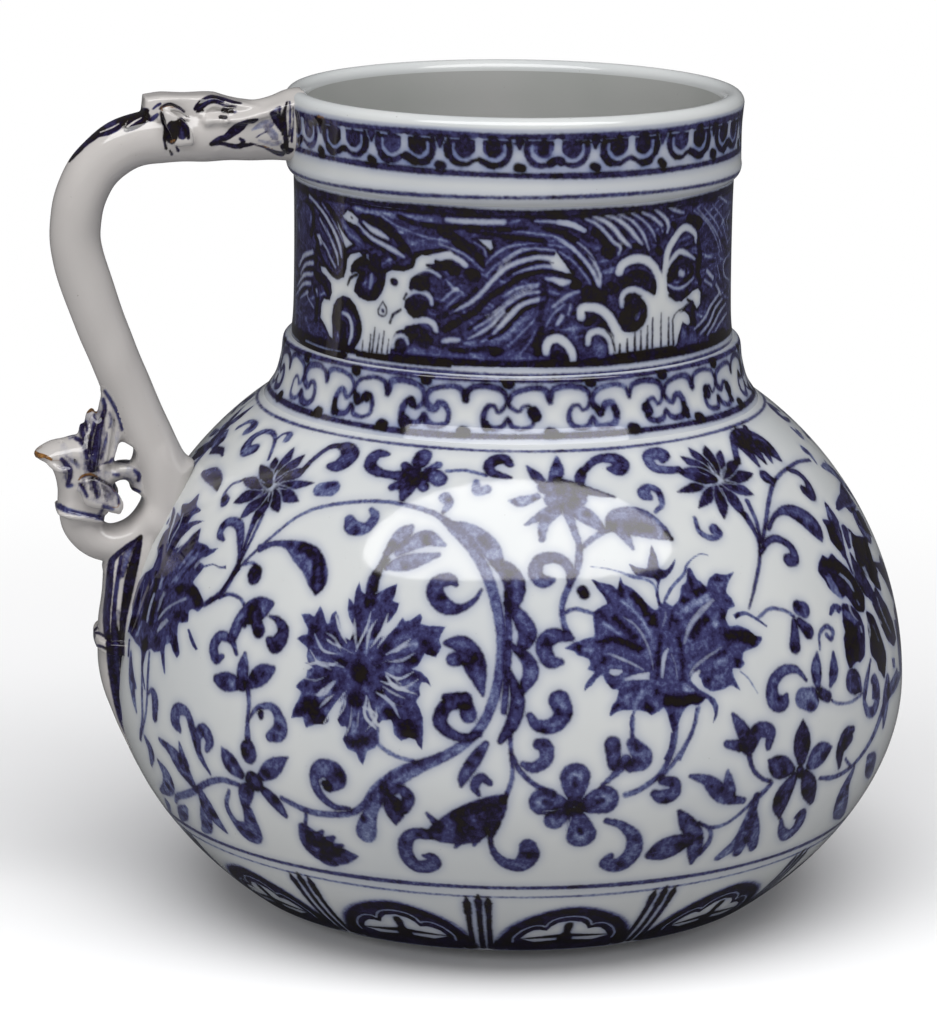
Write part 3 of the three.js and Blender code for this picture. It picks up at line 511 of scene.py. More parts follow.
# The blooms and a leaf that are given as the camera sees them, on enlarged sheets of its picture.
# Kinds: f a closed shape of pigment, i a stroke, d darkens, l lifts off and p thins. The tone follows,
# then x and y and, but for closed shapes, the width.
KINDS = {"f": "wash", "i": "wash", "d": "deepen", "l": "lift", "p": "pale"}
LEFT_BLOOM = [
    ("f", .6, 135, 1150, 170, 1000, 165, 900, 200, 800, 235, 740, 300, 700, 330, 620, 325, 540,
     345, 440, 400, 400, 440, 340, 485, 250, 500, 290, 520, 330, 545, 240, 600, 230, 685, 150, 640, 250,
     675, 285, 610, 320, 570, 372, 640, 352, 700, 360, 600, 400, 540, 470, 480, 560, 560, 500, 600, 450,
     665, 400, 650, 470, 640, 510, 700, 530, 730, 560, 790, 550, 760, 580, 710, 610, 650, 650, 690, 680,
     640, 740, 600, 800, 640, 840, 680, 930, 690, 960, 640, 1010, 600, 990, 575, 1000, 570, 1080,
     540, 1090, 500, 1080, 490, 1180, 510, 1310, 490, 1345, 460, 1290, 440, 1230, 400, 1250, 410, 1450,
     395, 1450, 375, 1290, 330, 1300, 300, 1270, 270, 1290, 245, 1420, 235, 1280, 180, 1210, 150, 1160),
    ("i", .7, 500, 60, 10, 462, 110, 50, 425, 170, 34),
    ("i", .5, 840, 690, 24, 790, 690, 14, 750, 670, 12, 700, 680, 16, 650, 700, 18, 620, 760, 14),
    ("i", .6, 570, 1130, 16, 600, 1220, 28, 630, 1280, 20),
    ("i", .7, 690, 950, 20, 760, 915, 26, 810, 860, 26, 870, 770, 26, 940, 690, 28),
    ("i", .4, 780, 915, 20, 860, 885, 24, 940, 910, 22),
    ("i", .35, 590, 0, 8, 500, 120, 8, 430, 220, 8, 345, 390, 8),
    ("i", .4, 640, 0, 6, 540, 120, 6, 460, 220, 8), ("i", .5, 150, 1200, 12, 143, 1330, 12),
    ("i", .4, 160, 1330, 14, 170, 1450, 22, 195, 1560, 24),
    ("i", .5, 243, 1290, 10, 240, 1400, 10, 262, 1568, 9), ("i", .4, 292, 1290, 8, 275, 1568, 8),
    ("i", .5, 610, 20, 30, 660, 0, 40), ("d", .6, 540, 250, 20, 560, 330, 46, 540, 370, 30),
    ("d", .7, 640, 430, 20, 570, 560, 44, 500, 620, 40),
    ("d", .6, 560, 400, 16, 470, 520, 22, 410, 610, 30, 350, 760, 30, 320, 860, 30, 250, 1060, 30),
    ("d", .5, 690, 540, 40, 690, 570, 60), ("d", .6, 600, 680, 40, 510, 730, 44),
    ("d", .95, 480, 860, 50, 540, 840, 60, 620, 890, 74, 650, 970, 60),
    ("d", .75, 470, 1040, 50, 530, 1030, 60, 545, 1070, 40), ("d", .95, 190, 1040, 50, 175, 1120, 60),
    ("d", .9, 255, 1190, 50, 260, 1280, 40), ("d", .75, 355, 1180, 40, 345, 1250, 40),
    ("d", .85, 470, 1170, 30, 485, 1300, 36), ("d", .8, 350, 470, 30, 345, 550, 26),
    ("d", .8, 440, 420, 26, 415, 500, 26), ("d", .9, 330, 720, 20, 325, 860, 24, 250, 1060, 30),
    ("d", .9, 330, 930, 24, 300, 1110, 30), ("d", .8, 210, 850, 16, 200, 960, 22),
    ("d", .7, 400, 720, 30, 395, 760, 24), ("d", .5, 470, 320, 20, 440, 400, 24),
    ("d", .6, 290, 760, 20, 270, 900, 24, 250, 1020, 20), ("d", .5, 400, 900, 20, 350, 1050, 20),
    ("p", .5, 640, 590, 30, 560, 680, 30, 470, 790, 30), ("p", .5, 600, 570, 20, 500, 700, 20),
    ("p", .5, 430, 1180, 26, 420, 1240, 20), ("p", .6, 200, 1180, 20, 240, 1080, 14),
    ("p", .5, 380, 760, 24, 360, 850, 24), ("l", .85, 482, 240, 14, 440, 330, 14, 400, 400, 12),
    ("l", .75, 522, 230, 12, 470, 350, 18, 420, 470, 14, 410, 530, 10),
    ("l", .6, 545, 300, 10, 500, 400, 14, 450, 480, 12, 400, 590, 10),
    ("l", .85, 690, 370, 20, 590, 425, 18, 520, 490, 16, 470, 560, 10),
    ("l", .5, 690, 400, 8, 640, 420, 14, 540, 520, 16, 480, 590, 16),
    ("l", .3, 640, 600, 24, 560, 680, 24, 470, 760, 24, 430, 840, 20),
    ("l", .5, 400, 860, 30, 370, 930, 26, 350, 1010, 16),
    ("l", .6, 560, 910, 30, 470, 950, 24, 400, 1000, 24, 350, 1070, 16),
    ("l", .6, 425, 1060, 34, 385, 1100, 40, 350, 1150, 16),
    ("l", .7, 325, 870, 16, 292, 980, 20, 272, 1090, 14), ("l", .4, 300, 1130, 12, 320, 1190, 16),
    ("l", .6, 545, 1090, 24, 505, 1130, 26), ("l", .4, 345, 560, 30, 300, 640, 34, 290, 690, 20),
    ("l", .6, 380, 760, 14, 355, 850, 14), ("l", .4, 248, 770, 10, 232, 880, 14, 216, 1000, 10),
    ("l", .5, 690, 620, 30, 640, 660, 30, 610, 700, 20), ("l", .4, 360, 1130, 14, 330, 1200, 10),
]
RIGHT_BLOOM = [
    ("f", .7, 105, 240, 130, 262, 140, 245, 165, 258, 200, 290, 250, 330, 285, 385, 265, 405, 240, 430,
     275, 485, 240, 462, 215, 440, 205, 470, 190, 460, 170, 420, 145, 370, 130, 330, 110, 280),
    ("f", .7, 110, 405, 150, 440, 190, 490, 222, 535, 245, 600, 270, 700, 330, 860, 300, 820, 260, 740,
     230, 700, 180, 650, 150, 570, 120, 510, 160, 520),
    ("f", .85, 130, 720, 160, 742, 180, 710, 220, 750, 270, 790, 320, 850, 350, 900, 380, 960,
     380, 1060, 330, 1050, 270, 960, 240, 985, 200, 950, 160, 910, 150, 880, 100, 820, 110, 760),
    ("f", .9, 310, 590, 330, 604, 340, 570, 370, 610, 410, 620, 430, 680, 450, 750, 480, 830, 490, 940,
     440, 900, 380, 830, 340, 760, 330, 680),
    ("f", .7, 290, 690, 340, 760, 400, 860, 440, 940, 440, 1010, 380, 960, 320, 850),
    ("f", .8, 440, 890, 500, 1000, 540, 1100, 560, 1200, 545, 1260, 510, 1220, 470, 1130, 425, 1020,
     420, 950),
    ("f", .75, 240, 1000, 300, 1010, 350, 1070, 380, 1150, 380, 1300, 350, 1350, 330, 1340, 290, 1390,
     270, 1330, 250, 1210, 262, 1170, 245, 1100),
    ("f", .85, 380, 1040, 430, 1070, 470, 1190, 500, 1300, 490, 1450, 460, 1400, 440, 1340, 410, 1300,
     400, 1200),
    ("f", .8, 450, 760, 480, 770, 515, 825, 560, 1010, 540, 980, 500, 860),
    ("i", .5, 0, 170, 24, 60, 172, 20, 130, 190, 18, 220, 245, 20, 290, 335, 24),
    ("i", .65, 240, 545, 14, 268, 590, 36, 300, 690, 24),
    ("i", .9, 342, 465, 10, 385, 540, 22, 415, 590, 26, 450, 650, 14),
    ("i", .55, 175, 1075, 16, 200, 1025, 44, 240, 1050, 40),
    ("i", .6, 318, 1385, 20, 310, 1460, 64, 340, 1525, 36), ("i", .5, 430, 1470, 24, 440, 1560, 50),
    ("i", .4, 405, 1350, 10, 372, 1568, 16), ("i", .4, 495, 1568, 20, 545, 1500, 22, 580, 1400, 22),
    ("i", .45, 540, 1320, 18, 545, 1380, 14), ("i", .4, 562, 1100, 14, 575, 1240, 18, 583, 1400, 14),
    ("i", .5, 0, 20, 30, 60, 50, 30, 95, 98, 14), ("i", .7, 0, 70, 26, 40, 110, 14),
    ("d", .9, 150, 290, 34, 220, 320, 40, 265, 380, 40),
    ("d", .9, 160, 540, 40, 200, 620, 50, 240, 700, 30),
    ("d", .95, 130, 780, 30, 200, 780, 50, 290, 860, 56, 350, 950, 60, 350, 1040, 30),
    ("d", .95, 350, 640, 60, 400, 700, 80, 440, 800, 60, 470, 900, 40),
    ("d", .9, 290, 1100, 70, 300, 1250, 80, 310, 1340, 60),
    ("d", .95, 430, 1140, 50, 460, 1280, 60, 480, 1400, 40), ("d", .9, 480, 1040, 50, 530, 1180, 50),
    ("d", .7, 320, 720, 30, 390, 860, 40), ("d", .8, 340, 950, 50, 350, 1060, 40),
    ("p", .6, 165, 340, 20, 215, 380, 30, 225, 440, 16),
    ("p", .6, 160, 840, 30, 200, 920, 40, 240, 1000, 40), ("p", .5, 250, 1050, 30, 330, 1120, 30),
    ("p", .5, 130, 440, 14, 180, 520, 16), ("l", .7, 228, 830, 18, 285, 880, 20, 320, 940, 12),
    ("l", .6, 285, 1000, 18, 300, 1060, 14, 340, 1110, 12),
    ("l", .6, 380, 790, 22, 415, 870, 14, 440, 940, 10),
    ("l", .5, 395, 970, 12, 440, 1060, 12, 480, 1130, 12),
    ("l", .6, 375, 1060, 14, 405, 1160, 14, 395, 1260, 12),
    ("l", .5, 285, 705, 12, 310, 780, 12, 330, 850, 8), ("l", .6, 350, 1130, 12, 360, 1180, 14),
    ("l", .7, 425, 880, 12, 440, 920, 16), ("l", .5, 185, 350, 16, 210, 400, 16),
    ("l", .5, 450, 960, 8, 480, 1060, 12, 530, 1180, 10), ("l", .4, 420, 1120, 10, 460, 1230, 12),
    ("l", .5, 330, 980, 14, 350, 1020, 14), ("l", .4, 215, 560, 8, 250, 660, 10),
]
MIDDLE_BLOOM = [
    ("i", .3, 215, 185, 8, 330, 200, 10, 430, 225, 16, 520, 258, 30, 600, 275, 22, 670, 315, 18,
     690, 400, 14),
    ("i", .35, 1055, 105, 8, 1000, 95, 10, 940, 130, 14, 900, 180, 20, 880, 240, 26, 800, 330, 26,
     760, 400, 26, 740, 440, 20),
    ("f", .5, 430, 250, 450, 310, 500, 330, 560, 380, 620, 450, 680, 500, 740, 430, 800, 470, 850, 420,
     860, 330, 900, 290, 905, 190, 930, 190, 975, 280, 1000, 290, 1040, 330, 1060, 270, 1110, 230,
     1180, 245, 1245, 215, 1200, 300, 1180, 370, 1220, 410, 1250, 470, 1200, 490, 1195, 560, 1200, 610,
     1270, 600, 1350, 640, 1400, 680, 1440, 680, 1440, 710, 1400, 760, 1310, 790, 1300, 840, 1320, 880,
     1290, 910, 1230, 910, 1240, 970, 1290, 1075, 1220, 1030, 1160, 1060, 1080, 1080, 1020, 1040,
     1000, 980, 960, 950, 930, 990, 980, 1050, 1050, 1090, 1110, 1130, 1130, 1180, 1120, 1250,
     1085, 1310, 1100, 1240, 1090, 1180, 1040, 1120, 1020, 1145, 980, 1180, 930, 1170, 900, 1190,
     870, 1230, 840, 1320, 810, 1385, 785, 1320, 760, 1220, 740, 1190, 700, 1220, 650, 1250, 620, 1220,
     550, 1210, 430, 1210, 345, 1260, 370, 1170, 400, 1140, 420, 1060, 370, 1060, 320, 1000, 300, 950,
     250, 1000, 220, 1040, 165, 1080, 185, 1010, 250, 940, 190, 920, 215, 880, 200, 840, 130, 820,
     100, 790, 20, 770, 110, 720, 180, 700, 250, 680, 235, 580, 240, 510, 290, 470, 340, 450, 300, 380,
     260, 340, 220, 270, 290, 300, 380, 320, 410, 350, 420, 300),
    ("f", .7, 650, 20, 680, 90, 700, 150, 710, 200, 760, 210, 800, 160, 822, 120, 820, 170, 790, 230,
     750, 270, 720, 280, 705, 310, 690, 300, 670, 270, 600, 260, 540, 250, 510, 210, 485, 160, 560, 190,
     620, 200, 625, 150, 640, 80),
    ("i", .65, 702, 290, 20, 692, 380, 20, 715, 470, 30), ("d", .95, 690, 235, 50, 715, 250, 60),
    ("i", .5, 1240, 545, 40, 1290, 520, 36, 1340, 525, 24, 1400, 560, 20, 1475, 612, 12),
    ("i", .25, 1280, 930, 10, 1340, 980, 12, 1410, 1090, 6),
    ("i", .35, 540, 1190, 24, 505, 1290, 20, 520, 1400, 24),
    ("i", .35, 805, 1370, 30, 790, 1480, 34, 750, 1568, 34),
    ("i", .3, 972, 1190, 16, 950, 1340, 22, 850, 1568, 22),
    ("p", .55, 300, 590, 20, 380, 630, 24, 450, 700, 20, 520, 720, 14),
    ("p", .55, 430, 430, 20, 520, 490, 26, 600, 590, 24, 650, 690, 14),
    ("p", .6, 1060, 400, 50, 950, 450, 60, 880, 520, 40), ("p", .5, 1100, 620, 30, 1120, 580, 40),
    ("p", .5, 590, 1070, 26, 550, 1140, 26, 530, 1210, 20), ("p", .6, 880, 1050, 30, 960, 1080, 30),
    ("p", .5, 480, 420, 30, 520, 400, 20), ("p", .5, 160, 770, 20, 240, 790, 24),
    ("p", .5, 1100, 980, 30, 1160, 960, 40), ("p", .45, 1150, 850, 30, 1100, 900, 30),
    ("p", .5, 430, 1150, 20, 500, 1100, 30), ("p", .4, 1120, 300, 30, 1170, 320, 30),
    ("d", .8, 425, 300, 30, 440, 410, 44), ("d", .9, 510, 380, 40, 590, 450, 54, 620, 540, 44),
    ("d", .95, 665, 520, 50, 660, 610, 60), ("d", .7, 235, 290, 20, 290, 350, 20, 350, 440, 26),
    ("d", .7, 260, 500, 24, 340, 560, 26), ("d", .85, 380, 540, 36, 460, 620, 46, 540, 700, 40),
    ("d", .9, 115, 755, 40, 150, 775, 44),
    ("d", .92, 260, 730, 30, 380, 700, 46, 480, 730, 50, 585, 790, 60),
    ("d", .8, 300, 850, 50, 330, 855, 50), ("d", .7, 490, 930, 24, 530, 935, 30),
    ("d", .85, 860, 415, 44, 900, 440, 54), ("d", .85, 1040, 330, 50, 960, 390, 60),
    ("d", .5, 1100, 260, 40, 1140, 300, 40), ("d", .92, 1060, 550, 60, 990, 610, 60, 940, 700, 50),
    ("d", .85, 1160, 520, 40, 1165, 560, 50), ("d", .95, 1170, 670, 70, 1300, 680, 90, 1400, 715, 80),
    ("d", .85, 1250, 870, 60, 1280, 875, 64), ("d", .8, 1040, 990, 50, 1060, 1010, 60),
    ("d", .8, 820, 560, 40, 835, 590, 50), ("d", .7, 725, 680, 24, 700, 800, 34, 690, 1000, 30),
    ("d", .7, 850, 690, 24, 870, 850, 34, 880, 1000, 28),
    ("d", .96, 735, 1130, 80, 830, 1140, 92, 960, 1130, 70, 1025, 1140, 40),
    ("d", .8, 600, 1180, 56, 660, 1215, 56), ("d", .7, 370, 1210, 30, 430, 1150, 36),
    ("d", .6, 790, 1230, 50, 812, 1320, 30), ("d", .7, 335, 1020, 36, 380, 1050, 24),
    ("d", .8, 690, 1040, 34, 692, 1100, 44), ("d", .7, 1250, 540, 36, 1275, 532, 36),
    ("d", .7, 900, 210, 16, 930, 290, 30, 940, 350, 20), ("d", .6, 1190, 420, 30, 1215, 450, 30),
    ("d", .7, 560, 1060, 20, 480, 1060, 24), ("d", .8, 800, 500, 14, 780, 640, 16),
    ("d", .6, 1090, 830, 20, 1180, 790, 30), ("l", .85, 772, 765, 16, 742, 830, 34, 726, 980, 20),
    ("l", .6, 790, 800, 12, 820, 880, 16, 840, 995, 12),
    ("l", .45, 752, 480, 14, 748, 560, 30, 712, 650, 14),
    ("l", .55, 440, 540, 18, 520, 590, 26, 580, 660, 26, 640, 790, 24, 665, 930, 12),
    ("l", .65, 340, 805, 18, 430, 840, 28, 520, 880, 26, 600, 925, 12),
    ("l", .85, 350, 930, 30, 400, 940, 54, 445, 930, 20),
    ("l", .85, 460, 990, 22, 550, 972, 44, 640, 965, 60),
    ("l", .6, 1095, 415, 30, 1010, 500, 50, 930, 600, 46, 882, 740, 24),
    ("l", .55, 1160, 750, 20, 1050, 830, 32, 960, 900, 32, 920, 970, 20),
    ("l", .85, 1210, 495, 18, 1188, 560, 20, 1235, 595, 18),
    ("l", .85, 1000, 925, 20, 960, 975, 44, 1000, 1040, 20),
    ("l", .35, 1040, 700, 14, 1000, 760, 20, 925, 840, 18), ("l", .4, 640, 640, 14, 665, 745, 16),
    ("l", .4, 640, 540, 8, 655, 640, 8), ("l", .3, 600, 1070, 14, 550, 1150, 18, 530, 1210, 16),
    ("l", .4, 810, 610, 8, 815, 690, 8), ("l", .35, 600, 580, 10, 500, 480, 12, 420, 450, 8),
    ("l", .4, 300, 590, 10, 400, 640, 14), ("l", .4, 1140, 620, 10, 1060, 690, 12),
    ("l", .5, 880, 1010, 14, 960, 1075, 24),
]
HANGING_LEAF = [
    ("i", .85, 492, 485, 16, 535, 425, 38, 595, 352, 44, 650, 300, 36, 727, 240, 16),
    ("i", .85, 525, 500, 10, 565, 455, 32, 605, 430, 28),
    ("i", .7, 640, 352, 14, 675, 315, 22, 712, 288, 12),
    ("i", .6, 388, 600, 20, 408, 572, 34, 436, 548, 14),
    ("d", .9, 505, 470, 16, 560, 405, 24, 610, 350, 24), ("d", .8, 585, 430, 26, 600, 425, 26),
    ("d", .95, 545, 545, 60, 560, 548, 60),
    ("l", .7, 500, 492, 5, 560, 425, 6, 640, 335, 6, 700, 290, 4),
    ("l", .6, 520, 460, 4, 600, 365, 6, 690, 280, 4), ("l", .5, 540, 500, 5, 590, 440, 5),
    ("p", .5, 650, 320, 14, 700, 270, 10),
]


def swath(q):
    """The outline of a stroke given by x, y and width."""
    d = np.gradient(q[:, :2], axis=0)
    side = np.stack([-d[:, 1], d[:, 0]], 1) / np.hypot(*d.T)[:, None] * q[:, 2:] / 2
    return np.vstack([q[:, :2] + side, (q[:, :2] - side)[::-1]])


def as_seen(band, rows, x0, y0, zoom):
    """Draws the rows of a sheet that shows the picture from x0, y0 on, so many times enlarged."""
    for kind, tone, *q in rows:
        q = np.array(q, float).reshape(-1, 2 if kind == "f" else 3)
        if kind == "f":
            after = np.roll(q, -1, 0)
            corners = np.stack([q * .85 + after * .15, q * .15 + after * .85], 1).reshape(-1, 2)
            corners = corners + rng.normal(0, 1.5, corners.shape)
        else:
            corners = swath(spline(q, 4))
        corners = on_band(band, (x0, y0) + corners / zoom)
        band.fill(corners, tone, KINDS[kind], .7 if kind == "d" else .5)


# The belly's scroll, stroke by stroke: tone, then angle, distance below the shoulder and width
SCROLL = [
    # Arc stem round the ragged bloom, and its tail
    (.45, -56.6, 28, .45, -54.4, 24.6, .45, -51.5, 20.6, .45, -48.5, 17, .45, -44.5, 14.6, .5,
     -38, 12.8, .5, -32, 12.2, .55, -26, 12.8, .7, -22, 14, .9, -19, 16.2, 1.5, -16, 19, 1.5,
     -13.6, 22.7, 1.5, -12, 27, 1.5, -11, 32, 1.4, -11, 37, 1.4, -11.8, 42, 1.4, -13.6, 46.6, 1.4,
     -17, 50.2, 1.4, -21.6, 53, 1.7, -25, 55.6, 1.9, -27, 58, 1.9, -28.6, 61, 2, -29.6, 64.6, 3.1,
     -29.7, 65.6, 2.4),
    (.5, -19, 51, .5, -24, 53.4, .8, -27.6, 56.6, .9, -29.6, 60, 1, -31.4, 61.6, 1, -34, 62.4, 1,
     -38, 62.6, 1, -42.4, 61.2, .8),
    # Leafy strand beside the stem
    (.7, -12.6, 21.4, .6, -10.4, 22.4, 2.4, -9, 25, 3, -9.2, 28, 1.6),
    (.7, -10.4, 27.6, .8, -8.3, 29.8, 2.2, -7.2, 32.4, 2.6, -8.4, 34.8, 1.2),
    (.65, -9.6, 34, .8, -7.4, 36, 1.8, -6.8, 38.4, 2.2, -8.2, 41, 1.2),
    (.75, -9.8, 38, .8, -8.6, 42, 2, -9.2, 45.6, 2, -10.8, 48.4, 1),
    # This leaf lies in the lamp's highlight; its pale inside is partly its own thin wash and partly painted
    # highlight
    (.45, -20.6, 14.8, .5, -16.5, 16.2, 2.2, -13.2, 18.8, 2.8, -11.6, 21.6, 1.6),
    (.6, -10.2, 26, 1, -9.9, 34, 1, -10.4, 44, .9),
    (.8, -12.8, 49, 1, -14.2, 51.4, 1.9, -15.6, 54, 1.6, -16, 55.6, .5),
    # Leaf on the arc stem's start
    (.6, -53.2, 23.2, 1.3, -51, 22.1, .9, -48, 21.7, 1.3, -44.5, 22.6, 3.4, -42, 24, 3.8,
     -40.3, 26.4, 3, -40, 28.6, .4),
    (.9, -44.6, 21.7, .9, -42, 22, 1, -40.6, 25.4, 1.4, -40.1, 27.4, 1.8),
    # Balls and comma curls, upper left
    (.35, -55.8, 26.6, .4, -53.6, 25.8, .5, -52.2, 26.3, .7), (.9, -52.3, 27.3, 2.6, -52.1, 27.8, 2.4),
    (.7, -63.7, 8.8, .5, -65.6, 6.2, .6, -67.5, 4.8, .7, -70, 4.2, .9, -72.8, 4.6, 1, -74.6, 6.2, 1.5,
     -74.2, 8, 2, -72.4, 8.8, 2.2, -70.6, 8, 2),
    (.6, -66.4, 5.6, .4, -66.2, 4, .5, -64.8, 3.3, .6, -63.7, 3.6, 1.2, -63.4, 4.4, 1.3),
    (.45, -85, 6.5, .9, -83, 4.6, .9, -80.5, 4.2, 1, -78.6, 5, 2, -79.4, 6, 1.6),
    (.8, -86, 11.8, 1.6, -82, 11, 1.2, -79.4, 11.5, .3),
    (.6, -82, 15.6, .8, -78, 15, 2.6, -74, 15.4, 2.2, -71.8, 16.7, .3),
    (.9, -74.4, 15.3, 1.2, -72.4, 16.1, .8),
    (.6, -66.5, 13.6, .4, -68.6, 14.8, .5, -69, 16.6, .7, -67.5, 17.8, 1.9),
    (.6, -62.2, 23.6, .6, -63.8, 23, 1.3, -64, 21.3, 1.5, -62.3, 20.4, 1.5, -60, 20.8, 1.6,
     -58.4, 22.6, 1.4, -57, 25, .8, -56.4, 27, .5),
    (.75, -53, 9, 1, -52.2, 6.5, .8, -50.5, 4, .9, -48.4, 3.3, 1.1, -46, 3.5, 2.2, -44.4, 4.9, 3,
     -45.4, 6.8, 2.4, -47.6, 7.3, 1),
    # A pale ball in the lamp's highlight: its low tone is partly painted highlight
    (.35, -46.6, 11.7, 2.2, -44.3, 11.2, 2.6),
    (.6, -57.4, 18.5, 1.2, -56.9, 22, .7, -56.4, 25.5, .8, -56.7, 28.5, 1, -57.8, 31.5, 1,
     -60.6, 34, .9),
    (.45, -56, 18, .5, -55.9, 22, .5, -56.2, 26, .5),
    # Three-lobed leaf and curl beside the ragged bloom
    (.35, -58, 32.2, .4, -56, 31.4, .5, -53.5, 31.6, .5, -51.8, 33, .5),
    (.65, -53, 37.4, 2, -52.2, 34.6, 2.2, -49.8, 32.8, 3.8, -47.4, 31.4, 1.2),
    (.8, -50, 33.4, 2, -48.3, 35.8, 2.1), (.9, -51.5, 35, .9, -51.2, 35.4, .9),
    (.8, -47, 33.2, .4, -45.3, 33.6, 1.1, -44, 35.2, 2, -44.8, 37.3, 2.5, -46.3, 36.8, 1),
    (.65, -51.6, 40, .6, -53, 38.2, 1.1, -55.4, 38, 1.6, -56.4, 39.8, 1.9, -55.4, 41.6, 1.6,
     -54.2, 41, .8),
    (.65, -54.8, 44.6, 1.2, -52.6, 44.6, 2.8, -50, 44.4, 1.6),
    (.65, -50, 39.7, .6, -49.9, 42, 2.2, -49.6, 44.4, 2),
    (.6, -44.6, 41, 1, -46.6, 42.4, 3, -48.4, 44.2, 1.3),
    (.5, -48.6, 44.4, .9, -48, 47, .7, -48, 50, .7, -47.8, 53.6, 1.3),
    (.6, -47.8, 49.4, .4, -46.4, 47.4, .8, -44, 46.8, 1.2, -42.6, 48.4, 1.8, -42.5, 50.4, 2.6,
     -44, 51.4, 1.5),
    (.9, -45.8, 48.2, 1.1, -45.7, 48.6, .9),
    # Above the ragged bloom
    (.7, -36, 3.5, .8, -38.5, 3.8, 1.8, -38.8, 5.8, 1.9, -36.6, 7, 1.6, -34, 7.3, 1.3, -31, 7.3, 1.9),
    (.75, -28.2, 3.2, 2.6, -28.4, 4.2, 2.6), (.65, -31.4, 5.2, 1.2, -30, 6.4, 2.4),
    (.7, -28, 7.4, 2, -25, 6.8, 2.4, -23.6, 7.4, 2.4), (.45, -26.6, 5.8, .8, -24.6, 4.7, 1.3),
    (.8, -29, 6, 2, -29.2, 8.8, 2.6, -29.6, 11.4, .9), (.75, -27.6, 7.6, 2, -26.2, 9, 1.6),
    (.65, -29.6, 8.2, 2, -32.2, 9.5, 1.3), (.9, -29.2, 6.6, 1.8, -28.7, 7, 1.8),
    (.35, -22.5, 5.7, .5, -19, 5.4, .5, -16.5, 5.8, .5, -14.6, 6.2, .5),
    (.75, -10, 4, 1.1, -11.2, 3, 1.7, -13, 3.2, 1.9, -14.2, 4.4, 1.7, -13.6, 5.6, 1.4, -11.5, 6.2, 1,
     -9.8, 6.5, .4),
    # These curls lie in the lamp's highlight: their low tones are partly painted highlight
    (.3, -16.4, 7.5, .9, -16, 9.2, 1.4, -14.3, 8.8, 1.4),
    (.3, -21.8, 10.6, 1.7, -20.9, 11.6, 1.3, -21.7, 13.4, .5),
    (.5, -34.8, 13.8, .7, -33.6, 15, 1.4, -34.6, 17, 1.7, -37, 17.2, 2.3, -38.2, 15.9, 1.4),
    (.8, -30.9, 29, .9, -31, 25.6, 1.7, -30.2, 22.5, .9, -29.6, 20, .9),
    (.5, -29.8, 20.8, 1, -28, 17.8, 2.4, -26.6, 16.1, .8),
    (.5, -28, 20.4, 1.2, -24, 17.8, 2.5, -20.6, 18.7, .6),
    (.45, -29.4, 23, .8, -26, 21.9, 2.4, -21.2, 20.3, .6),
    (.75, -14.1, 25.6, .4, -15, 27.2, .7, -17, 28.6, 1.2, -19.3, 28.4, 2.3, -21, 26.6, 2.5,
     -20.8, 24.8, 2.1, -19, 24.2, 1.7, -18, 24.9, .7),
    (.85, -18.8, 34, .8, -16.4, 34.2, 2.6, -14.6, 37, 3.2, -13.3, 41.6, .5),
    (.7, -17.6, 36.4, 2, -15.6, 36, 2), (.7, -18.4, 42.2, 1.2, -16, 42.4, 1.8, -15.2, 44.6, 2.4),
    (.75, -15.8, 42.4, 2.2, -18.2, 43.4, 2, -19, 46, 2, -16.6, 48, 1.3, -13.6, 47.6, .7),
    # Star flower with its curl and leaves, lower left
    (.85, -47.8, 54.2, 2.8, -47.6, 55, 2.8), (.65, -52.7, 55.1, .4, -51.2, 57.2, 2.9, -49.4, 58.6, 1.6),
    (.65, -41, 54.1, .3, -43.6, 56.4, 2.8, -45.6, 58.2, 1.4),
    (.6, -50, 65.4, .6, -49, 62, 2.7, -47.9, 60.6, 1.8),
    (.65, -42.4, 64.2, 1, -43.8, 62, 2.2, -45.6, 60.4, 1.4), (.9, -47.2, 59.2, 2.9, -46.8, 59.4, 2.9),
    (.55, -52.2, 62.2, .6, -53.6, 65.4, .9, -52.8, 68.4, 1.6, -50.8, 69.8, 4, -49.6, 68.8, 3.2,
     -49.2, 65, 1.8),
    (.5, -50, 60.6, .8, -53.4, 60.6, .9, -57, 62.2, 1, -60.6, 64.6, 1.1, -64, 66.4, 1.2, -67, 67.8, 1,
     -69, 69.6, .5),
    (.5, -67.8, 57.8, .7, -65, 58.7, 1.8, -62.6, 60.6, 3.4, -60.4, 63.6, 1.4),
    (.5, -62.2, 56.8, .5, -61.6, 60, 2.4),
    (.6, -55.6, 60.2, .4, -57.4, 57.6, 1.2, -58.8, 54, 1.5, -60.3, 51.4, 1.4, -62.6, 51.4, 2,
     -63.2, 53.2, 2.4, -62, 54.6, .9),
    (.6, -57.8, 56.4, 1.3, -57.7, 54.2, 1.8, -56.4, 53.2, 2, -55.2, 54.6, 1.8, -55.9, 56.2, .9),
    (.5, -59, 64, 1.2, -58.6, 66.8, 3, -57.8, 69.2, 2.4, -56.5, 71.4, .7),
    (.5, -59, 67, 2.2, -60.6, 70.2, 2.6, -62, 72.4, 2.1, -64, 73.8, .8),
    (.45, -69.7, 62, .6, -68, 64.4, 3, -69.6, 67, 2.6, -74, 69.2, .8),
    (.45, -71.4, 74, .8, -68.4, 71.6, 2.4, -65.6, 69.4, .9), (.4, -76.4, 74, .9, -73.6, 71.2, 1.4),
    (.7, -71.2, 51.2, .5, -70.2, 50.4, .9, -69, 51.6, 2, -68.9, 54.4, 1.5),
    (.6, -72.9, 59, .8, -71.6, 61, 2, -73.2, 64, .5),
    (.4, -74.2, 47, .7, -73.4, 52, .7, -73.3, 56, .7, -75.3, 60, .6),
    (.4, -72.2, 45, .5, -71.6, 50, .6, -72, 55, .6, -75, 60, .5),
    (.4, -79.6, 47, .8, -78, 51, 2.4, -75.6, 55.4, .6),
    # Curl, leaves and ball under the ragged bloom
    (.3, -27.6, 47.6, .4, -27.4, 50, .5, -25, 51.6, .5, -22.4, 52.2, .5),
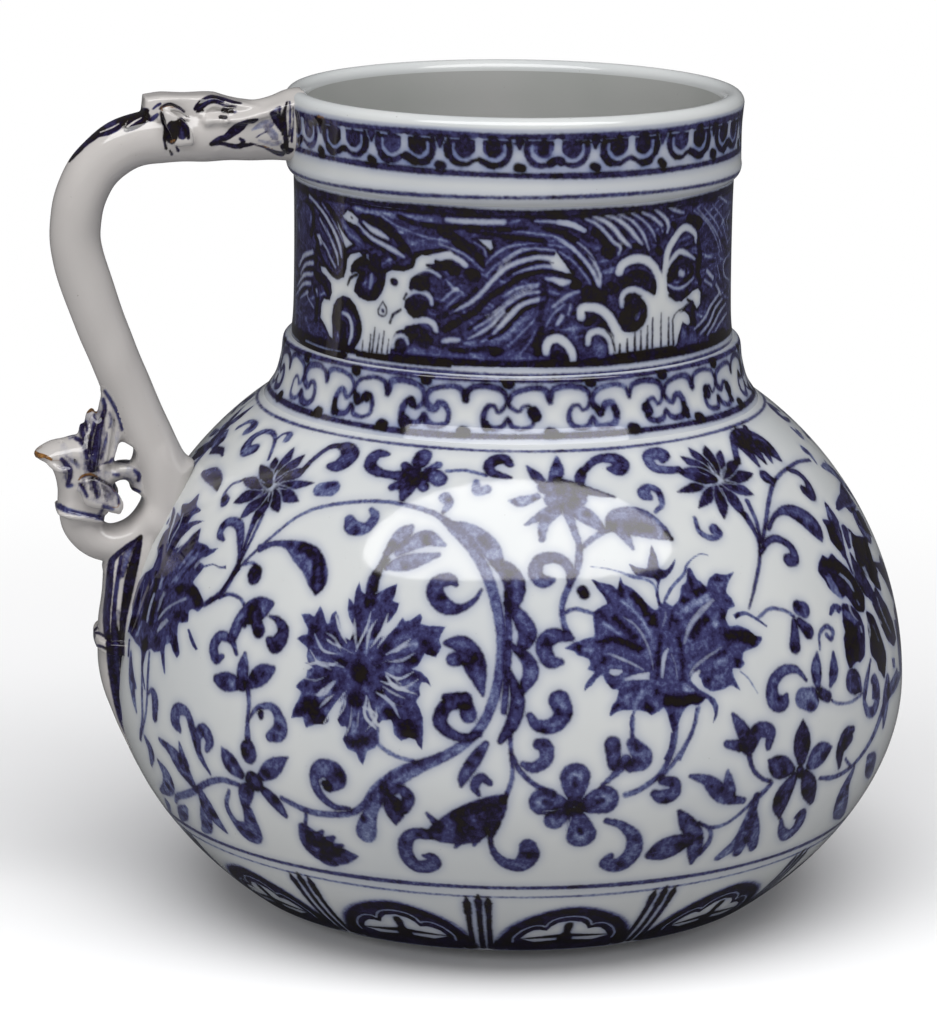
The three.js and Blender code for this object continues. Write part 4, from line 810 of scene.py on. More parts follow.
    (.6, -31.8, 61, .6, -34, 61, 1, -36, 59.4, 1.3, -36.8, 56.8, 1.6, -35.8, 55, 2.6, -34, 55.2, 3,
     -33.2, 56.4, 2.6, -34.6, 57.6, 2),
    (.9, -35.2, 57.4, 1.2, -34.8, 57.8, 1),
    (.75, -26.5, 56.2, .7, -26.4, 57.8, 1.1, -25.2, 60, 3, -25.2, 62.8, .4),
    (.7, -25.8, 57.6, .8, -24.2, 56.8, 1.4, -23.2, 58.2, 1.9, -24, 60, 1.8),
    (.5, -38.6, 62.8, .5, -39.2, 65.4, .6), (.6, -39.6, 66, 1.8, -38.4, 69, 4.6, -36.8, 71.2, 4),
    (.6, -38, 69.6, 4, -35.4, 70.5, 4, -31.9, 70.1, .5), (.6, -37, 68.6, 2.4, -34.9, 66.8, .7),
    (.6, -38.2, 68, 2.4, -36.6, 66, .6), (.6, -36, 69.4, 2.4, -33.8, 68.2, .6),
    (.65, -10.2, 57.2, 1, -12.4, 59.8, 4.6, -15.4, 62.2, 6, -18.6, 63.6, 3.6, -20.2, 63.8, 1.4),
    (.85, -10.3, 57.6, .7, -13, 58.7, 1.2, -17, 60.6, .8), (.6, -15.6, 63.6, 2.4, -17, 66.4, .4),
    (.6, -13.2, 62.8, 2.4, -14.4, 65.9, .4), (.6, -11.6, 61.6, 2, -12.2, 65.2, .4),
    (.6, -20.7, 60.4, .4, -19.2, 62.6, 1.4),
    (.4, -10.2, 57.6, .8, -9.2, 54, .6, -9.4, 50, .6, -9.7, 46, .7),
    (.65, -13.6, 57, .5, -14.2, 55.6, 1.3, -13.4, 54.2, 1.4, -12.2, 55, .9),
    (.65, -19.8, 64.2, 1.8, -22.6, 64.3, 1.9, -24, 66, 2.1, -24, 69, 2.2, -22.6, 70.9, 2.4,
     -20.5, 70.2, 2.4, -20.4, 68.7, 1.6, -21.6, 68.5, .6),
    (.7, -10.8, 60, .5, -12, 64, .6, -11.6, 67, 1, -10, 69.2, 1.8, -7.8, 69.6, 2.6, -6.7, 67.6, 3,
     -6.9, 65.8, 2.4),
    # Round flower and its neighbours, lower middle
    (.75, -6.9, 44.6, 1, -6, 46, 1.6, -3.9, 46.2, 2.2, -2.4, 44.4, 2.6, -2.9, 42.4, 3),
    (.55, -7.8, 52, .8, -6.4, 52.5, 1.6, -4.8, 51.4, 1.9, -4.8, 49.4, 2.1, -5.8, 48.9, 1.5),
    (.45, -9.4, 50.4, .7, -8.2, 53, .7, -6.2, 55.2, .7, -3.6, 56.6, .8),
    (.65, 3.8, 61.6, .9, 6, 62.6, 1.3, 8, 65, 2.2, 8.2, 68.2, 2.8, 6.6, 70.4, 2.8, 4.6, 69.8, 2.1,
     5, 68.3, 1),
    (.7, 4.3, 49.4, 2.4, 4.5, 52.4, 1.9), (.65, 7.1, 49.4, 1.8, 8.5, 51.8, 3, 6.8, 53, 1.6),
    (.55, 6.2, 52, 1.8, 4.4, 54.2, .9, 2.9, 55.6, .5), (.35, 7.2, 45.6, .6, 7, 49, .6),
    (.65, 11.3, 55.6, 1.2, 13.1, 56.2, 1.7, 13.2, 57.8, 2, 11.7, 58.3, 2.2, 10.3, 57.6, 1.2),
    (.4, 13.4, 47.6, .8, 12.8, 51, .8, 11, 54.6, .8, 8, 56.8, .8, 6.2, 57.4, .8),
    (.35, 17, 45, .5, 15.6, 49, .6, 13, 53, .6, 11.2, 55, .5),
    (.6, 15.6, 55.4, .6, 18, 56.4, 1.6, 19.8, 58.2, 2.6, 21.4, 60, 1.8, 24.6, 61, 1),
    (.6, 21.4, 55.6, .6, 21.8, 58.4, 2.2, 22.6, 60.4, 1.2),
    (.7, 22.4, 46.8, .6, 23.6, 49, 2, 24.8, 51.4, 2.6),
    (.75, 28.3, 52.8, 1.2, 28.6, 50.6, 2.1, 26.6, 50, 2.4, 24.8, 52, 2.8),
    (.6, 21.2, 51.2, 1.1, 23.4, 51.8, 1.9),
    (.6, 24.8, 53, 1, 25.6, 55.8, .7, 27.4, 57.8, .6, 29, 58.6, .6),
    (.75, 14.2, 61, .5, 15.8, 63.4, 2.4, 17.4, 66, 2.8, 18.2, 69, 2.4, 18.5, 72, .6),
    (.65, 11.1, 68.9, 1.6, 13.4, 67.9, 4.2, 16, 67, 2.8),
    (.5, 17, 63.4, .5, 19.7, 65.2, .6, 20.3, 67.6, .8, 19.2, 70, 1.2),
    (.35, 17.6, 63.6, .5, 20, 65, .6, 22.6, 64.6, .6, 25, 62.8, .6, 27, 60.6, .7),
    (.5, 26.9, 60.6, 1.2, 26.4, 65, 2, 25.7, 69, 2.4, 23.2, 71.7, 1.4),
    (.55, 27, 63.6, 1.2, 28, 67.6, 2.5, 29.5, 71.2, 1.5), (.5, 26.6, 67.6, 2.4, 26.6, 71.4, 1.8),
    (.4, 29.3, 59, .7, 28, 60.2, .9, 26.8, 61.4, .8),
    # Under the highlight: small flower, big brownish leaf and hooks; the petals' and the leaf's pale tones
    # are partly their own thin wash and partly painted highlight
    (.7, -6.6, 4.3, .3, -4.8, 6.4, 1.6, -3.6, 7.6, .8), (.7, -.3, 2.6, .4, -.7, 5.4, 2, -1.8, 7.4, 1.4),
    (.85, -.6, 7.2, 1.2, 3, 8.6, 1.6, 6, 9.6, 1.1, 9.4, 10.6, .3),
    (.7, 3.2, 8.2, 1.4, 3.9, 6.2, 1.5, 5.3, 4.5, .4),
    (.75, 4.6, 5.6, 1, 6.4, 4.2, 1.1, 8.6, 3.3, 1.4, 11.4, 3.4, 2, 12.8, 4.4, 2.6, 11.9, 5.6, 2.2,
     10, 5.4, .8),
    (.4, -10, 10.8, .3, -8, 10.9, 1.6, -5, 10, 1), (.4, -3.4, 8.4, 2.2, -1.4, 8.6, 2.6),
    (.4, 1.2, 9, 2.2, 3.4, 9.6, 1.8), (.4, -1, 11.6, 1.4, -4, 13.2, 1.5, -7.2, 14.9, .4),
    (.4, -1.4, 12.4, 1.4, -4, 14.6, 1.5, -4.6, 17.4, .9), (.4, 0, 11, 2, .6, 14.6, 1.2, 1.6, 18.6, .8),
    (.45, .4, 12, 1.8, 3.6, 13.8, 2.4, 6, 16.2, .8), (.4, -2, 10.6, 2.8, 2.6, 10.6, 2.4),
    (.45, 1.5, 19, 1, .8, 22, 1, -.8, 25, .9, -2, 28, .8, -1.9, 31, .8, -1, 33, 1),
    (.4, 1.7, 19, .6, 4, 17.4, .8, 6, 16.4, .8, 7.4, 16, .9),
    (.55, 6.8, 16.2, .6, 9, 14.8, 3.6, 12.4, 15.2, 4.6, 15.4, 16.8, 3, 17.5, 18.4, .6),
    (.5, 9, 16, 2.4, 10.4, 19.6, .4), (.9, 17, 17.8, .6, 17.5, 18.5, .8),
    (.55, 16.2, 13.8, .5, 18, 12.6, .8, 18.3, 10.4, 1.1, 16.8, 9.4, 1.2, 15.2, 10.4, 1.9,
     16, 11.1, 1.2),
    (.6, 25, 6.8, 1.1, 22, 6.6, 1.4, 19.6, 5.8, 1.6, 19.4, 4, 1.8, 21.2, 3.3, 2.2, 23.2, 3.6, 2.2,
     22.2, 4.7, 1.1),
    (.6, -.6, 24.5, .8, -.6, 22, 1.4, -2.4, 20.5, 1.6, -5, 20.8, 1.8, -5.9, 22.8, 2, -4.8, 24.2, 1.9,
     -3.2, 24, .8),
    (.9, 1.2, 25.8, 1.6, 1.4, 26.3, 1.6), (.35, -2, 29.2, .5, 0, 28.6, .5, 2.6, 29.4, .5),
    (.75, -1, 33, .9, -3.4, 32.6, 2.2, -4.9, 34, 2.4, -4.2, 36.4, 2, -2.6, 36.6, 1),
    (.5, 23.4, 15.6, .5, 23.3, 18, .8, 25.2, 19.3, .9, 27, 18.8, 1.1, 26.4, 18, 1.8),
    # Stems, leaf and curls, upper right
    (.6, 34.2, 16.6, 1.2, 34.6, 20.6, .7, 33.4, 23.6, .6, 31, 27, .6, 28, 31.2, .3),
    (.55, 36.4, 14.5, .9, 36, 18, .7, 34.8, 21.4, .7),
    (.6, 35, 21.6, .6, 38, 18.6, .7, 41.4, 15.6, .7, 45.6, 13, .7, 50, 11.8, .6, 54, 11.4, .6,
     60, 11.4, .6, 66, 12.4, .6),
    (.8, 40.5, 7.5, 1.2, 43, 4.8, 1.2, 46, 3.6, 2.6, 49.6, 4.4, 4.6, 52.8, 6.4, 3.8, 53.8, 9.6, .8),
    (.85, 46, 5, 3, 45.5, 9.2, .6), (.85, 48.4, 6, 2.8, 48.2, 9.2, .5),
    (.8, 51.6, 6.6, 2.6, 50.4, 9.4, .5), (.8, 47, 3.4, 1.6, 48.8, 1.7, .5),
    (.8, 50, 3.6, 1.6, 52.6, 2.1, .9), (.9, 45.2, 11.4, 2.4, 46, 12.2, 1.8),
    (.85, 54, 11.8, .8, 56.4, 13, 1.2, 57, 15, 1.6, 55.4, 16.8, 2.4, 54, 15.8, 1.8),
    (.85, 38, 19.6, .8, 41, 18, .8, 44.4, 17.6, 1.6, 47.5, 19, 3, 50, 21.6, 3.6, 50.2, 24, .7),
    (.75, 34, 23, .8, 36.4, 21.6, 1.1, 39, 21.6, 1.2, 41.2, 23.4, 1.4, 40.9, 25.3, 1.9, 39.3, 25.3, 2),
    (.35, 29, 33, .4, 32, 31.9, .5, 35, 32.8, .5, 36.4, 34, .5), (.6, 37.8, 32.8, 2.2, 39, 33.4, 2.4),
    (.7, 36.2, 34.8, 1.2, 35.2, 38.4, 2.3), (.75, 37.2, 35, 1.4, 38.7, 36.8, 2.3),
    (.45, 40.4, 40, .4, 41, 37.8, .6, 43, 36.9, .7, 44.4, 38, .8, 43.5, 39, .7, 42.6, 38.2, .7),
    (.7, 39.6, 40.4, .5, 38.8, 43, 2.4, 38.7, 45.8, 1),
    (.65, 43.4, 41.2, .6, 42.8, 44, 2.2, 41.6, 46, .7), (.5, 35.2, 46.6, 3, 37, 47.2, 3.6),
    (.65, 39.4, 46.8, 1.8, 40.8, 47.6, 1.7),
    (.7, 36.4, 44, .5, 34.6, 42, 1.1, 32, 41.7, 1.6, 29.8, 43.2, 2, 29.6, 45.8, 2.5, 31.2, 46.6, 2.3,
     32.1, 45.6, .8),
    (.75, 49.6, 48.8, .7, 49, 46.4, 1.2, 47.2, 45.6, 1.8, 46.6, 47, 2.2, 48, 48, 2),
    (.35, 40.8, 47.8, .4, 43, 49.2, .4, 46.4, 49.8, .4, 50, 49.4, .4),
    # Pointed star flower, stem and leaves, lower right
    (.85, 35, 50, .3, 34.8, 53.4, 3.6, 34.8, 56.2, 2),
    (.8, 28.4, 55.1, .4, 30.6, 56.6, 3.5, 33, 57.6, 1.4),
    (.7, 41.4, 55.9, .4, 38.6, 56.4, 3.7, 36.6, 57.6, 1.5),
    (.9, 32.6, 66, .5, 32, 62.2, 3.6, 33.6, 58.9, 1.6),
    (.9, 39.1, 64.6, 1.3, 37.4, 61.6, 3.2, 35.8, 58.9, 1.6), (.9, 34.6, 58, 1.6, 34.9, 58.6, 1.6),
    (.7, 33, 66.2, .5, 34.4, 69, 1.5, 36.6, 70.6, 2.2, 38, 69, 2.4, 37.6, 66.7, 2, 36.5, 66.9, .8),
    (.5, 39.6, 60.6, .6, 43, 61.4, .8, 47, 61.2, .8, 50.6, 59.8, .9, 54, 57.4, 1.2, 57, 54.4, 1.4,
     60, 52, 1.6, 66, 50.8, 1.8),
    (.8, 47, 54.4, 1, 45, 54.8, 2.2, 43.8, 57, 2.3, 44.2, 60, .7),
    (.8, 44.8, 56.6, 1.6, 46.3, 55.7, 1.5), (.4, 45.6, 59, .5, 47.4, 60.6, .5),
    (.55, 53.8, 45, .5, 51.4, 47.4, .5, 50.4, 50.4, .9, 51.6, 52.8, 1.5, 54, 53, 1.9, 55.3, 50.8, 2,
     54.4, 48.4, 1.9, 53.4, 48.3, .9),
    (.6, 60, 50, 2, 58.8, 53, 3.2, 58.2, 57, 1), (.5, 53.4, 60.8, .8, 56, 63, 3.6, 58.8, 65.8, 1.6),
    (.6, 49, 61.4, .7, 48, 65.4, 3, 50.2, 69.4, 3.6, 54, 72.4, 1.2),
]


def aster(band, a, s, tips, tone):
    """A small spiky flower: petals from its heart to the tips, with thin blank lines between."""
    place = local(band, a, s)
    for x, y, w in tips:
        points = [(x * .1, y * .1), (x * .55 + rng.normal(0, .2), y * .55), (x, y)]
        petal(band, place, points, w * 1.15, tone * rng.uniform(.8, 1.1), .5, .45)
    for k, (x, y, w) in enumerate(tips):
        x2, y2, _ = tips[(k + 1) % len(tips)]
        if k % 2 == 0:
            vein(band, place, [((x + x2) * .12, (y + y2) * .12), ((x + x2) * .24, (y + y2) * .25)], .5,
                .7)
        band.stroke(place([(x * .42, y * .42), (x * .46, y * .46)]), w * .6, .7, "deepen", .8)
    band.stroke(place([(-.4, 0), (.4, .2)]), 1.6, .9, "deepen", .9)


def round_flower(band, a, s, petals):
    """Round petals with a dark edge and a pale heart."""
    place = local(band, a, s)
    for x, y, w in petals:
        band.stroke(place([(x * .3, y * .3), (x * .85, y * .85), (x, y)]), [w * .6, w * .9, w], .5)
        band.stroke(place([(x * .9, y * .9), (x, y)]), [w * .3, w * .42], .6, "pale", .8)
        band.stroke(place([(x * .8, y * .8), (x * .95, y * .95)]), w * .2, .7, "deepen", .5)
    for k, (x, y, _) in enumerate(petals):
        x2, y2, _ = petals[(k + 1) % len(petals)]
        d = np.array([x + x2, y + y2]) * .5
        vein(band, place, [d * .5, d * 1.25], .45, .75)
    band.stroke(place([(-.5, 0), (.5, 0)]), 2.6, .85, "deepen", 1.0)


# Angle and distance of the small flowers, and the tips of their petals with their widths
ASTERS = [
    (-58, 13.2, [(-3.4, 5, 2.4), (-1.1, 7.6, 2.2), (2.2, 6.8, 2.4), (4.6, 4.6, 2.4), (7.8, 2.4, 1.6),
     (7.2, -1.2, 2.2), (4.6, -3.6, 2.2), (.8, -6.2, 2.4), (-2.6, -6.2, 2.4), (-6.2, -4.2, 2.4),
     (-7.6, -.2, 2), (-5.6, 3, 2.2)]),
    (32.4, 9.8, [(-8.6, -1, 1.7), (-6.4, -4.2, 2), (-2.8, -6.6, 2.2), (1.4, -7.2, 2.2),
     (5.6, -3.8, 2.2), (8.2, -.4, 2.2), (7.4, 2.6, 2), (4.5, 5, 2), (2, 6.4, 2.4), (-1.4, 6.6, 2.2),
     (-4, 5.2, 2.2), (-6.4, 2.6, 2.8)]),
]
ROUND_FLOWER = (-.7, 59, [(-.1, 4.7, 4.8), (4.4, 1, 4.8), (1.2, -4.8, 4.8), (-3, -2, 3.4),
        (-4.9, 1, 4.4)])
RAGGED_AT, SPIKY_AT = -31, 13.7


def turns(low, middle):
    """The turns at which something drawn at an angle comes again, so that the scroll goes on behind."""
    return [0] + [t for t in (90, 180, 270) if 68 < low + t and middle + t < 273]


def draw_belly():
    ragged_bloom(belly, RAGGED_AT, 39.5)
    as_seen(belly, LEFT_BLOOM, 108, 470, 7.13)
    as_seen(belly, RIGHT_BLOOM, 800, 430, 5.81)
    as_seen(belly, MIDDLE_BLOOM, 560, 540, 7.126)
    as_seen(belly, HANGING_LEAF, 60, 330, 3.647)
    for a, s, tips in ASTERS:
        for t in turns(a, a):
            aster(belly, a + t, s, tips, .75)
    a, s, petals = ROUND_FLOWER
    for t in turns(a, a):
        round_flower(belly, a + t, s, petals)
    for row in SCROLL:
        angles = row[1::3]
        for t in turns(min(angles), np.mean(angles)):
            brushed(belly, row, t + (rng.normal(0, .25) if t else 0), rng.normal(0, .15) if t else 0)
    spiky_bloom(belly, SPIKY_AT + 90, 36.3, rng.normal(0, 3), .98, -1)
    ragged_bloom(belly, RAGGED_AT + 183, 39 + rng.normal(0, .5), rng.normal(0, 4), .98)
    spiky_bloom(belly, SPIKY_AT + 180, 36.3, rng.normal(0, 3), .98)
    ragged_bloom(belly, RAGGED_AT + 270, 39, 3, .97, -1)
    for s, width, tone in ((1.3, .55, .45), (75, .9, .5), (77.2, .5, .18)):
        ring(belly, s, width, tone)


# The panels under the scroll: degrees from their middle, and distance down the belly
PANELS, FIRST_PANEL = 12, -28.8
DOME = [
    (-10.9, 93), (-10.6, 90.2), (-9.4, 87.2), (-7.2, 84.6), (-4.4, 82.8), (-1.8, 81.8), (0, 81.5),
    (2, 81.8), (4.6, 82.9), (7.4, 84.8), (9.5, 87.4), (10.7, 90.2), (10.9, 93),
]
DOME_FOOT = [(11.2, 95.2), (-11.2, 95.2)]
LOBES = [
    (-9.6, 92), (-9.5, 90), (-8.2, 87.6), (-6.4, 86), (-4.8, 85.8), (-4.1, 86.2), (-3.5, 84.8),
    (-2.2, 83.6), (0, 83.1), (2.2, 83.6), (3.5, 84.8), (4.1, 86.2), (4.8, 85.8), (6.4, 86), (8.2, 87.6),
    (9.5, 90), (9.6, 92),
]
HEART = [
    (-8.4, 90.6), (-7.2, 88.6), (-6, 87.5), (-4.9, 87.2), (-3.7, 87.6), (-3.1, 86.2), (-2, 85),
    (0, 84.5), (2, 85), (3.1, 86.2), (3.7, 87.6), (4.9, 87.2), (6, 87.5), (7.2, 88.6), (8.4, 90.6),
    (5, 92.2), (0, 92.4), (-5, 92.2),
]


def panel(a0, thick):
    def at(points, dy=0, wide=1):
        return [(a0 + x * wide, y + dy) for x, y in points]

    for side in (-1, 1):
        belly.stroke(at([(12, 94.2), (11.6, 92), (10, 89)], 0, side), [3, 2.6, 1.2], .8, "ink", 1.6)
    belly.stroke(spline(at(DOME, .3)), 3.2, .4, "ink", 1.8)
    belly.fill(at(DOME + DOME_FOOT, .6, .96), .85, "wash", .8)
    belly.stroke(spline(at(DOME)), 1.1, .9)
    belly.stroke(spline(at(LOBES)), .45, .8, "lift", .5)
    belly.fill([(x, y + rng.normal(0, .08)) for x, y in at(HEART)], .95, "lift", .4)
    belly.stroke(at([(0, 85.6), (0, 86.4), (0, 88.4), (0, 90), (0, 92)]), [1.3, 1.5, 1.2, 2.6, 2.4], .95)
    arms = at([(-8.6, 90.6), (-4, 90.1), (0, 89.6), (4, 90), (8.6, 90.4)])
    belly.stroke(arms, [.3, 1.0, 1.5, .9, .3], .95)
    belly.stroke(at([(-5, 92.3), (0, 91.8), (5, 92.3)]), [.9, 1.4, .9], .95)
    # Three uprights between this panel and the next
    for j, (da, top) in enumerate([(-1.75, 77.6), (0, 76.8), (1.7, 77.4)]):
        x = a0 + 14.6 + da + rng.normal(0, .06)
        upright = [(x, top), (x, top + 1.6), (x + .05, top + 4), (x, 86), (x, 94.8)]
        belly.stroke(upright, [.4, 1.4, 1.0, .9, 1.0], .92)
        if j == thick:
            belly.stroke([(x, 80), (x, 82)], 1.3, .9)


def draw_panels():
    for k in range(PANELS):
        panel(FIRST_PANEL + 360 / PANELS * k, k % 3)


# Collar: one continuous outline that curls into pairs of volutes, with dots on both lines
VOLUTES, FIRST_VOLUTE, LEDGE = 18, 19.3, 1.15
VOLUTE = [
    (0, 3.1), (1, 1.4), (4.6, .8), (8.6, 1.6), (9.8, 3.2), (9.2, 4.6), (7.9, 5.2), (7, 4.2), (5.6, 4.3),
    (4.6, 5.6), (4.9, 7.3), (6.8, 8), (8.8, 7.7), (9.9, 6.5),
]


def volute(c, side):
    grow = .97 if side > 0 else .86
    line = []
    for x, y in VOLUTE:
        swell = 1 - (1 - grow) * math.sin(math.pi * x / 9.9) ** 2
        drop = .25 if side < 0 and y < 4 else 0
        line.append((c + side * x * swell, LEDGE + .5 + y * .92 + drop + rng.normal(0, .07)))
    p = spline(line, 6)
    pressed = np.sin(np.linspace(0, rng.uniform(5, 12), len(p)) + rng.uniform(0, 6))
    w = .77 + .22 * pressed + rng.uniform(-.05, .35)
    collar.stroke(p, w, rng.uniform(.4, .62), "ink", .9)
    for _ in range(rng.integers(0, 3)):
        q = p[rng.integers(20, len(p) - 10)]
        collar.stroke([q, q + (.5, .6)], rng.uniform(1, 2.1), .8)


def draw_collar():
    spacing = 360 / VOLUTES
    for k in range(VOLUTES):
        c = FIRST_VOLUTE + spacing * k
        volute(c, -1)
        volute(c, 1)
        for x, y, w in ((c, 9.8, 2.0), (c + spacing / 2, 2, 1.7)):
            collar.stroke([(x - .3, y), (x + .3, y + .1)], w, .95)
    ring(collar, 10.35, 1.0, .72)
    ring(collar, 1.5, .85, .6)


# Rim band: pairs of lobes that hang from a line, with a dot between the pairs
LOBE_PAIRS, FIRST_PAIR = 19, .6


def lobe_pair(c):
    j = rng.normal(0, .15, 6)
    edge = spline([(c - 7.5, 1.6), (c - 7.7 + j[0], 3.4), (c - 6 + j[1], 5.2),
            (c - 3.2, 5.55 + j[2] / 2), (c - .2 + j[3], 4.7), (c + 3.2, 5.55 + j[4] / 2),
            (c + 6 + j[5], 5.2), (c + 7.6, 3.4), (c + 7.4, 1.6)])
    rim.fill(edge, rng.uniform(.12, .5), "wash", .6)
    for side in (-1, 1):
        hook = [(.1, 1.9), (.3, 3.4), (1.8, 4.45), (4.2, 4.6), (6, 3.7), (6.2, 2.4)]
        curl = [(2.2, 2.2), (2.4, 3.2), (3.8, 3.8), (4.9, 3.0), (4.4, 2.2)]
        blank = spline([(c + side * x, y) for x, y in hook])
        rim.stroke(blank, np.repeat([.9, .7, .4], [20, 20, 11]), 1, "lift", .7)
        inked = spline([(c + side * x, y) for x, y in curl])
        rim.stroke(inked, rng.uniform(.9, 1.6), rng.uniform(.4, .95), "wash", .8)
        touch = [(c + side * 3.4, 1.9), (c + side * (3.6 + j[0]), 3.2)]
        rim.stroke(touch, rng.uniform(1, 2.4), rng.uniform(.5, .95), "wash", .9)
    rim.stroke(edge, rng.uniform(.65, .95), rng.uniform(.6, .85))
    for _ in range(3):
        n = int(rng.integers(5, len(edge) - 14))
        rim.stroke(edge[n:n + 9], rng.uniform(1, 1.5), .9, "wash", .7)
    d = c + 180 / LOBE_PAIRS + rng.normal(0, .3)
    rim.stroke([(d, 1.7), (d - .1, 2.8)], [1.6, .6], rng.uniform(.6, .95), "wash", .7)
    rim.stroke([(d - .4, 5.75), (d + .5, 5.8 + rng.uniform(0, .5))], rng.uniform(1.3, 1.9), .96)


def draw_rim():
    ring(rim, .95, 1.0, .6)
    ring(rim, 1.95, .35, .75)
    for k in range(LOBE_PAIRS):
        lobe_pair(FIRST_PAIR + 360 / LOBE_PAIRS * k)
    ring(rim, 6.9, .95, .68, .25, 2)
    ring(rim, 10.6, .6, .5, .3, 2)
    # Two chips with a brown edge
    for a in (-65.4, 73.6):
        rim.stroke([(a - 2.4, 1.5), (a - .4, .9), (a + 1.6, .8)], [.6, 1.3, .5], .95)
        rim.stroke([(a - 1, .5), (a + 1.6, .45)], .55, .8, "ochre", .8)


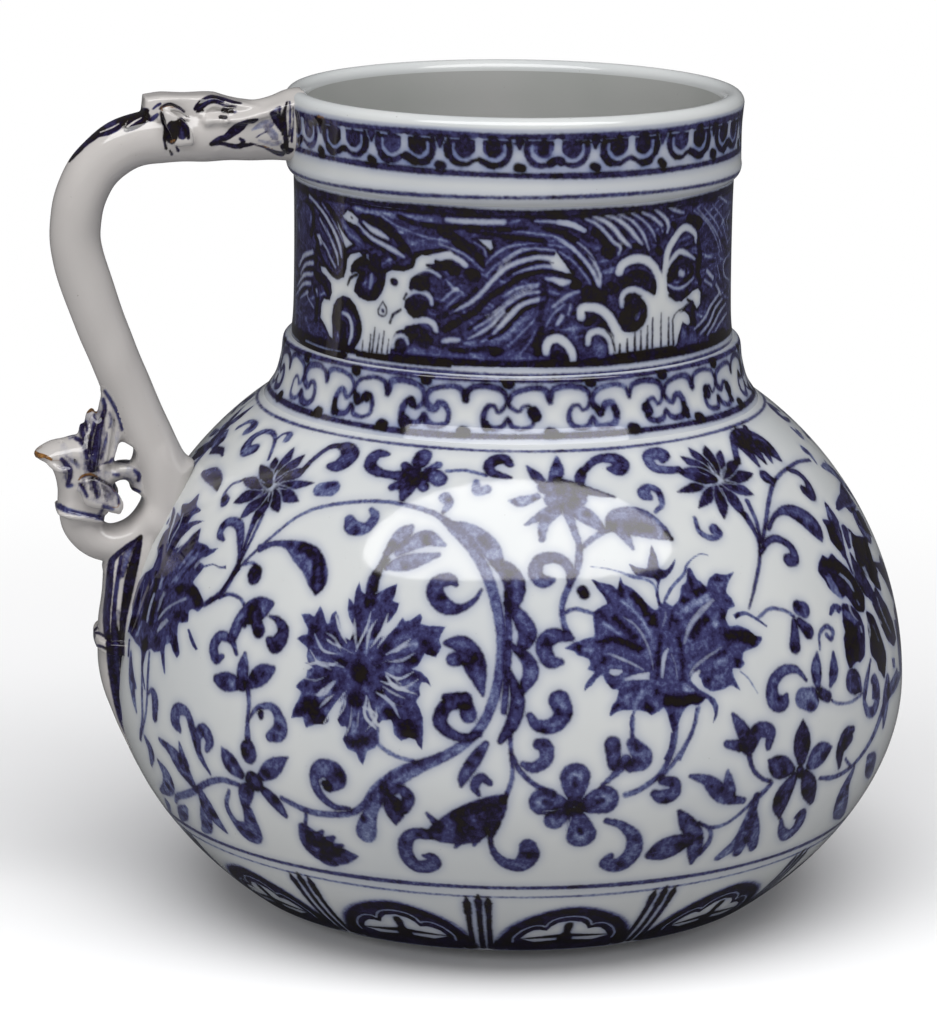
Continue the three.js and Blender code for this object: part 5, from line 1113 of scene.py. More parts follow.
# Neck: deep blue sea with combed lines and white foam, given as seen on three enlarged sheets.
# Kinds: d darkens, p is a pale line between dark ones, w is white water, f a closed white shape,
# l lightens and i draws on the white. The tone follows, then x and y and, but for closed shapes, width.
SEA_TOP, SEA_FOOT = 1.3, 24.9
SEA_LEFT = [
    ("l", .4, 330, 110, 30, 420, 150, 44, 510, 165, 30),
    ("l", .75, 590, 190, 60, 680, 225, 50, 800, 240, 40, 960, 262, 34, 1100, 275, 30, 1230, 292, 20),
    ("l", .3, 1230, 300, 40, 1394, 320, 50),
    ("f", .9, 520, 215, 560, 240, 612, 290, 600, 345, 560, 330, 500, 300, 478, 262),
    ("i", .9, 550, 276, 12, 560, 284, 12),
    ("d", .95, 500, 290, 10, 540, 340, 24, 600, 400, 24, 680, 480, 24, 760, 530, 26, 850, 575, 30,
     920, 630, 40),
    ("l", .5, 480, 310, 50, 510, 390, 66, 570, 450, 70, 640, 505, 40),
    ("f", .85, 432, 310, 470, 390, 500, 440, 562, 512, 505, 548, 482, 480, 452, 400),
    ("w", .9, 610, 335, 14, 680, 420, 26, 760, 480, 30, 850, 530, 34, 930, 575, 36, 1000, 622, 14),
    ("d", .9, 630, 330, 12, 700, 400, 20, 770, 450, 20, 860, 475, 14),
    ("w", .9, 655, 320, 18, 720, 375, 40, 790, 415, 46, 862, 462, 24),
    ("d", 1, 700, 318, 24, 760, 340, 44, 830, 390, 42, 900, 435, 30),
    ("d", .85, 640, 262, 30, 740, 285, 50, 850, 340, 60, 940, 440, 60, 985, 560, 50),
    ("w", .95, 195, 90, 22, 260, 165, 24, 330, 262, 26, 400, 390, 30, 450, 520, 30, 468, 620, 16),
    ("w", .9, 285, 290, 16, 340, 390, 24, 390, 500, 28, 428, 600, 26, 440, 690, 14),
    ("w", .85, 262, 430, 16, 330, 530, 22, 370, 620, 24, 415, 710, 16),
    ("w", .6, 300, 150, 14, 370, 260, 18, 430, 370, 20, 480, 480, 12),
    ("d", 1, 225, 140, 14, 320, 275, 16, 390, 420, 16, 440, 560, 16, 452, 690, 12),
    ("d", 1, 280, 250, 12, 350, 420, 18, 400, 560, 18, 432, 690, 12),
    ("d", 1, 290, 470, 16, 355, 600, 18, 400, 720, 12),
    ("d", 1, 475, 520, 30, 500, 620, 36, 495, 720, 40, 450, 798, 44, 395, 780, 40, 335, 700, 40,
     275, 560, 40, 245, 420, 40),
    ("d", .95, 250, 100, 30, 330, 160, 40, 390, 230, 44, 420, 285, 30),
    ("d", .95, 330, 210, 16, 400, 300, 22, 460, 420, 22, 492, 540, 22, 500, 650, 24),
    ("d", .9, 170, 130, 40, 220, 200, 60, 230, 330, 70, 210, 430, 60),
    ("l", .5, 215, 260, 34, 200, 330, 38), ("l", .5, 150, 200, 16, 130, 240, 20),
    ("l", .5, 108, 320, 36, 110, 380, 36), ("w", .8, 280, 440, 34, 290, 500, 36),
    ("p", .8, 108, 700, 26, 150, 610, 44, 222, 580, 40),
    ("p", .85, 120, 770, 18, 160, 690, 34, 226, 672, 36),
    ("p", .8, 90, 880, 18, 150, 780, 38, 222, 770, 34),
    ("p", .75, 85, 950, 14, 140, 860, 36, 205, 850, 32), ("p", .6, 120, 980, 14, 180, 925, 40),
    ("d", 1, 100, 740, 10, 160, 640, 14, 232, 632, 12),
    ("d", 1, 86, 830, 10, 150, 735, 14, 232, 732, 12),
    ("d", 1, 80, 905, 10, 150, 818, 14, 225, 822, 12),
    ("d", 1, 100, 985, 10, 145, 905, 14, 210, 902, 12), ("p", .6, 180, 970, 20, 230, 1060, 20),
    ("l", .4, 160, 1150, 30, 190, 1240, 40), ("l", .25, 90, 1080, 50, 110, 1160, 60),
    ("d", 1, 262, 520, 50, 250, 640, 60, 250, 760, 80, 320, 840, 90, 350, 930, 50),
    ("d", .95, 235, 900, 40, 262, 1000, 60, 250, 1170, 50), ("w", .85, 256, 915, 30, 258, 955, 34),
    ("f", 1, 290, 700, 330, 715, 375, 765, 430, 815, 488, 800, 510, 720, 518, 640, 545, 600, 620, 582,
     645, 608, 580, 650, 548, 700, 545, 755, 600, 755, 622, 790, 582, 860, 572, 920, 620, 975,
     690, 1008, 760, 1000, 810, 940, 838, 860, 850, 760, 900, 738, 1000, 748, 1080, 718, 1100, 640,
     1150, 605, 1250, 630, 1265, 690, 1200, 715, 1110, 755, 1052, 830, 1040, 890, 1060, 930, 1012, 1000,
     1002, 1060, 1060, 1130, 1082, 1180, 1000, 1240, 930, 1272, 900, 1330, 890, 1400, 880, 1462,
     820, 1482, 740, 1470, 640, 1450, 580, 1420, 620, 1350, 638, 1280, 622, 1150, 590, 1050, 540, 980,
     480, 958, 430, 985, 400, 1040, 385, 1150, 392, 1330, 368, 1312, 330, 1220, 290, 1150, 298, 1030,
     320, 985, 368, 1000, 386, 930, 380, 850, 340, 790, 300, 750),
    ("i", 1, 555, 745, 40, 590, 680, 60, 660, 650, 60, 720, 690, 60, 770, 680, 56, 755, 630, 40),
    ("w", .8, 688, 610, 20, 692, 645, 24),
    ("i", .9, 640, 770, 60, 612, 860, 60, 640, 930, 60, 700, 960, 56, 760, 920, 56, 795, 850, 60,
     785, 740, 60),
    ("w", .45, 725, 780, 40, 712, 890, 34), ("i", .95, 520, 862, 22, 545, 805, 30, 600, 775, 30),
    ("d", 1, 845, 745, 30, 900, 712, 40, 1000, 722, 44, 1070, 700, 44, 1092, 640, 40, 1130, 596, 30),
    ("d", .9, 1100, 596, 30, 1200, 588, 40, 1320, 568, 36), ("i", .8, 905, 835, 60, 920, 842, 70),
    ("i", .75, 820, 1010, 12, 782, 1080, 14, 790, 1128, 16, 838, 1132, 16, 852, 1080, 16,
     826, 1020, 10),
    ("i", .35, 818, 1086, 24, 822, 1096, 24),
    ("w", 1, 1170, 650, 36, 1250, 622, 40, 1330, 602, 34, 1394, 595, 34),
    ("i", 1, 1200, 695, 24, 1290, 700, 50, 1394, 672, 56),
    ("w", .9, 1095, 765, 20, 1150, 738, 26, 1230, 742, 26, 1312, 792, 20),
    ("i", .9, 1110, 850, 130, 1150, 855, 140), ("w", .35, 1140, 790, 40, 1170, 800, 40),
    ("w", .95, 1035, 955, 26, 1100, 922, 36, 1170, 932, 38, 1222, 970, 36, 1240, 1032, 26),
    ("i", .95, 1085, 1068, 150, 1115, 1075, 160), ("w", .3, 1085, 1055, 24, 1095, 1070, 24),
    ("i", .7, 1000, 985, 20, 1022, 942, 22), ("i", .75, 880, 1192, 24, 912, 1122, 26, 972, 1082, 20),
    ("w", 1, 1000, 1232, 30, 1080, 1185, 44, 1180, 1172, 48, 1250, 1202, 46, 1278, 1262, 36),
    ("i", .85, 1040, 1270, 100, 1100, 1290, 130, 1180, 1350, 110),
    ("w", .35, 1080, 1270, 50, 1120, 1290, 50),
    ("w", .9, 905, 1405, 26, 912, 1345, 34, 960, 1308, 36, 1015, 1322, 34, 1032, 1372, 26),
    ("i", .85, 960, 1400, 90, 975, 1410, 80),
    ("i", .95, 420, 1070, 30, 470, 1030, 44, 540, 1040, 50, 590, 1100, 50, 618, 1200, 50, 620, 1290, 50,
     580, 1380, 50, 520, 1440, 50),
    ("i", .95, 440, 1090, 60, 430, 1180, 70, 470, 1250, 80, 480, 1350, 70, 480, 1440, 80),
    ("w", .95, 478, 1110, 26, 522, 1132, 32, 552, 1200, 34, 552, 1300, 34, 532, 1372, 24),
    ("w", .3, 440, 1280, 30, 440, 1310, 30), ("i", .8, 640, 1470, 24, 650, 1350, 8),
    ("i", .85, 700, 1470, 26, 716, 1300, 10), ("i", .85, 724, 1470, 22, 752, 1240, 10),
    ("i", .8, 762, 1480, 20, 790, 1290, 8), ("i", .7, 802, 1490, 18, 830, 1270, 8),
    ("i", .6, 850, 1490, 14, 870, 1340, 6),
    ("d", 1, 600, 1470, 50, 800, 1506, 50, 1100, 1540, 60, 1394, 1565, 60),
    ("d", 1, 120, 1380, 110, 300, 1450, 90, 500, 1480, 70), ("d", 1, 50, 1230, 110, 150, 1340, 110),
    ("l", .35, 1020, 1450, 90, 1300, 1490, 90), ("l", .45, 1340, 1345, 40, 1440, 1352, 40),
    ("p", .3, 760, 225, 14, 900, 330, 18, 1050, 400, 18, 1200, 450, 18, 1394, 485, 14),
    ("d", .95, 950, 262, 30, 1100, 330, 40, 1250, 352, 40, 1394, 390, 60),
    ("l", .3, 1000, 490, 50, 1200, 512, 60, 1394, 500, 50),
    ("d", .85, 920, 440, 50, 1000, 520, 60, 1050, 600, 50),
]
SEA_MIDDLE = [
    ("w", .85, 60, 255, 30, 200, 268, 44, 400, 275, 44, 555, 275, 44),
    ("w", .8, 830, 268, 14, 1000, 275, 26, 1150, 305, 32, 1262, 355, 20),
    ("l", .4, 1250, 220, 50, 1394, 210, 60),
    ("d", .85, 0, 315, 30, 200, 322, 30, 400, 332, 30, 600, 342, 30, 760, 330, 20),
    ("d", .95, 240, 352, 20, 500, 392, 36, 750, 422, 36, 900, 440, 40, 920, 480, 30),
    ("d", .8, 900, 332, 30, 1080, 370, 40, 1200, 440, 30),
    ("p", .4, 640, 355, 14, 850, 378, 20, 1000, 402, 20, 1120, 470, 20, 1230, 580, 20, 1320, 700, 20,
     1388, 815, 16),
    ("f", .85, 330, 422, 450, 430, 462, 500, 440, 522, 385, 472),
    ("w", .6, 300, 452, 12, 380, 505, 20, 402, 572, 14),
    ("d", 1, 0, 350, 60, 100, 402, 90, 200, 472, 100, 300, 560, 90, 362, 650, 60),
    ("d", .9, 290, 420, 12, 400, 490, 22, 442, 545, 18), ("d", 1, 120, 700, 90, 140, 700, 90),
    ("d", 1, 270, 730, 120, 292, 740, 120), ("d", 1, 20, 660, 60, 40, 665, 60),
    ("p", .35, 0, 470, 20, 120, 512, 24, 220, 562, 24, 300, 622, 22, 370, 692, 14),
    ("w", 1, 0, 592, 34, 80, 575, 40, 160, 600, 42, 225, 652, 40),
    ("p", .5, 60, 780, 14, 120, 850, 30, 190, 880, 14),
    ("p", .5, 20, 960, 20, 80, 905, 26, 150, 855, 14),
    ("p", .3, 60, 1010, 20, 130, 950, 20, 200, 900, 14),
    ("p", .5, 400, 640, 14, 480, 560, 20, 560, 505, 22, 650, 477, 22, 700, 470, 14),
    ("p", .5, 500, 690, 14, 600, 595, 24, 700, 532, 26, 800, 507, 26, 880, 512, 26, 1000, 522, 14),
    ("p", .3, 400, 740, 12, 500, 640, 16, 620, 560, 16, 720, 505, 12),
    ("p", .95, 90, 1062, 14, 200, 1012, 30, 300, 950, 34, 380, 872, 34, 450, 792, 36, 540, 705, 36,
     640, 642, 36, 760, 602, 36, 880, 582, 40, 1000, 598, 50),
    ("p", .7, 640, 730, 12, 740, 692, 24, 850, 667, 28, 960, 662, 34, 1100, 705, 30),
    ("f", .95, 1010, 535, 1042, 580, 1092, 640, 1142, 722, 1060, 705, 980, 662, 965, 620, 1000, 600),
    ("d", 1, 550, 770, 10, 660, 692, 18, 760, 645, 20, 880, 622, 20, 985, 632, 12),
    ("d", .8, 460, 730, 12, 560, 640, 22, 680, 572, 24, 820, 545, 24, 960, 560, 16),
    ("d", 1, 50, 1205, 60, 200, 1120, 56, 320, 1040, 54, 420, 942, 50, 540, 862, 46, 660, 782, 40,
     780, 724, 36, 900, 705, 34, 1000, 707, 30, 1100, 732, 30, 1190, 795, 40),
    ("d", .8, 0, 1100, 60, 100, 1050, 50, 210, 960, 30, 320, 860, 26),
    ("w", .9, 925, 768, 16, 1000, 778, 40, 1060, 800, 56, 1120, 798, 40),
    ("p", .5, 560, 920, 14, 650, 862, 22, 750, 832, 26, 852, 815, 20),
    ("p", .5, 400, 1090, 14, 480, 1050, 20, 560, 982, 22, 660, 905, 22, 760, 866, 22, 850, 840, 14),
    ("p", .7, 300, 1200, 14, 420, 1130, 22, 520, 1052, 24, 620, 972, 24, 720, 912, 26, 862, 882, 22),
    ("p", .9, 250, 1292, 14, 350, 1242, 26, 440, 1182, 30, 500, 1120, 26, 560, 1060, 14),
    ("p", .95, 460, 1250, 14, 540, 1170, 40, 610, 1090, 46, 690, 1012, 42, 780, 970, 36, 900, 942, 36),
    ("l", .6, 440, 1330, 24, 560, 1282, 50, 660, 1192, 60, 740, 1112, 60, 812, 1062, 30),
    ("d", 1, 340, 1275, 10, 470, 1182, 20, 560, 1085, 20, 660, 992, 20, 760, 932, 16),
    ("d", 1, 430, 1292, 12, 540, 1232, 22, 640, 1132, 24, 720, 1045, 24, 830, 1000, 14),
    ("d", .95, 250, 1210, 12, 400, 1102, 20, 500, 1022, 20, 620, 932, 20, 740, 872, 20, 860, 850, 14),
    ("w", .75, 30, 1312, 34, 90, 1302, 44, 165, 1300, 34),
    ("l", .35, 0, 1440, 80, 200, 1472, 90, 400, 1492, 80, 520, 1500, 50),
    ("d", .85, 100, 1392, 30, 250, 1392, 40, 420, 1382, 40, 540, 1402, 40),
    ("d", .95, 470, 1400, 70, 490, 1410, 60), ("d", .5, 910, 850, 60, 900, 950, 80, 860, 1100, 80),
    ("d", .6, 890, 1200, 60, 850, 1300, 70, 850, 1420, 60),
    ("p", .55, 985, 1012, 24, 1060, 952, 32, 1140, 902, 36, 1212, 882, 24),
    ("p", .4, 925, 1180, 16, 980, 1082, 24, 1082, 992, 20), ("p", .75, 1025, 1165, 30, 1062, 1100, 42),
    ("p", .5, 1120, 1080, 20, 1140, 1000, 26), ("l", .3, 1130, 1110, 50, 1170, 1210, 60),
    ("p", .3, 600, 1350, 14, 700, 1252, 18, 800, 1152, 18, 850, 1062, 12),
    ("p", .3, 700, 1422, 14, 780, 1322, 18, 832, 1232, 12),
    ("l", .35, 600, 1420, 80, 690, 1480, 90, 790, 1480, 70),
    ("w", 1, 925, 1410, 50, 930, 1345, 66, 970, 1300, 66, 1040, 1292, 66, 1110, 1345, 66,
     1150, 1410, 62, 1160, 1472, 50),
    ("i", .75, 1020, 1450, 70, 1066, 1462, 70), ("d", 1, 1170, 812, 80, 1190, 812, 80),
    ("d", 1, 1290, 900, 120, 1330, 905, 120),
]
SEA_RIGHT = [
    ("l", .6, 370, 205, 30, 600, 180, 56, 800, 150, 60, 1000, 128, 56, 1120, 110, 40),
    ("w", .85, 0, 265, 24, 100, 282, 30, 205, 335, 20),
    ("w", .85, 225, 245, 16, 320, 290, 24, 400, 370, 26, 462, 440, 26, 518, 482, 24, 500, 545, 14),
    ("w", .85, 290, 222, 14, 400, 272, 34, 480, 342, 38, 540, 422, 38, 602, 475, 24),
    ("w", .8, 395, 210, 14, 500, 252, 34, 580, 312, 38, 640, 382, 38, 702, 455, 22),
    ("w", .75, 500, 200, 12, 620, 262, 24, 700, 352, 26, 740, 442, 24, 762, 505, 14),
    ("w", .7, 620, 195, 12, 720, 262, 22, 790, 342, 24, 822, 425, 14),
    ("w", .75, 710, 190, 14, 800, 232, 30, 870, 300, 26, 880, 350, 14),
    ("w", .85, 820, 168, 14, 900, 232, 34, 930, 300, 34, 918, 352, 20),
    ("w", .7, 930, 142, 14, 1000, 175, 30, 1060, 190, 20),
    ("p", .85, 150, 440, 14, 240, 522, 24, 300, 622, 26, 342, 722, 28, 340, 830, 20),
    ("p", .5, 0, 430, 14, 120, 502, 20, 220, 602, 22, 292, 702, 22, 322, 800, 16),
    ("p", .3, 0, 520, 14, 110, 600, 18, 200, 700, 18, 260, 790, 14),
    ("d", .9, 50, 395, 14, 180, 480, 24, 290, 590, 22),
    ("d", .9, 130, 550, 24, 240, 700, 42, 290, 810, 40), ("d", 1, 400, 510, 110, 430, 530, 110),
    ("d", 1, 270, 880, 170, 330, 890, 180), ("d", 1, 120, 800, 80, 140, 805, 80),
    ("d", 1, 430, 830, 110, 460, 835, 100), ("d", 1, 538, 470, 40, 545, 485, 40),
    ("d", 1, 885, 320, 56, 897, 335, 56), ("d", 1, 828, 400, 44, 838, 440, 50),
    ("d", 1, 845, 500, 66, 855, 525, 66), ("d", 1, 968, 280, 36, 985, 300, 40),
    ("d", 1, 1110, 245, 90, 1190, 275, 120), ("d", .9, 300, 350, 70, 400, 440, 70),
    ("d", .8, 690, 480, 40, 640, 470, 40),
    ("w", 1, 508, 690, 66, 530, 635, 68, 600, 592, 68, 690, 580, 66, 770, 612, 66, 830, 692, 66,
     860, 792, 70, 870, 900, 80),
    ("w", 1, 892, 780, 50, 905, 640, 56, 922, 520, 60, 980, 412, 62, 1050, 324, 56, 1110, 322, 52,
     1160, 372, 40, 1165, 432, 28),
    ("w", .95, 930, 640, 16, 970, 572, 40, 1020, 522, 44, 1080, 532, 40, 1155, 582, 14),
    ("i", .9, 950, 720, 100, 975, 690, 90), ("w", .65, 1030, 700, 60, 1052, 705, 60),
    ("d", .75, 1090, 610, 60, 1130, 660, 60, 1110, 740, 50, 1040, 785, 40),
    ("w", .8, 925, 800, 14, 1000, 832, 24, 1080, 802, 24, 1145, 740, 14),
    ("i", .85, 940, 885, 40, 1010, 912, 60, 1082, 872, 40),
    ("f", 1, 830, 760, 900, 750, 922, 850, 960, 920, 1040, 942, 1090, 900, 1140, 850, 1182, 830,
     1204, 862, 1200, 960, 1172, 1002, 1150, 960, 1138, 928, 1065, 990, 1020, 1045, 1005, 1075,
     1060, 1030, 1100, 1062, 1112, 1120, 1080, 1132, 1050, 1112, 1022, 1200, 1000, 1300, 960, 1342,
     800, 1345, 600, 1382, 480, 1402, 460, 1350, 470, 1250, 520, 1200, 600, 1202, 680, 1170, 730, 1100,
     745, 1020, 730, 950, 690, 910, 740, 880, 790, 912, 820, 880, 832, 820),
    ("w", 1, 530, 975, 36, 530, 905, 44, 570, 852, 46, 640, 840, 46, 710, 870, 46, 780, 905, 46),
    ("i", .85, 560, 980, 40, 590, 920, 46, 650, 910, 50, 705, 960, 56, 725, 1040, 56, 700, 1120, 56,
     620, 1175, 56, 555, 1110, 50, 545, 1020, 44),
    ("i", 1, 590, 1070, 110, 620, 1020, 110), ("w", .35, 665, 1040, 50, 655, 1080, 50),
    ("i", .85, 550, 780, 70, 640, 725, 90, 740, 762, 100, 790, 830, 60),
    ("w", .35, 640, 750, 50, 720, 770, 40),
    ("w", 1, 182, 1072, 60, 180, 1010, 66, 230, 988, 66, 330, 1002, 68, 400, 1052, 70, 450, 1122, 74,
     490, 1200, 80, 520, 1262, 80),
    ("d", .95, 225, 1135, 40, 310, 1090, 66, 385, 1150, 56),
    ("w", 1, 240, 1295, 40, 250, 1225, 48, 310, 1192, 50, 380, 1212, 50, 430, 1272, 46, 440, 1370, 40),
    ("l", .35, 320, 1310, 80, 350, 1360, 90), ("i", .75, 392, 1182, 10, 442, 1252, 16, 472, 1362, 18),
    ("i", .65, 510, 1402, 34, 512, 1300, 10), ("i", .65, 575, 1392, 34, 576, 1260, 12),
    ("i", .65, 640, 1382, 34, 640, 1190, 12), ("i", .65, 692, 1372, 30, 692, 1190, 10),
    ("i", .65, 745, 1362, 30, 750, 1150, 12), ("i", .6, 790, 1352, 24, 794, 1080, 10),
    ("i", .6, 865, 1342, 24, 866, 1040, 10), ("i", .6, 930, 1332, 30, 930, 1080, 12),
    ("i", .65, 972, 1312, 30, 966, 1090, 12), ("i", .3, 480, 1400, 40, 700, 1372, 44, 960, 1335, 50),
    ("w", 1, 1002, 1190, 40, 1002, 1102, 40, 1042, 1055, 44, 1086, 1082, 40, 1096, 1120, 30),
    ("i", .75, 962, 1102, 10, 992, 1042, 14, 1060, 992, 14, 1115, 938, 10),
    ("d", .8, 1090, 925, 30, 1140, 965, 50, 1140, 1050, 50, 1160, 1130, 50),
    ("l", .3, 1050, 1170, 70, 1080, 1250, 90, 1150, 1250, 80),
    ("p", 1, 1155, 1175, 14, 1240, 1082, 26, 1290, 982, 28, 1362, 880, 20),
    ("p", 1, 1205, 1215, 14, 1280, 1122, 26, 1330, 1002, 28, 1390, 920, 20),
    ("p", .95, 1265, 1222, 14, 1320, 1132, 26, 1370, 1032, 26, 1420, 960, 18),
    ("p", .85, 1330, 1192, 14, 1380, 1112, 24, 1430, 1040, 20),
    ("d", 1, 1180, 1200, 12, 1262, 1100, 18, 1312, 990, 18, 1376, 900, 12),
    ("d", 1, 1240, 1222, 12, 1302, 1128, 18, 1352, 1018, 18, 1405, 940, 12),
    ("p", .7, 1340, 800, 34, 1380, 880, 30), ("p", .7, 1260, 680, 34, 1310, 740, 40),
    ("p", .6, 1240, 760, 24, 1300, 805, 28), ("p", .6, 1350, 640, 14, 1370, 740, 16),
    ("p", .7, 1190, 165, 10, 1290, 280, 12, 1360, 400, 12, 1390, 520, 10),
    ("p", .7, 1240, 150, 10, 1330, 262, 12, 1392, 380, 10),
    ("p", .6, 1150, 170, 10, 1250, 262, 12, 1330, 390, 12, 1370, 520, 10),
    ("p", .6, 1310, 120, 8, 1400, 250, 10, 1440, 400, 8),
    ("p", .9, 1442, 550, 12, 1402, 622, 20, 1412, 722, 20, 1455, 760, 12),
    ("p", .9, 1462, 170, 12, 1432, 250, 16, 1440, 330, 12), ("p", .8, 1350, 40, 20, 1430, 100, 20),
    ("d", .9, 1180, 420, 50, 1200, 560, 70, 1180, 680, 60, 1200, 780, 50),
    ("d", 1, 1290, 1270, 100, 1410, 1215, 110),
    ("d", .95, 480, 1450, 40, 900, 1382, 50, 1200, 1325, 60),
]
# Each sheet's rows, the corner of the picture where it starts, and how many times it is enlarged
SEA_SHEETS = [(SEA_LEFT, 290, 185, 8.71), (SEA_MIDDLE, 440, 190, 8.71), (SEA_RIGHT, 560, 190, 8.476)]


def sea_ground():
    """An even blue with fine darker and paler streaks."""
    inside = (neck.s > SEA_TOP) & (neck.s < SEA_FOOT)
    neck.cover[inside] = 1
    neck.tone[inside] = .66
    for _ in range(700):
        x, y = rng.uniform(0, 360), rng.uniform(2, 24)
        n = rng.uniform(4, 14)
        t = rng.normal(0, .35) + .5 * math.sin(x * RAD * 5 + y * .25)
        q = [(x, y), (x + n * .5, y + n * .3 * t), (x + n, y + n * .3 * math.sin(t * 2))]
        width = [.15, rng.uniform(.3, .6), .15]
        neck.stroke(q, width, rng.uniform(.3, .75), "deepen" if rng.random() < .55 else "pale", .5)


def sea_strokes(turn):
    """The strokes of the three sheets, each with its places and widths on the neck."""
    drawn = []
    for rows, x0, y0, zoom in SEA_SHEETS:
        for kind, tone, *q in rows:
            q = np.array(q, float).reshape(-1, 2 if kind == "f" else 3)
            if kind != "f":
                q = spline(q, 5)
            at = (x0, y0) + q[:, :2] / zoom
            # The sheets were read a little too wide towards the neck's sides
            out = (at[:, 0] - 516) / 220
            at[:, 0] -= np.where(out < 0, 3.6, 2.4) * out * out
            width = q[:, 2] / (zoom * 6.4) if kind != "f" else None
            drawn.append((kind, tone, on_band(neck, at) + (turn, 0), width))
    return drawn


def sea(turn):
    drawn = sea_strokes(turn)
    # Dark edges first
    for kind, tone, q, w in drawn:
        if kind == "d":
            neck.stroke(q, w + .06, tone, "deepen", .4)
        elif kind == "p":
            neck.stroke(q, w * 2.3, .6, "deepen", .5)
        elif kind == "w":
            neck.stroke(q, w + .8, .75, "deepen", .7)
        elif kind == "f":
            neck.stroke(np.vstack([q, q[:1]]), 1.0, .8, "deepen", .7)
        elif kind == "l":
            neck.stroke(q, w, tone * 1.1, "pale", 1.0)
            neck.stroke(q, w, tone * .4, "lift", 1.0)
    # Then the white water, and what is drawn on it
    for kind, tone, q, w in drawn:
        if kind in "pw":
            neck.stroke(q, w * 1.1 + .05, tone * .55 + .27 if kind == "p" else tone * .96, "lift", .75)
            neck.stroke(q, w + .2, .7, "pale", .5)
        elif kind == "f":
            neck.fill(q, tone, "lift", .5)
    for kind, tone, q, w in drawn:
        if kind == "i":
            neck.stroke(q, w, tone, "ink", .7)
        elif kind == "d":
            neck.stroke(q, w * .75, tone * .6, "deepen", .7)
            neck.stroke(q, w * .75, .5, "wash", .6)


def draw_neck():
    sea_ground()
    # Combed lines at the two sides, where the front's sea meets the one behind
    for side in (84, 264):
        for x in range(side - 6, side + 8, 2):
            q = spline([(x, 1.8), (x + 1 + rng.normal(0, .5), 8), (x - 1, 15),
                    (x + 2 + rng.normal(0, .6), 24)])
            neck.stroke(q, 1.0, .8, "deepen", .5)
            neck.stroke(q + (1, 0), rng.uniform(.3, .6), rng.uniform(.4, .9), "lift", .5)
    sea(0)
    sea(180)
    ring(neck, .9, 1.1, .85)
    ring(neck, 24.6, .9, .85)
    ring(neck, 26.1, .55, .5)


draw_belly()
draw_panels()
draw_collar()
draw_rim()
draw_neck()


# Meshes
def mesh_from(name, points, faces, layers):
    """A piece of the jug from points and four-sided faces, with values at its points as layers."""
    me = bpy.data.meshes.new(name)
    me.vertices.add(len(points))
    me.vertices.foreach_set("co", (points * MM).astype(np.float32).ravel())
    me.loops.add(faces.size)
    me.loops.foreach_set("vertex_index", faces.ravel().astype(np.int32))
    me.polygons.add(len(faces))
    me.polygons.foreach_set("loop_start", np.arange(0, faces.size, 4, dtype=np.int32))
    me.update(calc_edges=True)
    me.validate()
    me.shade_smooth()
    me.set_sharp_from_angle(angle=.8)
    for key, values in layers.items():
        layer = me.attributes.new(key, "FLOAT", "POINT")
        layer.data.foreach_set("value", values.astype(np.float32).ravel())
    ob = bpy.data.objects.new(name, me)
    bpy.context.scene.collection.objects.link(ob)
    return ob


def spun(name, profile, columns, layers):
    """A turned piece from rows of radius and height, which close on themselves."""
    r, z = np.asarray(profile, float).T
    a = np.arange(columns) * (2 * math.pi / columns)
    x = AXIS + r[:, None] * np.sin(a)
    y = -r[:, None] * np.cos(a)
    points = np.stack([x, y, np.broadcast_to(z[:, None], x.shape)], -1).reshape(-1, 3)
    i, j = np.arange(len(r))[:, None], np.arange(columns)[None, :]
    i2, j2 = (i + 1) % len(r), (j + 1) % columns
    faces = np.stack([i * columns + j, i2 * columns + j, i2 * columns + j2, i * columns + j2], -1)
    return mesh_from(name, points, faces.reshape(-1, 4), layers)


def painted(name, band, rows, inner, shaded_rows, slot, *nodes):
    """The outside of a band, which carries its paint, and a plain inside closed to it.

    The argument after inner counts the rows inside that get the darker glaze, which is painted shade.
    """
    outer = np.stack([band.r[rows], band.z[rows]], 1)
    plain = np.zeros((len(inner), band.columns), np.float32)
    paint = {"cover": band.cover, "tone": band.tone, "halo": band.halo(), "ochre": band.ochre}
    layers = {key: np.vstack([values[rows], plain]) for key, values in paint.items()}
    ob = spun(name, np.vstack([outer, inner]), band.columns, layers)
    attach(ob, "root")
    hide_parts(*nodes)
    ob.data.materials.append(glaze)
    ob.data.materials.append(glaze_painted_shade)
    # The first rows inside take the darker copy of the glaze: painted shade inside the jug
    index = np.zeros(len(ob.data.polygons), np.int32)
    index[len(outer) * band.columns:(len(outer) + shaded_rows) * band.columns] = 1
    ob.data.polygons.foreach_set("material_index", index)


# Materials
def node(nt, kind, **settings):
    n = nt.nodes.new(kind)
    for key, value in settings.items():
        if key.startswith("_"):
            n.inputs[key[1:].replace("_", " ")].default_value = value
        else:
            setattr(n, key, value)
    return n


def noise(nt, coords, size, detail=2.0, rough=.5):
    n = node(nt, "ShaderNodeTexNoise", _Scale=1 / (size * MM), _Detail=detail, _Roughness=rough)
    nt.links.new(coords, n.inputs["Vector"])
    return n.outputs[0]


def sums(nt, op, a, b, clamp=False):
    n = node(nt, "ShaderNodeMath", operation=op, use_clamp=clamp)
    for k, v in enumerate((a, b)):
        if isinstance(v, (int, float)):
            n.inputs[k].default_value = v
        else:
            nt.links.new(v, n.inputs[k])
    return n.outputs[0]


def ranged(nt, value, lo, hi, top=1.0):
    """Rises smoothly from nothing at lo to top at hi."""
    n = node(nt, "ShaderNodeMapRange", interpolation_type="SMOOTHSTEP", _From_Min=lo, _From_Max=hi,
        _To_Max=top)
    nt.links.new(value, n.inputs["Value"])
    return n.outputs[0]


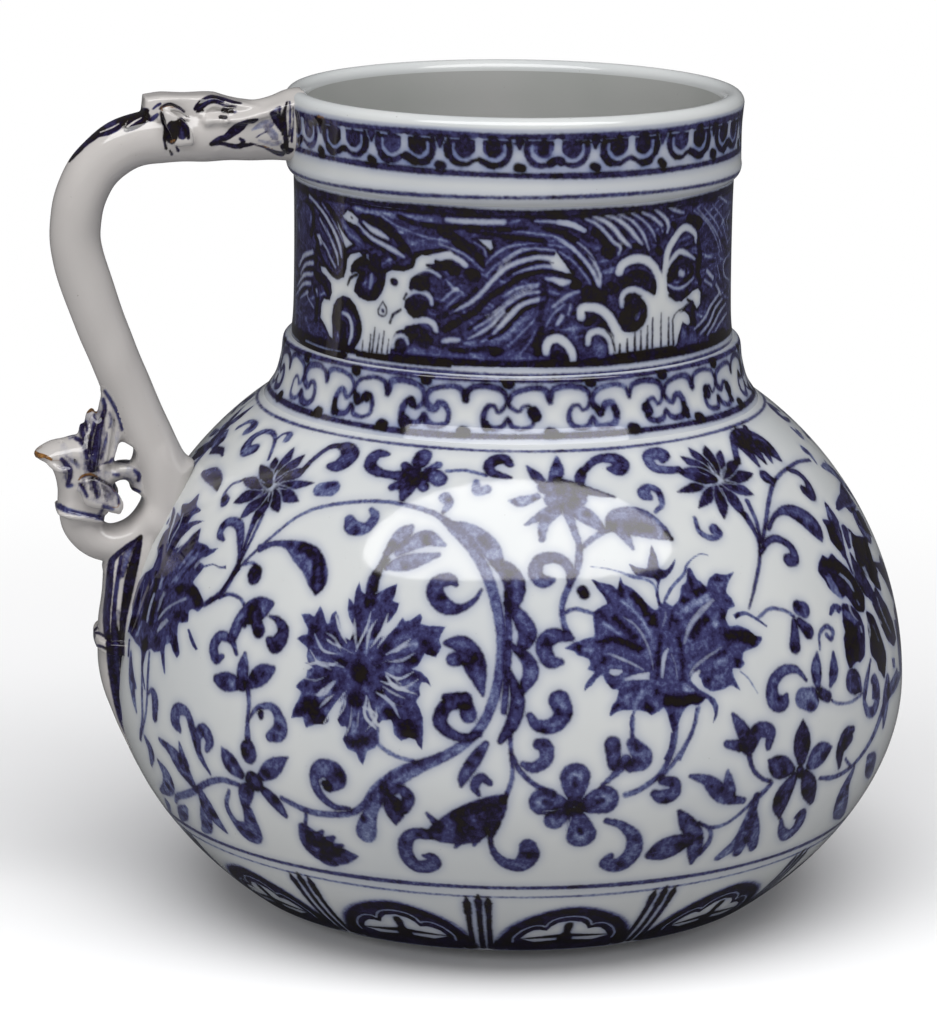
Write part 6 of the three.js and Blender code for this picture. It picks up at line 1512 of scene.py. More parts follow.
def mixed(nt, factor, a, b):
    n = node(nt, "ShaderNodeMix", data_type="RGBA")
    for k, v in ((0, factor), (6, a), (7, b)):
        if isinstance(v, (int, float, tuple)):
            n.inputs[k].default_value = v
        else:
            nt.links.new(v, n.inputs[k])
    return n.outputs[2]


def ramp(nt, value, stops):
    n = node(nt, "ShaderNodeValToRGB")
    e = n.color_ramp.elements
    while len(e) < len(stops):
        e.new(.5)
    for k, (at, colour) in enumerate(stops):
        e[k].position = at
        e[k].color = (*colour, 1)
    nt.links.new(value, n.inputs[0])
    return n.outputs[0]


def srgb(*c):
    return tuple(((v / 255 + .055) / 1.055) ** 2.4 if v > 10 else v / 255 / 12.92 for v in c)


# The colours of cobalt from thin to thick, and of the clay, glaze and stains
COBALT = [
    (0, srgb(140, 149, 172)), (.25, srgb(92, 99, 134)), (.48, srgb(56, 56, 96)),
    (.72, srgb(35, 29, 60)), (.9, srgb(18, 11, 28)), (1, srgb(26, 21, 17))]
HALO_BLUE = (*srgb(106, 117, 153), 1)
SPECK_BROWN = (*srgb(84, 70, 58), 1)
RUST = [(.3, srgb(62, 38, 20)), (.7, srgb(146, 104, 56))]
BARE_CLAY = [(.3, srgb(168, 148, 124)), (.7, srgb(206, 192, 170))]


def material(name):
    """A new material with its node tree, its shader and the place of the point shaded."""
    m = bpy.data.materials.new(name)
    m.use_nodes = True
    nt = m.node_tree
    return m, nt, nt.nodes["Principled BSDF"], node(nt, "ShaderNodeTexCoord").outputs["Object"]


def bumped(nt, bs, height, strength, distance):
    bump = node(nt, "ShaderNodeBump", _Strength=strength, _Distance=distance * MM)
    nt.links.new(height, bump.inputs["Height"])
    nt.links.new(bump.outputs[0], bs.inputs["Normal"])


def centred(nt, value, strength):
    return sums(nt, "MULTIPLY", sums(nt, "SUBTRACT", value, .5), strength)


def glazed(name, low, high):
    """Clear glaze over white clay and cobalt. The points carry cover, tone, ochre and halo."""
    m, nt, bs, co = material(name)
    bs.inputs["Roughness"].default_value = .07
    bs.inputs["IOR"].default_value = 1.6
    cover, tone, brown, halo = (
        node(nt, "ShaderNodeAttribute", attribute_name=key).outputs["Fac"]
        for key in ("cover", "tone", "ochre", "halo"))
    ragged = centred(nt, noise(nt, co, .7, 3), .45)
    edge = ranged(nt, sums(nt, "ADD", cover, ragged), .13, .8)
    blotch = centred(nt, noise(nt, co, 1.8, 3, .6), .78)
    grain = centred(nt, noise(nt, co, .6, 2), .55)
    depth = sums(nt, "ADD", sums(nt, "ADD", tone, blotch), grain, True)
    blue = ramp(nt, depth, COBALT)
    white = ramp(nt, noise(nt, co, 26, 2), [(.3, srgb(*low)), (.7, srgb(*high))])
    white = mixed(nt, sums(nt, "MULTIPLY", halo, 1.1), white, HALO_BLUE)
    specks = ranged(nt, noise(nt, co, .42, 1), .79, .84, .55)
    white = mixed(nt, specks, white, SPECK_BROWN)
    colour = mixed(nt, edge, white, blue)
    rust = ramp(nt, noise(nt, co, .9, 3), RUST)
    colour = mixed(nt, ranged(nt, sums(nt, "ADD", brown, ragged), .25, .75), colour, rust)
    nt.links.new(colour, bs.inputs["Base Color"])
    ripple = sums(nt, "MULTIPLY", noise(nt, co, 1.1, 1), .08)
    bumped(nt, bs, sums(nt, "ADD", noise(nt, co, 7, 2), ripple), .3, .12)
    return m


def bare_clay(name):
    m, nt, bs, co = material(name)
    nt.links.new(ramp(nt, noise(nt, co, 3, 4), BARE_CLAY), bs.inputs["Base Color"])
    bs.inputs["Roughness"].default_value = .85
    bumped(nt, bs, noise(nt, co, .5, 4), .4, .08)
    return m


glaze = glazed("glaze", (189, 192, 193), (198, 200, 199))
glaze_handle = glazed("glaze_handle", (178, 174, 171), (187, 183, 180))
# A darker copy of the glaze for faces inside the jug: painted shade where the lamps hardly reach
glaze_painted_shade = glazed("glaze_painted_shade", (158, 161, 157), (170, 170, 168))

seam = int(np.argmin(abs(belly.z - SEAM_Z)))
up_inside = [(BELLY_INSIDE, SEAM_Z), (60.6, 46), (57, 58), (50, 68), (42, 76),
    (SHOULDER_INSIDE, SHOULDER_Z)]
low_inside = [(34, FOOT_Z), (.5, 1.75), (.5, FLOOR_Z), (40.5, 6.0), (50, 11.5), (58, 22), (61, 32),
    (BELLY_INSIDE, SEAM_Z)]
collar_inside = [(SHOULDER_INSIDE, SHOULDER_Z), (33.5, 88), (NECK_INSIDE, COLLAR_Z)]
neck_inside = [(NECK_INSIDE, COLLAR_Z), (NECK_INSIDE, RIM_Z)]
lip_inside = [(RIM_INSIDE, RIM_Z), (RIM_INSIDE, 127), (RIM_INSIDE, LIP_Z)]
lip_inside += [(35.05 - 1.75 * math.cos(t), LIP_Z + 1.7 * math.sin(t)) for t in np.linspace(.2, 2.9, 14)]
# The number after each inside is how many of its rows take the darker glaze of painted shade
painted("upper_bowl_painted", belly, slice(0, seam + 1), up_inside, 9, "cobalt_under_glaze",
    "upper_bowl")
painted("lower_bowl_painted", belly, slice(seam, None), low_inside, 0, "cobalt_under_glaze",
    "lower_bowl")
painted("collar_painted", collar, slice(None), collar_inside, 3, "cobalt_under_glaze", "collar")
painted("neck_painted", neck, slice(None), neck_inside, 2, "cobalt_under_glaze", "neck")
painted("mouth_rim_painted", rim, slice(None), lip_inside, 2, "cobalt_under_glaze", "mouth_rim")


# Handle. Its shapes and strokes are given as the camera sees them and laid on the plane of the handle;
# what the camera does not see is the mirror of what it sees.
def on_plane(p):
    ray = ray_to(p)
    hit = eye + ray * (-eye[1] / ray[..., 1:2])
    return hit[..., [0, 2]]


STEP = .27
xs, ys, zs = np.arange(-73, -26, STEP), np.arange(0, 9.8, STEP), np.arange(11, 134.5, STEP)
PLANE = np.stack(np.meshgrid(xs, zs, indexing="ij"), -1)
Y = ys[None, :, None]


def nearest(rows):
    """Distance on the plane to a line, and the rows' other values at the nearest place.

    The first of those values is a half depth in the picture, and the nearest place counts from there.
    """
    rows = spline(rows, 6)
    at = on_plane(rows[:, :2])
    best = np.full(PLANE.shape[:2], HUGE)
    far = best.copy()
    values = np.zeros(best.shape + (rows.shape[1] - 2,))
    for a, b, va, vb in zip(at, at[1:], rows[:, 2:], rows[1:, 2:]):
        q, dist = to_segment(PLANE, a, b)
        v = va + q[..., None] * (vb - va)
        beyond = dist - v[..., 0] / PER_MM
        closer = beyond < best
        best = np.where(closer, beyond, best)
        far = np.where(closer, dist, far)
        values = np.where(closer[..., None], v, values)
    return far, values


def rod(rows, n=2.2):
    """A bar along a line; each row is u, v, half depth in the picture and half width in millimetres."""
    far, v = nearest(rows)
    depth, wide = v[..., 0] / PER_MM, v[..., 1]
    f = ((far / depth)[:, None, :] ** n + (Y / wide[:, None, :]) ** n) ** (1 / n) - 1
    return f * np.minimum(depth, wide)[:, None, :]


def ridge(rows):
    """A thin cord; each row is u, v, radius in the picture and millimetres from the mirror plane."""
    far, v = nearest(rows)
    return np.hypot(far[:, None, :], Y - v[..., 1][:, None, :]) - (v[..., 0] / PER_MM)[:, None, :]


def outline(corners, round_by=8):
    """Distance on the plane to a closed line, less than nothing inside it."""
    c = np.asarray(corners, float)
    c = np.vstack([c, c[:1]])
    at = on_plane(spline(c, round_by) if round_by else c)
    best = np.full(PLANE.shape[:2], HUGE)
    for a, b in zip(at, at[1:]):
        best = np.minimum(best, to_segment(PLANE, a, b)[1])
    return np.where(within(at, PLANE[..., 0], PLANE[..., 1]), -best, best)


def pillow(corners, wide, soft, n=2.0, round_by=8, middle=0.0):
    """A flat shape, wide each way from its middle distance and rounded over soft at its edge."""
    d = outline(corners, round_by)
    f = (np.maximum(0, 1 + d / soft)[:, None, :] ** n + (np.abs(Y - middle) / wide) ** n) ** (1 / n) - 1
    return f * min(wide, soft)


def blend(a, b, k):
    h = np.clip(.5 + .5 * (b - a) / k, 0, 1)
    return b + (a - b) * h - k * h * (1 - h)


def carve(a, b, k):
    return -blend(-a, b, k)


# Head and bar
clay = rod([
    (306, 124, 36, 7.6), (297, 124, 36, 6.6), (284, 126, 33, 5.6), (262, 129, 30, 5.0),
    (236, 131, 28, 4.9), (205, 133.4, 26.6, 5.2), (176, 134.8, 25.8, 5.1), (160, 135.4, 26, 5.0),
    (144, 137.4, 26, 4.9), (129, 141.8, 25.8, 4.8), (115, 149, 25.4, 4.7), (102.6, 158.6, 25, 4.7),
    (92.6, 170, 25, 4.7), (85, 183, 25.2, 4.7), (79.6, 197, 25, 4.7), (76.4, 212, 25, 4.7),
    (74.5, 235, 25.4, 4.7), (77.5, 255, 25.4, 4.7), (84.5, 279, 25.4, 4.6), (96, 312, 25, 4.5),
    (110, 346, 24.4, 4.4), (124, 380, 24, 4.4), (138, 412, 24, 4.5), (150, 440, 24.6, 4.7),
    (160, 466, 25, 5), (166, 492, 25, 5.4), (163, 516, 26, 5.8),
], 2.25)
comb = pillow([
    (142.6, 96), (143, 94.4), (160, 92.6), (205, 92.4), (216, 92.6), (240, 99.4), (258, 102),
    (262, 114), (200, 118), (146, 116), (141.6, 112),
], 3.5, .8, 4, 0)
clay = blend(clay, comb, .45)
clay = blend(clay, rod([
    (205, 117, 7, 5.3), (222, 116, 6, 5.2), (240, 115, 6, 5.1), (260, 110, 7, 5.2), (280, 103, 8, 5.6),
    (300, 98, 8, 6.4),
], 2.6), .5)
for brow in (
    [(193, 109, 1.9, 3.5), (198, 102, 2.2, 3.6), (206, 97, 2.2, 3.6), (213, 96.4, 2.2, 3.5),
     (224, 100, 2, 3.4), (236, 103, 1.5, 3.1)],
    [(199, 110, 1.3, 3.7), (206, 103, 1.6, 3.8), (213, 101.6, 1.6, 3.7), (222, 104.6, 1.4, 3.6),
     (230, 107, 1.1, 3.5)],
):
    clay = blend(clay, ridge(brow), .25)
for u, v, r, y in ((228, 110.6, 3.4, 3.9), (222.4, 116, 2.6, 5.3), (199.4, 111.4, 3, 3.9)):
    clay = blend(clay, ridge([(u - .5, v, r, y), (u + .5, v, r, y)]), .2)
# Ear: a leaf that stands out, and the dark arc over it
ear = pillow([
    (160.5, 104.5), (167, 106), (178, 113), (187, 124), (189.5, 138), (184, 139.5), (176, 141),
    (169.5, 139), (166, 128), (161, 116),
], .75, .7, 2, 4, 5.75)
clay = blend(clay, ear, .5)
clay = blend(clay, ridge([
    (158, 113, 3, 4.4), (162, 104.6, 3.2, 4.9), (169, 102.8, 2.8, 5), (178, 106, 2.2, 4.8),
    (185, 112, 1.4, 4.6),
]), .35)
clay = carve(clay, ridge([
    (184, 150, 1.1, 5.2), (210, 151, 1.2, 5.0), (240, 152, 1.2, 4.6), (268, 157, 1.2, 4.4),
]), .3)
clay = carve(clay, ridge([
    (212, 143, 1.2, 5.1), (228, 132, 1.4, 5.3), (246, 122, 1.4, 5.3), (257, 119, 1, 5.3),
]), .35)
clay = carve(clay, ridge([
    (212, 143, 1.2, 5.1), (240, 145, 1.5, 5.3), (262, 149, 1.4, 5.4), (283, 154, 1.4, 5.4),
]), .35)
# Web to the shoulder, tail loop and strap
web = pillow([
    (163, 440), (173, 449), (182, 455.6), (189, 457.4), (194, 462), (186, 482), (165, 520), (146, 556),
    (141, 500), (150, 450),
], 3.8, 2.4, 2)
clay = blend(clay, web, 2.0)
clay = blend(clay, rod([
    (81.5, 500, 22.4, 4.0), (81.5, 512, 22.2, 4.0), (83.6, 522, 21.6, 4.0), (91, 533, 20, 4.1),
    (103, 540, 19.4, 4.4), (118, 541, 20, 4.8), (134, 534, 21, 5.2), (150, 520, 22, 5.4),
], 2.2), 1.4)
far, v = nearest([
    (134, 530, 4, 5.6), (126, 560, 4, 6.2), (121, 590, 4, 6.5), (117.5, 620, 4, 6.6),
    (117, 650, 4, 6.4), (120, 680, 4, 5.6), (128, 712, 4, 4.2), (139, 744, 4, 2.8), (150, 770, 4, 1.8),
    (163, 792, 4, 1.0), (174, 806, 4, .4),
])
edge = outline([
    (150, 528), (141, 531), (120, 545), (103, 563), (102.6, 575), (101.6, 598), (98.4, 622),
    (97.4, 640), (97.2, 652), (98.4, 667), (104, 690), (114.6, 717), (125.6, 741), (133.4, 757),
    (142.6, 773), (154, 790), (168, 806), (180, 813), (190, 800), (182, 764), (174, 700), (170, 640),
    (170, 560),
], 6)
wide = np.maximum(v[..., 1], .3)[:, None, :]
soft, n = 2.4, 2.6
f = (np.maximum(0, 1 + edge / soft)[:, None, :] ** n + (Y / wide) ** n) ** (1 / n) - 1
strap = f * np.minimum(soft, wide)
clay = blend(clay, strap, 1.1)
across = np.abs(PLANE[..., 1] + .06 * (PLANE[..., 0] + 58) - 43.7)[:, None, :]
clay = blend(clay, carve(strap - .7, 1.0 - across, .3), .25)
for inset in (
    [(112, 561, 1.5, 5.9), (107, 590, 1.5, 6.5), (104.6, 626, 1.5, 6.8)],
    [(105, 650, 1.5, 6.5), (109, 676, 1.5, 5.7), (118, 708, 1.5, 4.3), (130, 738, 1.3, 2.6)],
):
    clay = carve(clay, ridge(inset), .5)

# Blossom: cup and outward petal, fronds, curl to the bar, and the side petal with its rim
bloom = pillow([
    (58.6, 508), (57, 488), (54, 474), (49, 464), (40, 457.4), (35.2, 453.6), (35.8, 450.6), (42, 446),
    (51.5, 441), (63.6, 438), (76, 435.6), (90, 440), (106, 462), (112, 486), (106, 516), (80, 514),
], 4.3, 2.4, 2.1, 4)
bloom = blend(bloom, pillow([
    (80, 452), (78, 436), (79.6, 428.6), (84, 423.4), (86, 412.6), (91.4, 408.6), (96.2, 411.6),
    (98.8, 402), (102, 391.6), (105.2, 388.8), (112, 401), (119.4, 416), (124.4, 434), (116.6, 443.6),
    (113.6, 454), (112, 470), (96, 478),
], 2.9, 1.8,
        2, 3), .7)
for frond in (
    [(103.6, 391, 2, 1.2), (107, 408, 2.6, 2.6), (106, 430, 3, 3.0), (103, 452, 3, 3.2),
     (98, 468, 2.4, 3.4)],
    [(92, 410, 2, 1.0), (95, 424, 2.6, 2.6), (95, 444, 3, 3.1), (92, 464, 2.4, 3.6)],
    [(82, 426, 2, .8), (84, 440, 2.6, 3.2), (86, 460, 2.4, 4.0)],
    [(114, 408, 2, 1.4), (119, 424, 2.4, 2.0), (114, 440, 2.4, 2.4), (109, 458, 2.2, 3.0)],
):
    bloom = blend(bloom, ridge(frond), .5)
for groove in (
    [(99.6, 404, 1.1, 1.8), (101, 424, 1.5, 3.2), (98.6, 448, 1.5, 3.5), (95, 466, 1, 4)],
    [(88.6, 418, 1.1, 1.6), (89.6, 436, 1.4, 3.3), (89, 458, 1.2, 3.9)],
    [(111.6, 410, 1, 2.0), (113, 426, 1.3, 2.7), (109.6, 444, 1.2, 3.2)],
    [(60, 441, 1.4, 1.2), (72, 452, 1.8, 3.9), (77, 472, 1.8, 4.5)],
):
    bloom = carve(bloom, ridge(groove), .4)
bloom = blend(bloom, rod([
    (106, 474, 10, 3.0), (118, 470, 8.5, 2.9), (129, 470.5, 9, 2.8), (136, 477, 9, 2.8),
    (139.6, 487, 9, 2.8), (148, 494, 9, 2.8),
], 2.1), .5)
bloom = carve(bloom, ridge([(112, 482, 1.4, 3.1), (122, 478, 1.8, 3.0), (130, 482, 1.6, 2.9)]), .4)
bloom = blend(bloom, ridge([(119, 466, 2.6, 2.6), (129, 466, 3, 2.6), (134, 473, 2.6, 2.6)]), .3)
leaf = [
    (77, 482), (81, 475.6), (90.4, 473.2), (100, 477.6), (110, 484), (117, 494), (119.6, 503),
    (116.6, 507.2), (109, 505), (100, 502), (90, 501), (82, 496.4),
]
bloom = blend(bloom, pillow(leaf, .8, 1.0, 2, 4, 4.9), .4)
far, v = nearest([(u, w, 2.6, 5.5 - .5 * abs(k - 3) / 3) for k, (u, w) in enumerate(leaf[:8])])
bloom = blend(bloom, np.hypot(far[:, None, :], Y - v[..., 1][:, None, :]) - .42, .3)
bloom = blend(bloom, ridge([
    (37, 453.6, 2.2, .4), (45, 455, 2.6, 2.8), (51, 460, 2.8, 4.0), (58, 464, 2.6, 4.5),
    (67, 464, 2, 4.5),
]), .4)
bloom = blend(bloom, rod([(57.6, 507.5, 2.4, 4.4), (81, 512, 3.6, 4.6), (104, 515.6, 2.6, 4.2)], 3), .35)
bloom = blend(bloom, rod([(70, 505, 10, 4.2), (92, 508, 10, 4.2)], 2.4), .6)
from_axis = np.hypot(PLANE[..., 0][:, None, :] - AXIS, Y)
clay = np.maximum(clay, 34.4 - from_axis)
whole = blend(clay, bloom, .8)
gap_under_bloom = outline([
    (116.6, 450), (119, 443), (125, 440.4), (131.6, 442.6), (135, 449), (133.6, 457), (127, 461.4),
    (120, 458.6),
], 4)
gap_over_tail = outline([
    (103.6, 512), (103.8, 520.6), (110, 525.4), (119.4, 525.2), (129, 520.4), (138.6, 508.4),
    (141.8, 498.8), (139.4, 493.4), (134, 491), (128.6, 494.4), (121.8, 500.4), (117.4, 507),
    (110.6, 508),
], 4)
for gap, k in ((gap_under_bloom, .5), (gap_over_tail, .9)):
    whole = carve(whole, np.broadcast_to(gap[:, None, :], whole.shape), k)
across_x, up_z = PLANE[..., 0], PLANE[..., 1]
wobble = .05 * np.sin(across_x * .9 + 1.3 * np.sin(up_z * .31)) + .05 * np.sin(up_z * .47 + .8)
whole = whole + wobble[:, None, :]
blossom_side = outline([
    (20, 380), (104, 380), (113, 392), (123, 424), (127, 436), (133, 436), (139, 462), (142.6, 486),
    (146, 500), (139, 492), (128, 500), (110, 516), (104, 519), (80, 514.5), (56, 510.5), (20, 500),
], 0)[:, None, :]


def skinned(f):
    """The surface where f is nothing, with one point in each cell that it passes, and its mirror."""
    f = np.concatenate([f[:, :0:-1], f], 1)
    cells = tuple(n - 1 for n in f.shape)
    total, count, quads = np.zeros((3, math.prod(cells))), np.zeros(math.prod(cells)), []
    for axis in range(3):
        a, b = np.delete(f, -1, axis), np.delete(f, 0, axis)
        idx = np.argwhere((a < 0) != (b < 0))
        o1, o2 = [k for k in range(3) if k != axis]
        keep = (idx[:, o1] > 0) & (idx[:, o1] < f.shape[o1] - 1)
        keep &= (idx[:, o2] > 0) & (idx[:, o2] < f.shape[o2] - 1)
        idx = idx[keep]
        va, vb = a[tuple(idx.T)], b[tuple(idx.T)]
        at = idx.astype(float)
        at[:, axis] += va / (va - vb)
        corners = []
        for d1, d2 in ((-1, -1), (0, -1), (0, 0), (-1, 0)):
            c = idx.copy()
            c[:, o1] += d1
            c[:, o2] += d2
            flat = np.ravel_multi_index(tuple(c.T), cells)
            count += np.bincount(flat, minlength=len(count))
            for k in range(3):
                total[k] += np.bincount(flat, at[:, k], len(count))
            corners.append(flat)
        q = np.stack(corners, 1)
        flip = (va < 0) == (axis == 1)
        q[flip] = q[flip][:, ::-1]
        quads.append(q)
    used = count > 0
    number = np.cumsum(used) - 1
    p = (total[:, used] / count[used]).T
    points = np.stack([xs[0] + p[:, 0] * STEP, (p[:, 1] - (len(ys) - 1)) * STEP, zs[0] + p[:, 2] * STEP],
        1)
    return points, number[np.vstack(quads)]


class Skin:
    """Strokes as the camera sees them, laid on the points of a skin and on their mirrors."""

    def __init__(self, points):
        self.at = seen(points * (1, 0, 1) - np.abs(points) * (0, 1, 0))
        self.cover, self.tone, self.ochre = np.zeros((3, len(points)))

    def stroke(self, rows, tone, kind="ink", soft=2.2):
        rows = spline(rows, 5)
        reach = rows[:, 2].max() / 2 + soft + 2
        low, high = rows[:, :2].min(0) - reach, rows[:, :2].max(0) + reach
        near = np.all((self.at > low) & (self.at < high), 1)
        p = self.at[near]
        edge = np.full(len(p), HUGE)
        for a, b in zip(rows, rows[1:]):
            q, dist = to_segment(p, a[:2], b[:2])
            edge = np.minimum(edge, dist - (a[2] + q * (b[2] - a[2])) / 2)
        share = blurred(edge, soft)
        if kind == "ink":
            self.cover[near] = np.maximum(self.cover[near], share * min(1, 1.9 * tone))
            self.tone[near] = 1 - (1 - self.tone[near]) * (1 - tone * blurred(edge - 1, soft))
        else:
            lay(self, near, kind, tone, share, share)


def head_paint(s):
    for tone, rows in [
        # Mane on the outer curve, with its oval spot
        (.9, [(69, 160, 3), (77, 151, 5), (85, 142.6, 6), (94, 135.6, 7), (101, 130, 7)]),
        (.7, [(92, 135, 7), (103, 129, 12), (114, 122.6, 13), (122, 118, 9)]),
        (.5, [(97, 135, 4), (108, 132, 5), (117, 127.6, 5), (125, 120, 4)]),
        (.8, [(118, 121, 3), (128, 115.5, 6), (138, 111.5, 8), (146, 110, 6)]),
        (.85, [(124, 130, 1.6), (123.6, 124, 2), (128, 118, 2), (138, 113, 3), (145, 113, 5),
         (148, 117, 5), (144, 122, 3), (134, 128, 2.4), (126, 130.5, 1.6)]),
        (.9, [(128, 126, 6), (134, 121, 12), (141, 117, 10), (145, 114, 7)]),
        (.5, [(146, 120, 3), (152, 118, 5), (157, 114, 4)]),
        (.6, [(153, 108, 2), (157, 104.5, 3), (160, 103, 3)]),
        # Ear, its two small legs and the dark arc over it
        (.95, [(160, 108, 3), (165, 104.4, 3.4), (171, 103.6, 3.6), (178, 106.5, 3.2),
         (184, 111, 2.4)]),
        (.9, [(161, 112, 3), (163, 120, 5), (164.6, 126, 3), (164, 138, 3), (166, 148, 3)]),
        (.98, [(177, 119, 4), (173, 126, 13), (171, 134, 14), (171.6, 139, 9)]),
        (.8, [(181, 119, 5), (186, 127, 6), (188, 137, 4)]), (.6, [(180.6, 124, 8), (182, 134, 10)]),
        (.8, [(169, 149, 1.6), (171.6, 153.4, 3)]), (.85, [(176, 146, 2), (178, 150, 3.2)]),
        # Brows and eyes
        (.85, [(195, 108, 4), (199, 102.6, 4.4), (206, 97.4, 3.8), (212, 95.4, 3), (222, 97.6, 3),
         (232, 101, 3.6), (241, 102.6, 2)]),
        (.7, [(203, 107, 2), (208, 103, 2.4), (215, 101.4, 2.4), (224, 104.6, 2.4), (236, 106, 2)]),
        (.5, [(200, 107, 6), (206, 100.6, 8), (214, 98.6, 7), (222, 100, 5)]),
        (.97, [(197, 110.4, 3.4), (202, 110, 4)]), (.97, [(223.4, 109.6, 5.4), (230.6, 110, 5.8)]),
        (.97, [(220.4, 116.4, 4.2), (225.6, 116.6, 4)]), (.4, [(231, 112, 3), (236, 111, 3)]),
        # Jaws, whisker and the strokes where the mouth takes the rim
        (.85, [(211, 143, 4), (219, 138.6, 6), (226, 136.6, 7), (234, 130, 10), (241, 125.4, 9),
         (247, 121, 4), (252, 120.4, 5), (257, 119, 2.6)]),
        (.9, [(246.4, 118, 1.4), (247.4, 122, 3)]),
        (.85, [(211, 143.6, 4), (222, 143, 3.4), (234, 145.6, 5), (241, 145, 5), (252, 143.6, 3)]),
        (.8, [(240, 138, 3), (243, 141, 5), (240, 146, 5)]),
        (.75, [(250, 142.6, 2), (262, 146, 2), (272, 149.6, 2), (284, 153, 3)]),
        (.7, [(266, 148, 2), (276, 153, 2.6), (282, 154, 4)]),
        (.3, [(252, 129, 3), (262, 124, 8), (271, 122, 9)]), (.3, [(268, 128, 9), (275, 136, 9)]),
        (.25, [(259, 140, 4), (272, 143, 6), (280, 142, 6)]), (.35, [(272, 113, 6), (279, 108, 6)]),
        (.8, [(272, 113, 5), (276, 117, 9), (279, 123, 8), (281, 130, 3)]),
        (.9, [(287, 101, 2), (284.4, 112, 4), (284.6, 126, 5), (286, 142, 5), (287, 152, 3)]),
        (.7, [(279.6, 106, 2), (280, 116, 3), (282.6, 134, 2.4)]),
        (.6, [(289.6, 101, 1.6), (290, 118, 2.4), (289, 136, 2)]),
        (.7, [(293, 106, 1.4), (293, 122, 2), (291.6, 141, 3)]),
        (.9, [(283, 146, 6), (287.6, 150, 7), (292, 149, 4)]),
        (.6, [(256, 137, 1.4), (262, 133, 1.4), (268, 131, 1.2)]),
    ]:
        s.stroke(rows, tone)
    # Lifted pigment: two pale veins in the mane, and the pale top of the ear, which is partly unpainted
    # glaze and partly painted highlight
    for rows in (
        [(127, 126, 2), (134, 121, 2), (141, 117, 1.2)],
        [(162, 108.6, 2), (166, 112, 4), (172, 117, 6), (176, 118, 3)],
        [(100, 131.4, 1.4), (111, 127, 1.6), (119, 122.6, 1.2)],
    ):
        s.stroke(rows, .85, "lift", 1.4)
    for rows in (
        [(160.6, 107, 2), (162.4, 109.6, 2.2)], [(162, 106.4, 1), (168, 105.6, 1.4), (175, 107, 1)],
        [(171, 141, 3), (174, 140, 3)], [(262, 145, 1.2), (272, 148, 1.2)],
    ):
        s.stroke(rows, .8, "ochre", 1.4)


def strap_paint(s):
    for tone, rows in [
        (.8, [(141, 536, 2), (128, 545, 3), (114, 557, 4), (110.6, 565, 5), (108.6, 590, 5.4),
         (106.4, 612, 5.4), (106.6, 630, 5), (109.4, 648, 5), (111, 668, 5), (114, 690, 4.4),
         (119.4, 714, 4), (128, 736, 3), (140, 762, 1.6)]),
        (.7, [(121, 556, 2.4), (118, 575, 3), (114.6, 600, 3), (113.6, 622, 4), (115.6, 640, 8),
         (115, 664, 6), (119, 690, 4), (124, 712, 3), (133, 734, 2)]),
        (.95, [(140.6, 536, 2.6), (138, 547, 5), (134, 562, 7), (129.6, 580, 8), (126.4, 598, 6.6),
         (123, 618, 5), (121.6, 640, 4), (122.4, 668, 3), (127, 700, 3), (134, 728, 3), (144, 752, 2)]),
        (.4, [(134, 544, 6), (126, 556, 8), (121, 574, 6)]), (.3, [(116, 612, 6), (113, 632, 7)]),
        (.85, [(93.4, 632.6, 2), (99, 633, 1.6), (108, 637.4, 2)]),
        (.8, [(94.4, 645, 2), (101, 646, 1.6), (108, 649.4, 2)]), (.6, [(93.6, 634, 2), (94, 643, 2)]),
    ]:
        s.stroke([(u, v, w * 1.3 + .8) for u, v, w in rows], tone * .92, soft=3)
    s.stroke([(97, 639, 5), (103, 640.6, 5)], .9, "lift", 1.6)


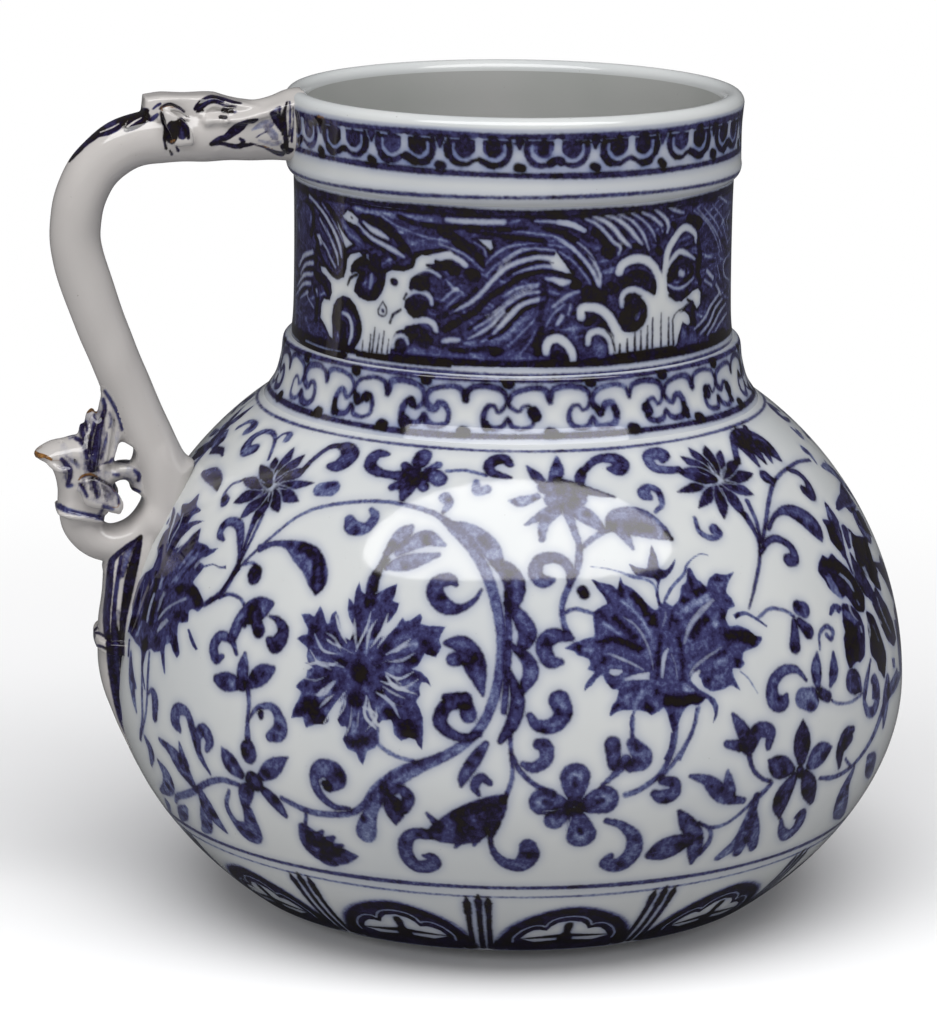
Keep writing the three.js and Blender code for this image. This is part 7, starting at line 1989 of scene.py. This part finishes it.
def blossom_paint(s):
    for tone, rows in [
        (.3, [(84, 424, 10), (98, 420, 26), (100, 440, 34), (98, 462, 30), (100, 474, 14)]),
        (.25, [(64, 446, 8), (66, 462, 14), (66, 480, 10)]),
        (.3, [(82, 486, 12), (96, 488, 24), (112, 498, 12)]),
        (.3, [(116, 470, 12), (132, 474, 14), (136, 484, 10)]),
        (.85, [(58.4, 505.6, 4.4), (66, 509.4, 4), (78, 512.6, 3.4), (90, 515, 3.4),
         (103, 517.6, 4.4)]),
        (.55, [(100, 513, 4), (103, 508, 3)]),
        (.85, [(61.6, 459, 3), (65, 463, 4), (69.6, 470, 4), (69, 478, 3.4), (67, 485, 3),
         (71, 484.6, 3)]),
        (.6, [(64.4, 471, 2), (66.4, 480, 2.4)]), (.5, [(66, 456, 3), (74, 462, 4), (78, 466, 4)]),
        (.42, [(98, 416, 12), (97, 436, 17), (94, 456, 19), (92, 468, 16)]),
        (.4, [(84, 428, 8), (86, 446, 9)]), (.35, [(112, 462, 10), (122, 464, 8)]),
        (.38, [(64, 462, 8), (68, 476, 9)]), (.45, [(88, 482, 10), (98, 487, 14), (108, 494, 12)]),
        (.4, [(122, 482, 8), (133, 484, 8)]),
        (.75, [(75, 437.6, 3), (80, 440, 4), (84, 447, 4), (87, 458, 4)]),
        (.6, [(69, 437.6, 1.6), (75, 436.4, 2.4)]),
        (.8, [(103, 399, 3), (104.4, 408, 3.4), (101, 420, 5), (98, 432, 6), (96, 446, 7), (94, 458, 8),
         (92, 467, 9)]),
        (.7, [(94, 414, 2.6), (94, 424, 4), (90, 438, 4), (89, 452, 5)]),
        (.8, [(82.4, 424, 4), (81.6, 431, 4), (84, 438, 4)]), (.75, [(85, 421, 3), (87, 430, 3)]),
        (.9, [(104.6, 390.6, 2), (109.6, 398.4, 2.6), (115, 408, 2.4), (119, 418, 2.4),
         (121.6, 429, 2)]),
        (.6, [(109, 412, 2), (111, 420, 2.4), (107, 434, 3), (103, 448, 4), (100, 458, 4)]),
        (.65, [(86, 462, 5), (96, 468, 6), (104, 465, 5), (112, 459, 4), (121, 459.6, 5),
         (127, 460.4, 4)]),
        (.95, [(121, 459.4, 3), (126, 460, 3)]), (.6, [(113, 474, 3), (118, 474.6, 4)]),
        (.5, [(124, 478, 4), (130, 479, 4)]), (.75, [(134.6, 470, 3), (138.6, 475, 4), (138, 480, 3)]),
        (.6, [(118, 482, 4), (124, 487, 5), (130, 485, 3)]),
        (.8, [(128, 489, 4), (134, 489, 3), (139.4, 491, 2)]),
        (.5, [(84, 482, 6), (92, 484, 12), (100, 489, 12), (108, 495, 8)]),
        (.8, [(80, 484, 3), (84, 490, 3), (86.6, 496, 2)]),
        (.75, [(92, 478, 3), (94.6, 487, 4), (97, 497, 3)]),
        (.5, [(103, 484, 3), (106, 492, 3), (107, 500, 3)]),
        (.75, [(81, 476.6, 2), (90, 474.4, 2.4), (100, 479, 2.4), (110, 485.6, 2.6), (117.4, 495, 2),
         (118.6, 503, 2)]),
        (.6, [(104, 506, 5), (112, 508, 4)]),
    ]:
        s.stroke([(u, v, w * 1.2 + 1) for u, v, w in rows], tone * .62, soft=4)
    for rows in (
        [(102, 467, 6), (114, 467, 7), (124, 468, 5)], [(110, 430, 5), (111, 444, 7), (107, 458, 5)],
        [(86, 478, 1.6), (88, 488, 2), (90, 497, 1.2)],
        [(99, 483, 1.4), (102, 492, 1.8), (103, 500, 1)], [(106, 418, 1.6), (106, 430, 2)],
        [(113, 412, 1.4), (116, 424, 2), (113, 436, 2), (109, 448, 2)],
    ):
        s.stroke(rows, .7, "lift", 1.6)
    for rows, w in (
        ([(34.4, 453, 6), (38, 455, 6), (44, 455.6, 4), (51, 459, 2.6)], 1),
        ([(36, 449.6, 2.4), (42, 446, 1.6)], .5),
        ([(86.6, 412, 2), (91.6, 409, 4), (96, 411.6, 2.4)], .9),
        ([(52, 460, 2), (60, 460, 1.6), (68, 461, 1.6)], .5),
        ([(78, 480, 2), (82, 475.4, 3), (90.4, 473.6, 3), (97, 476.4, 2.4)], .75),
        ([(100, 478.6, 1.6), (110, 485, 1.8), (117, 494.6, 2)], .5),
        ([(112, 506.4, 2.4), (117, 507, 2.4), (119.4, 502, 1.6)], .55),
        ([(101, 391, 2), (104, 389.6, 2.4)], .4),
    ):
        s.stroke(rows, w, "ochre", 1.8)


def skin_piece(name, f, paints, slot, *nodes):
    points, faces = skinned(f)
    s = Skin(points)
    for paint in paints:
        paint(s)
    ob = mesh_from(name, points, faces, {"cover": s.cover, "tone": s.tone, "ochre": s.ochre})
    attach(ob, "root")
    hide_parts(*nodes)
    ob.data.materials.append(glaze_handle)


skin_piece(
    "dragon_handle_glazed", np.maximum(whole, -blossom_side - .5), (head_paint, strap_paint),
    "pale_cobalt_under_glaze", "dragon_head", "handle_bar", "comb_plate", "ear_near", "ear_far",
    "brow_near", "brow_far", "belly_strap", "strap_band", "tail_loop")
skin_piece(
    "tail_blossom_glazed", np.maximum(whole - .035, blossom_side), (blossom_paint,),
    "ochre_edged_glaze", "calyx_ring", "blossom_cup", "petal_outer", "petal_near", "petal_far",
    "plume_inner", "plume_middle", "plume_outer", "inner_curl")

# Foot ring, bare where it stands
foot = [
    (31.2, 0), (34.0, 0), (34.35, .12), (34.5, .5), (34.5, FOOT_Z), (30.7, FOOT_Z), (30.7, .5),
    (30.85, .15),
]
ring_piece = spun("foot_ring_bare", foot, 240, {})
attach(ring_piece, "root")
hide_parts("foot_ring")
ring_piece.data.materials.append(bare_clay("fired_clay"))


# Stage: a white floor that fades into the background and still takes the jug's shadow
def floor_material():
    m = bpy.data.materials.new("floor")
    m.use_nodes = True
    nt = m.node_tree
    nt.nodes.remove(nt.nodes["Principled BSDF"])
    shown = node(nt, "ShaderNodeBsdfDiffuse", _Color=(.93, .93, .93, 1))
    white = node(nt, "ShaderNodeEmission", _Color=(1, 1, 1, 1), _Strength=1.0)
    from_middle = node(nt, "ShaderNodeVectorMath", operation="LENGTH")
    nt.links.new(node(nt, "ShaderNodeTexCoord").outputs["Object"], from_middle.inputs[0])
    faded = node(nt, "ShaderNodeMixShader")
    nt.links.new(ranged(nt, from_middle.outputs["Value"], .1, .3), faded.inputs[0])
    nt.links.new(shown.outputs[0], faded.inputs[1])
    nt.links.new(white.outputs[0], faded.inputs[2])
    # What the jug mirrors of the floor is darker than what lights it
    path = node(nt, "ShaderNodeLightPath")
    unseen = node(nt, "ShaderNodeBsdfDiffuse")
    grey = mixed(nt, path.outputs["Is Glossy Ray"], (.56, .56, .565, 1), (.1, .1, .105, 1))
    nt.links.new(grey, unseen.inputs["Color"])
    both = node(nt, "ShaderNodeMixShader")
    nt.links.new(path.outputs["Is Camera Ray"], both.inputs[0])
    nt.links.new(unseen.outputs[0], both.inputs[1])
    nt.links.new(faded.outputs[0], both.inputs[2])
    nt.links.new(both.outputs[0], nt.nodes["Material Output"].inputs["Surface"])
    return m


HALF_FLOOR = 3
me = bpy.data.meshes.new("floor")
me.from_pydata(
    [
    (-HALF_FLOOR, -HALF_FLOOR, 0), (HALF_FLOOR, -HALF_FLOOR, 0), (HALF_FLOOR, HALF_FLOOR, 0),
    (-HALF_FLOOR, HALF_FLOOR, 0),
], [], [(0, 1, 2, 3)])
floor = bpy.data.objects.new("floor", me)
bpy.context.scene.collection.objects.link(floor)
floor.data.materials.append(floor_material())


def lamp(name, at, aim, size, power, mirrored):
    d = bpy.data.lights.new(name, "AREA")
    d.shape = "ELLIPSE" if mirrored else "RECTANGLE"
    d.size, d.size_y = size
    d.energy = power
    ob = bpy.data.objects.new(name, d)
    ob.location = at
    ob.rotation_euler = (Vector(aim) - Vector(at)).to_track_quat("-Z", "Y").to_euler()
    ob.visible_glossy = mirrored
    bpy.context.scene.collection.objects.link(ob)


lamp("top_softbox", (-.04, -.42, .93), (0, -.03, .07), (1.6, .6), 10.7, True)
lamp("left_softbox", (-.95, -.8, .45), (0, 0, .07), (.6, .9), 3.9, False)
lamp("right_softbox", (1.0, -.6, .4), (0, 0, .07), (.6, .9), 2.1, False)

world = bpy.data.worlds.new("studio")
bpy.context.scene.world = world
world.use_nodes = True
nt = world.node_tree
back = nt.nodes["Background"]
lp = node(nt, "ShaderNodeLightPath")
dim = mixed(nt, lp.outputs["Is Glossy Ray"], (.3, .3, .31, 1), (.05, .05, .055, 1))
nt.links.new(mixed(nt, lp.outputs["Is Camera Ray"], dim, (1, 1, 1, 1)), back.inputs["Color"])

# Camera. It is turned a little so that the jug stands right of the picture's middle.
SENSOR = 36
cam = bpy.data.cameras.new("camera")
camera = bpy.data.objects.new("camera", cam)
bpy.context.scene.collection.objects.link(camera)
bpy.context.scene.camera = camera
cam.sensor_width = SENSOR
cam.lens = FOCAL * SENSOR / HIGH
right, up = Vector(right_axis), Vector(up_axis)
camera.location = Vector(eye * MM)
aside = (CENTRE_U - WIDE / 2) / FOCAL * DISTANCE * MM
target = Vector((AXIS * MM, 0, AIM_Z * MM)) - right * aside
look = (camera.location - target).normalized()
right = up.cross(look).normalized()
up = look.cross(right)
x_axis = right * roll_cos + up * roll_sin
y_axis = up * roll_cos - right * roll_sin
camera.rotation_mode = "QUATERNION"
camera.rotation_quaternion = Matrix((x_axis, y_axis, look)).transposed().to_quaternion()

bpy.context.scene.view_settings.view_transform = "Standard"
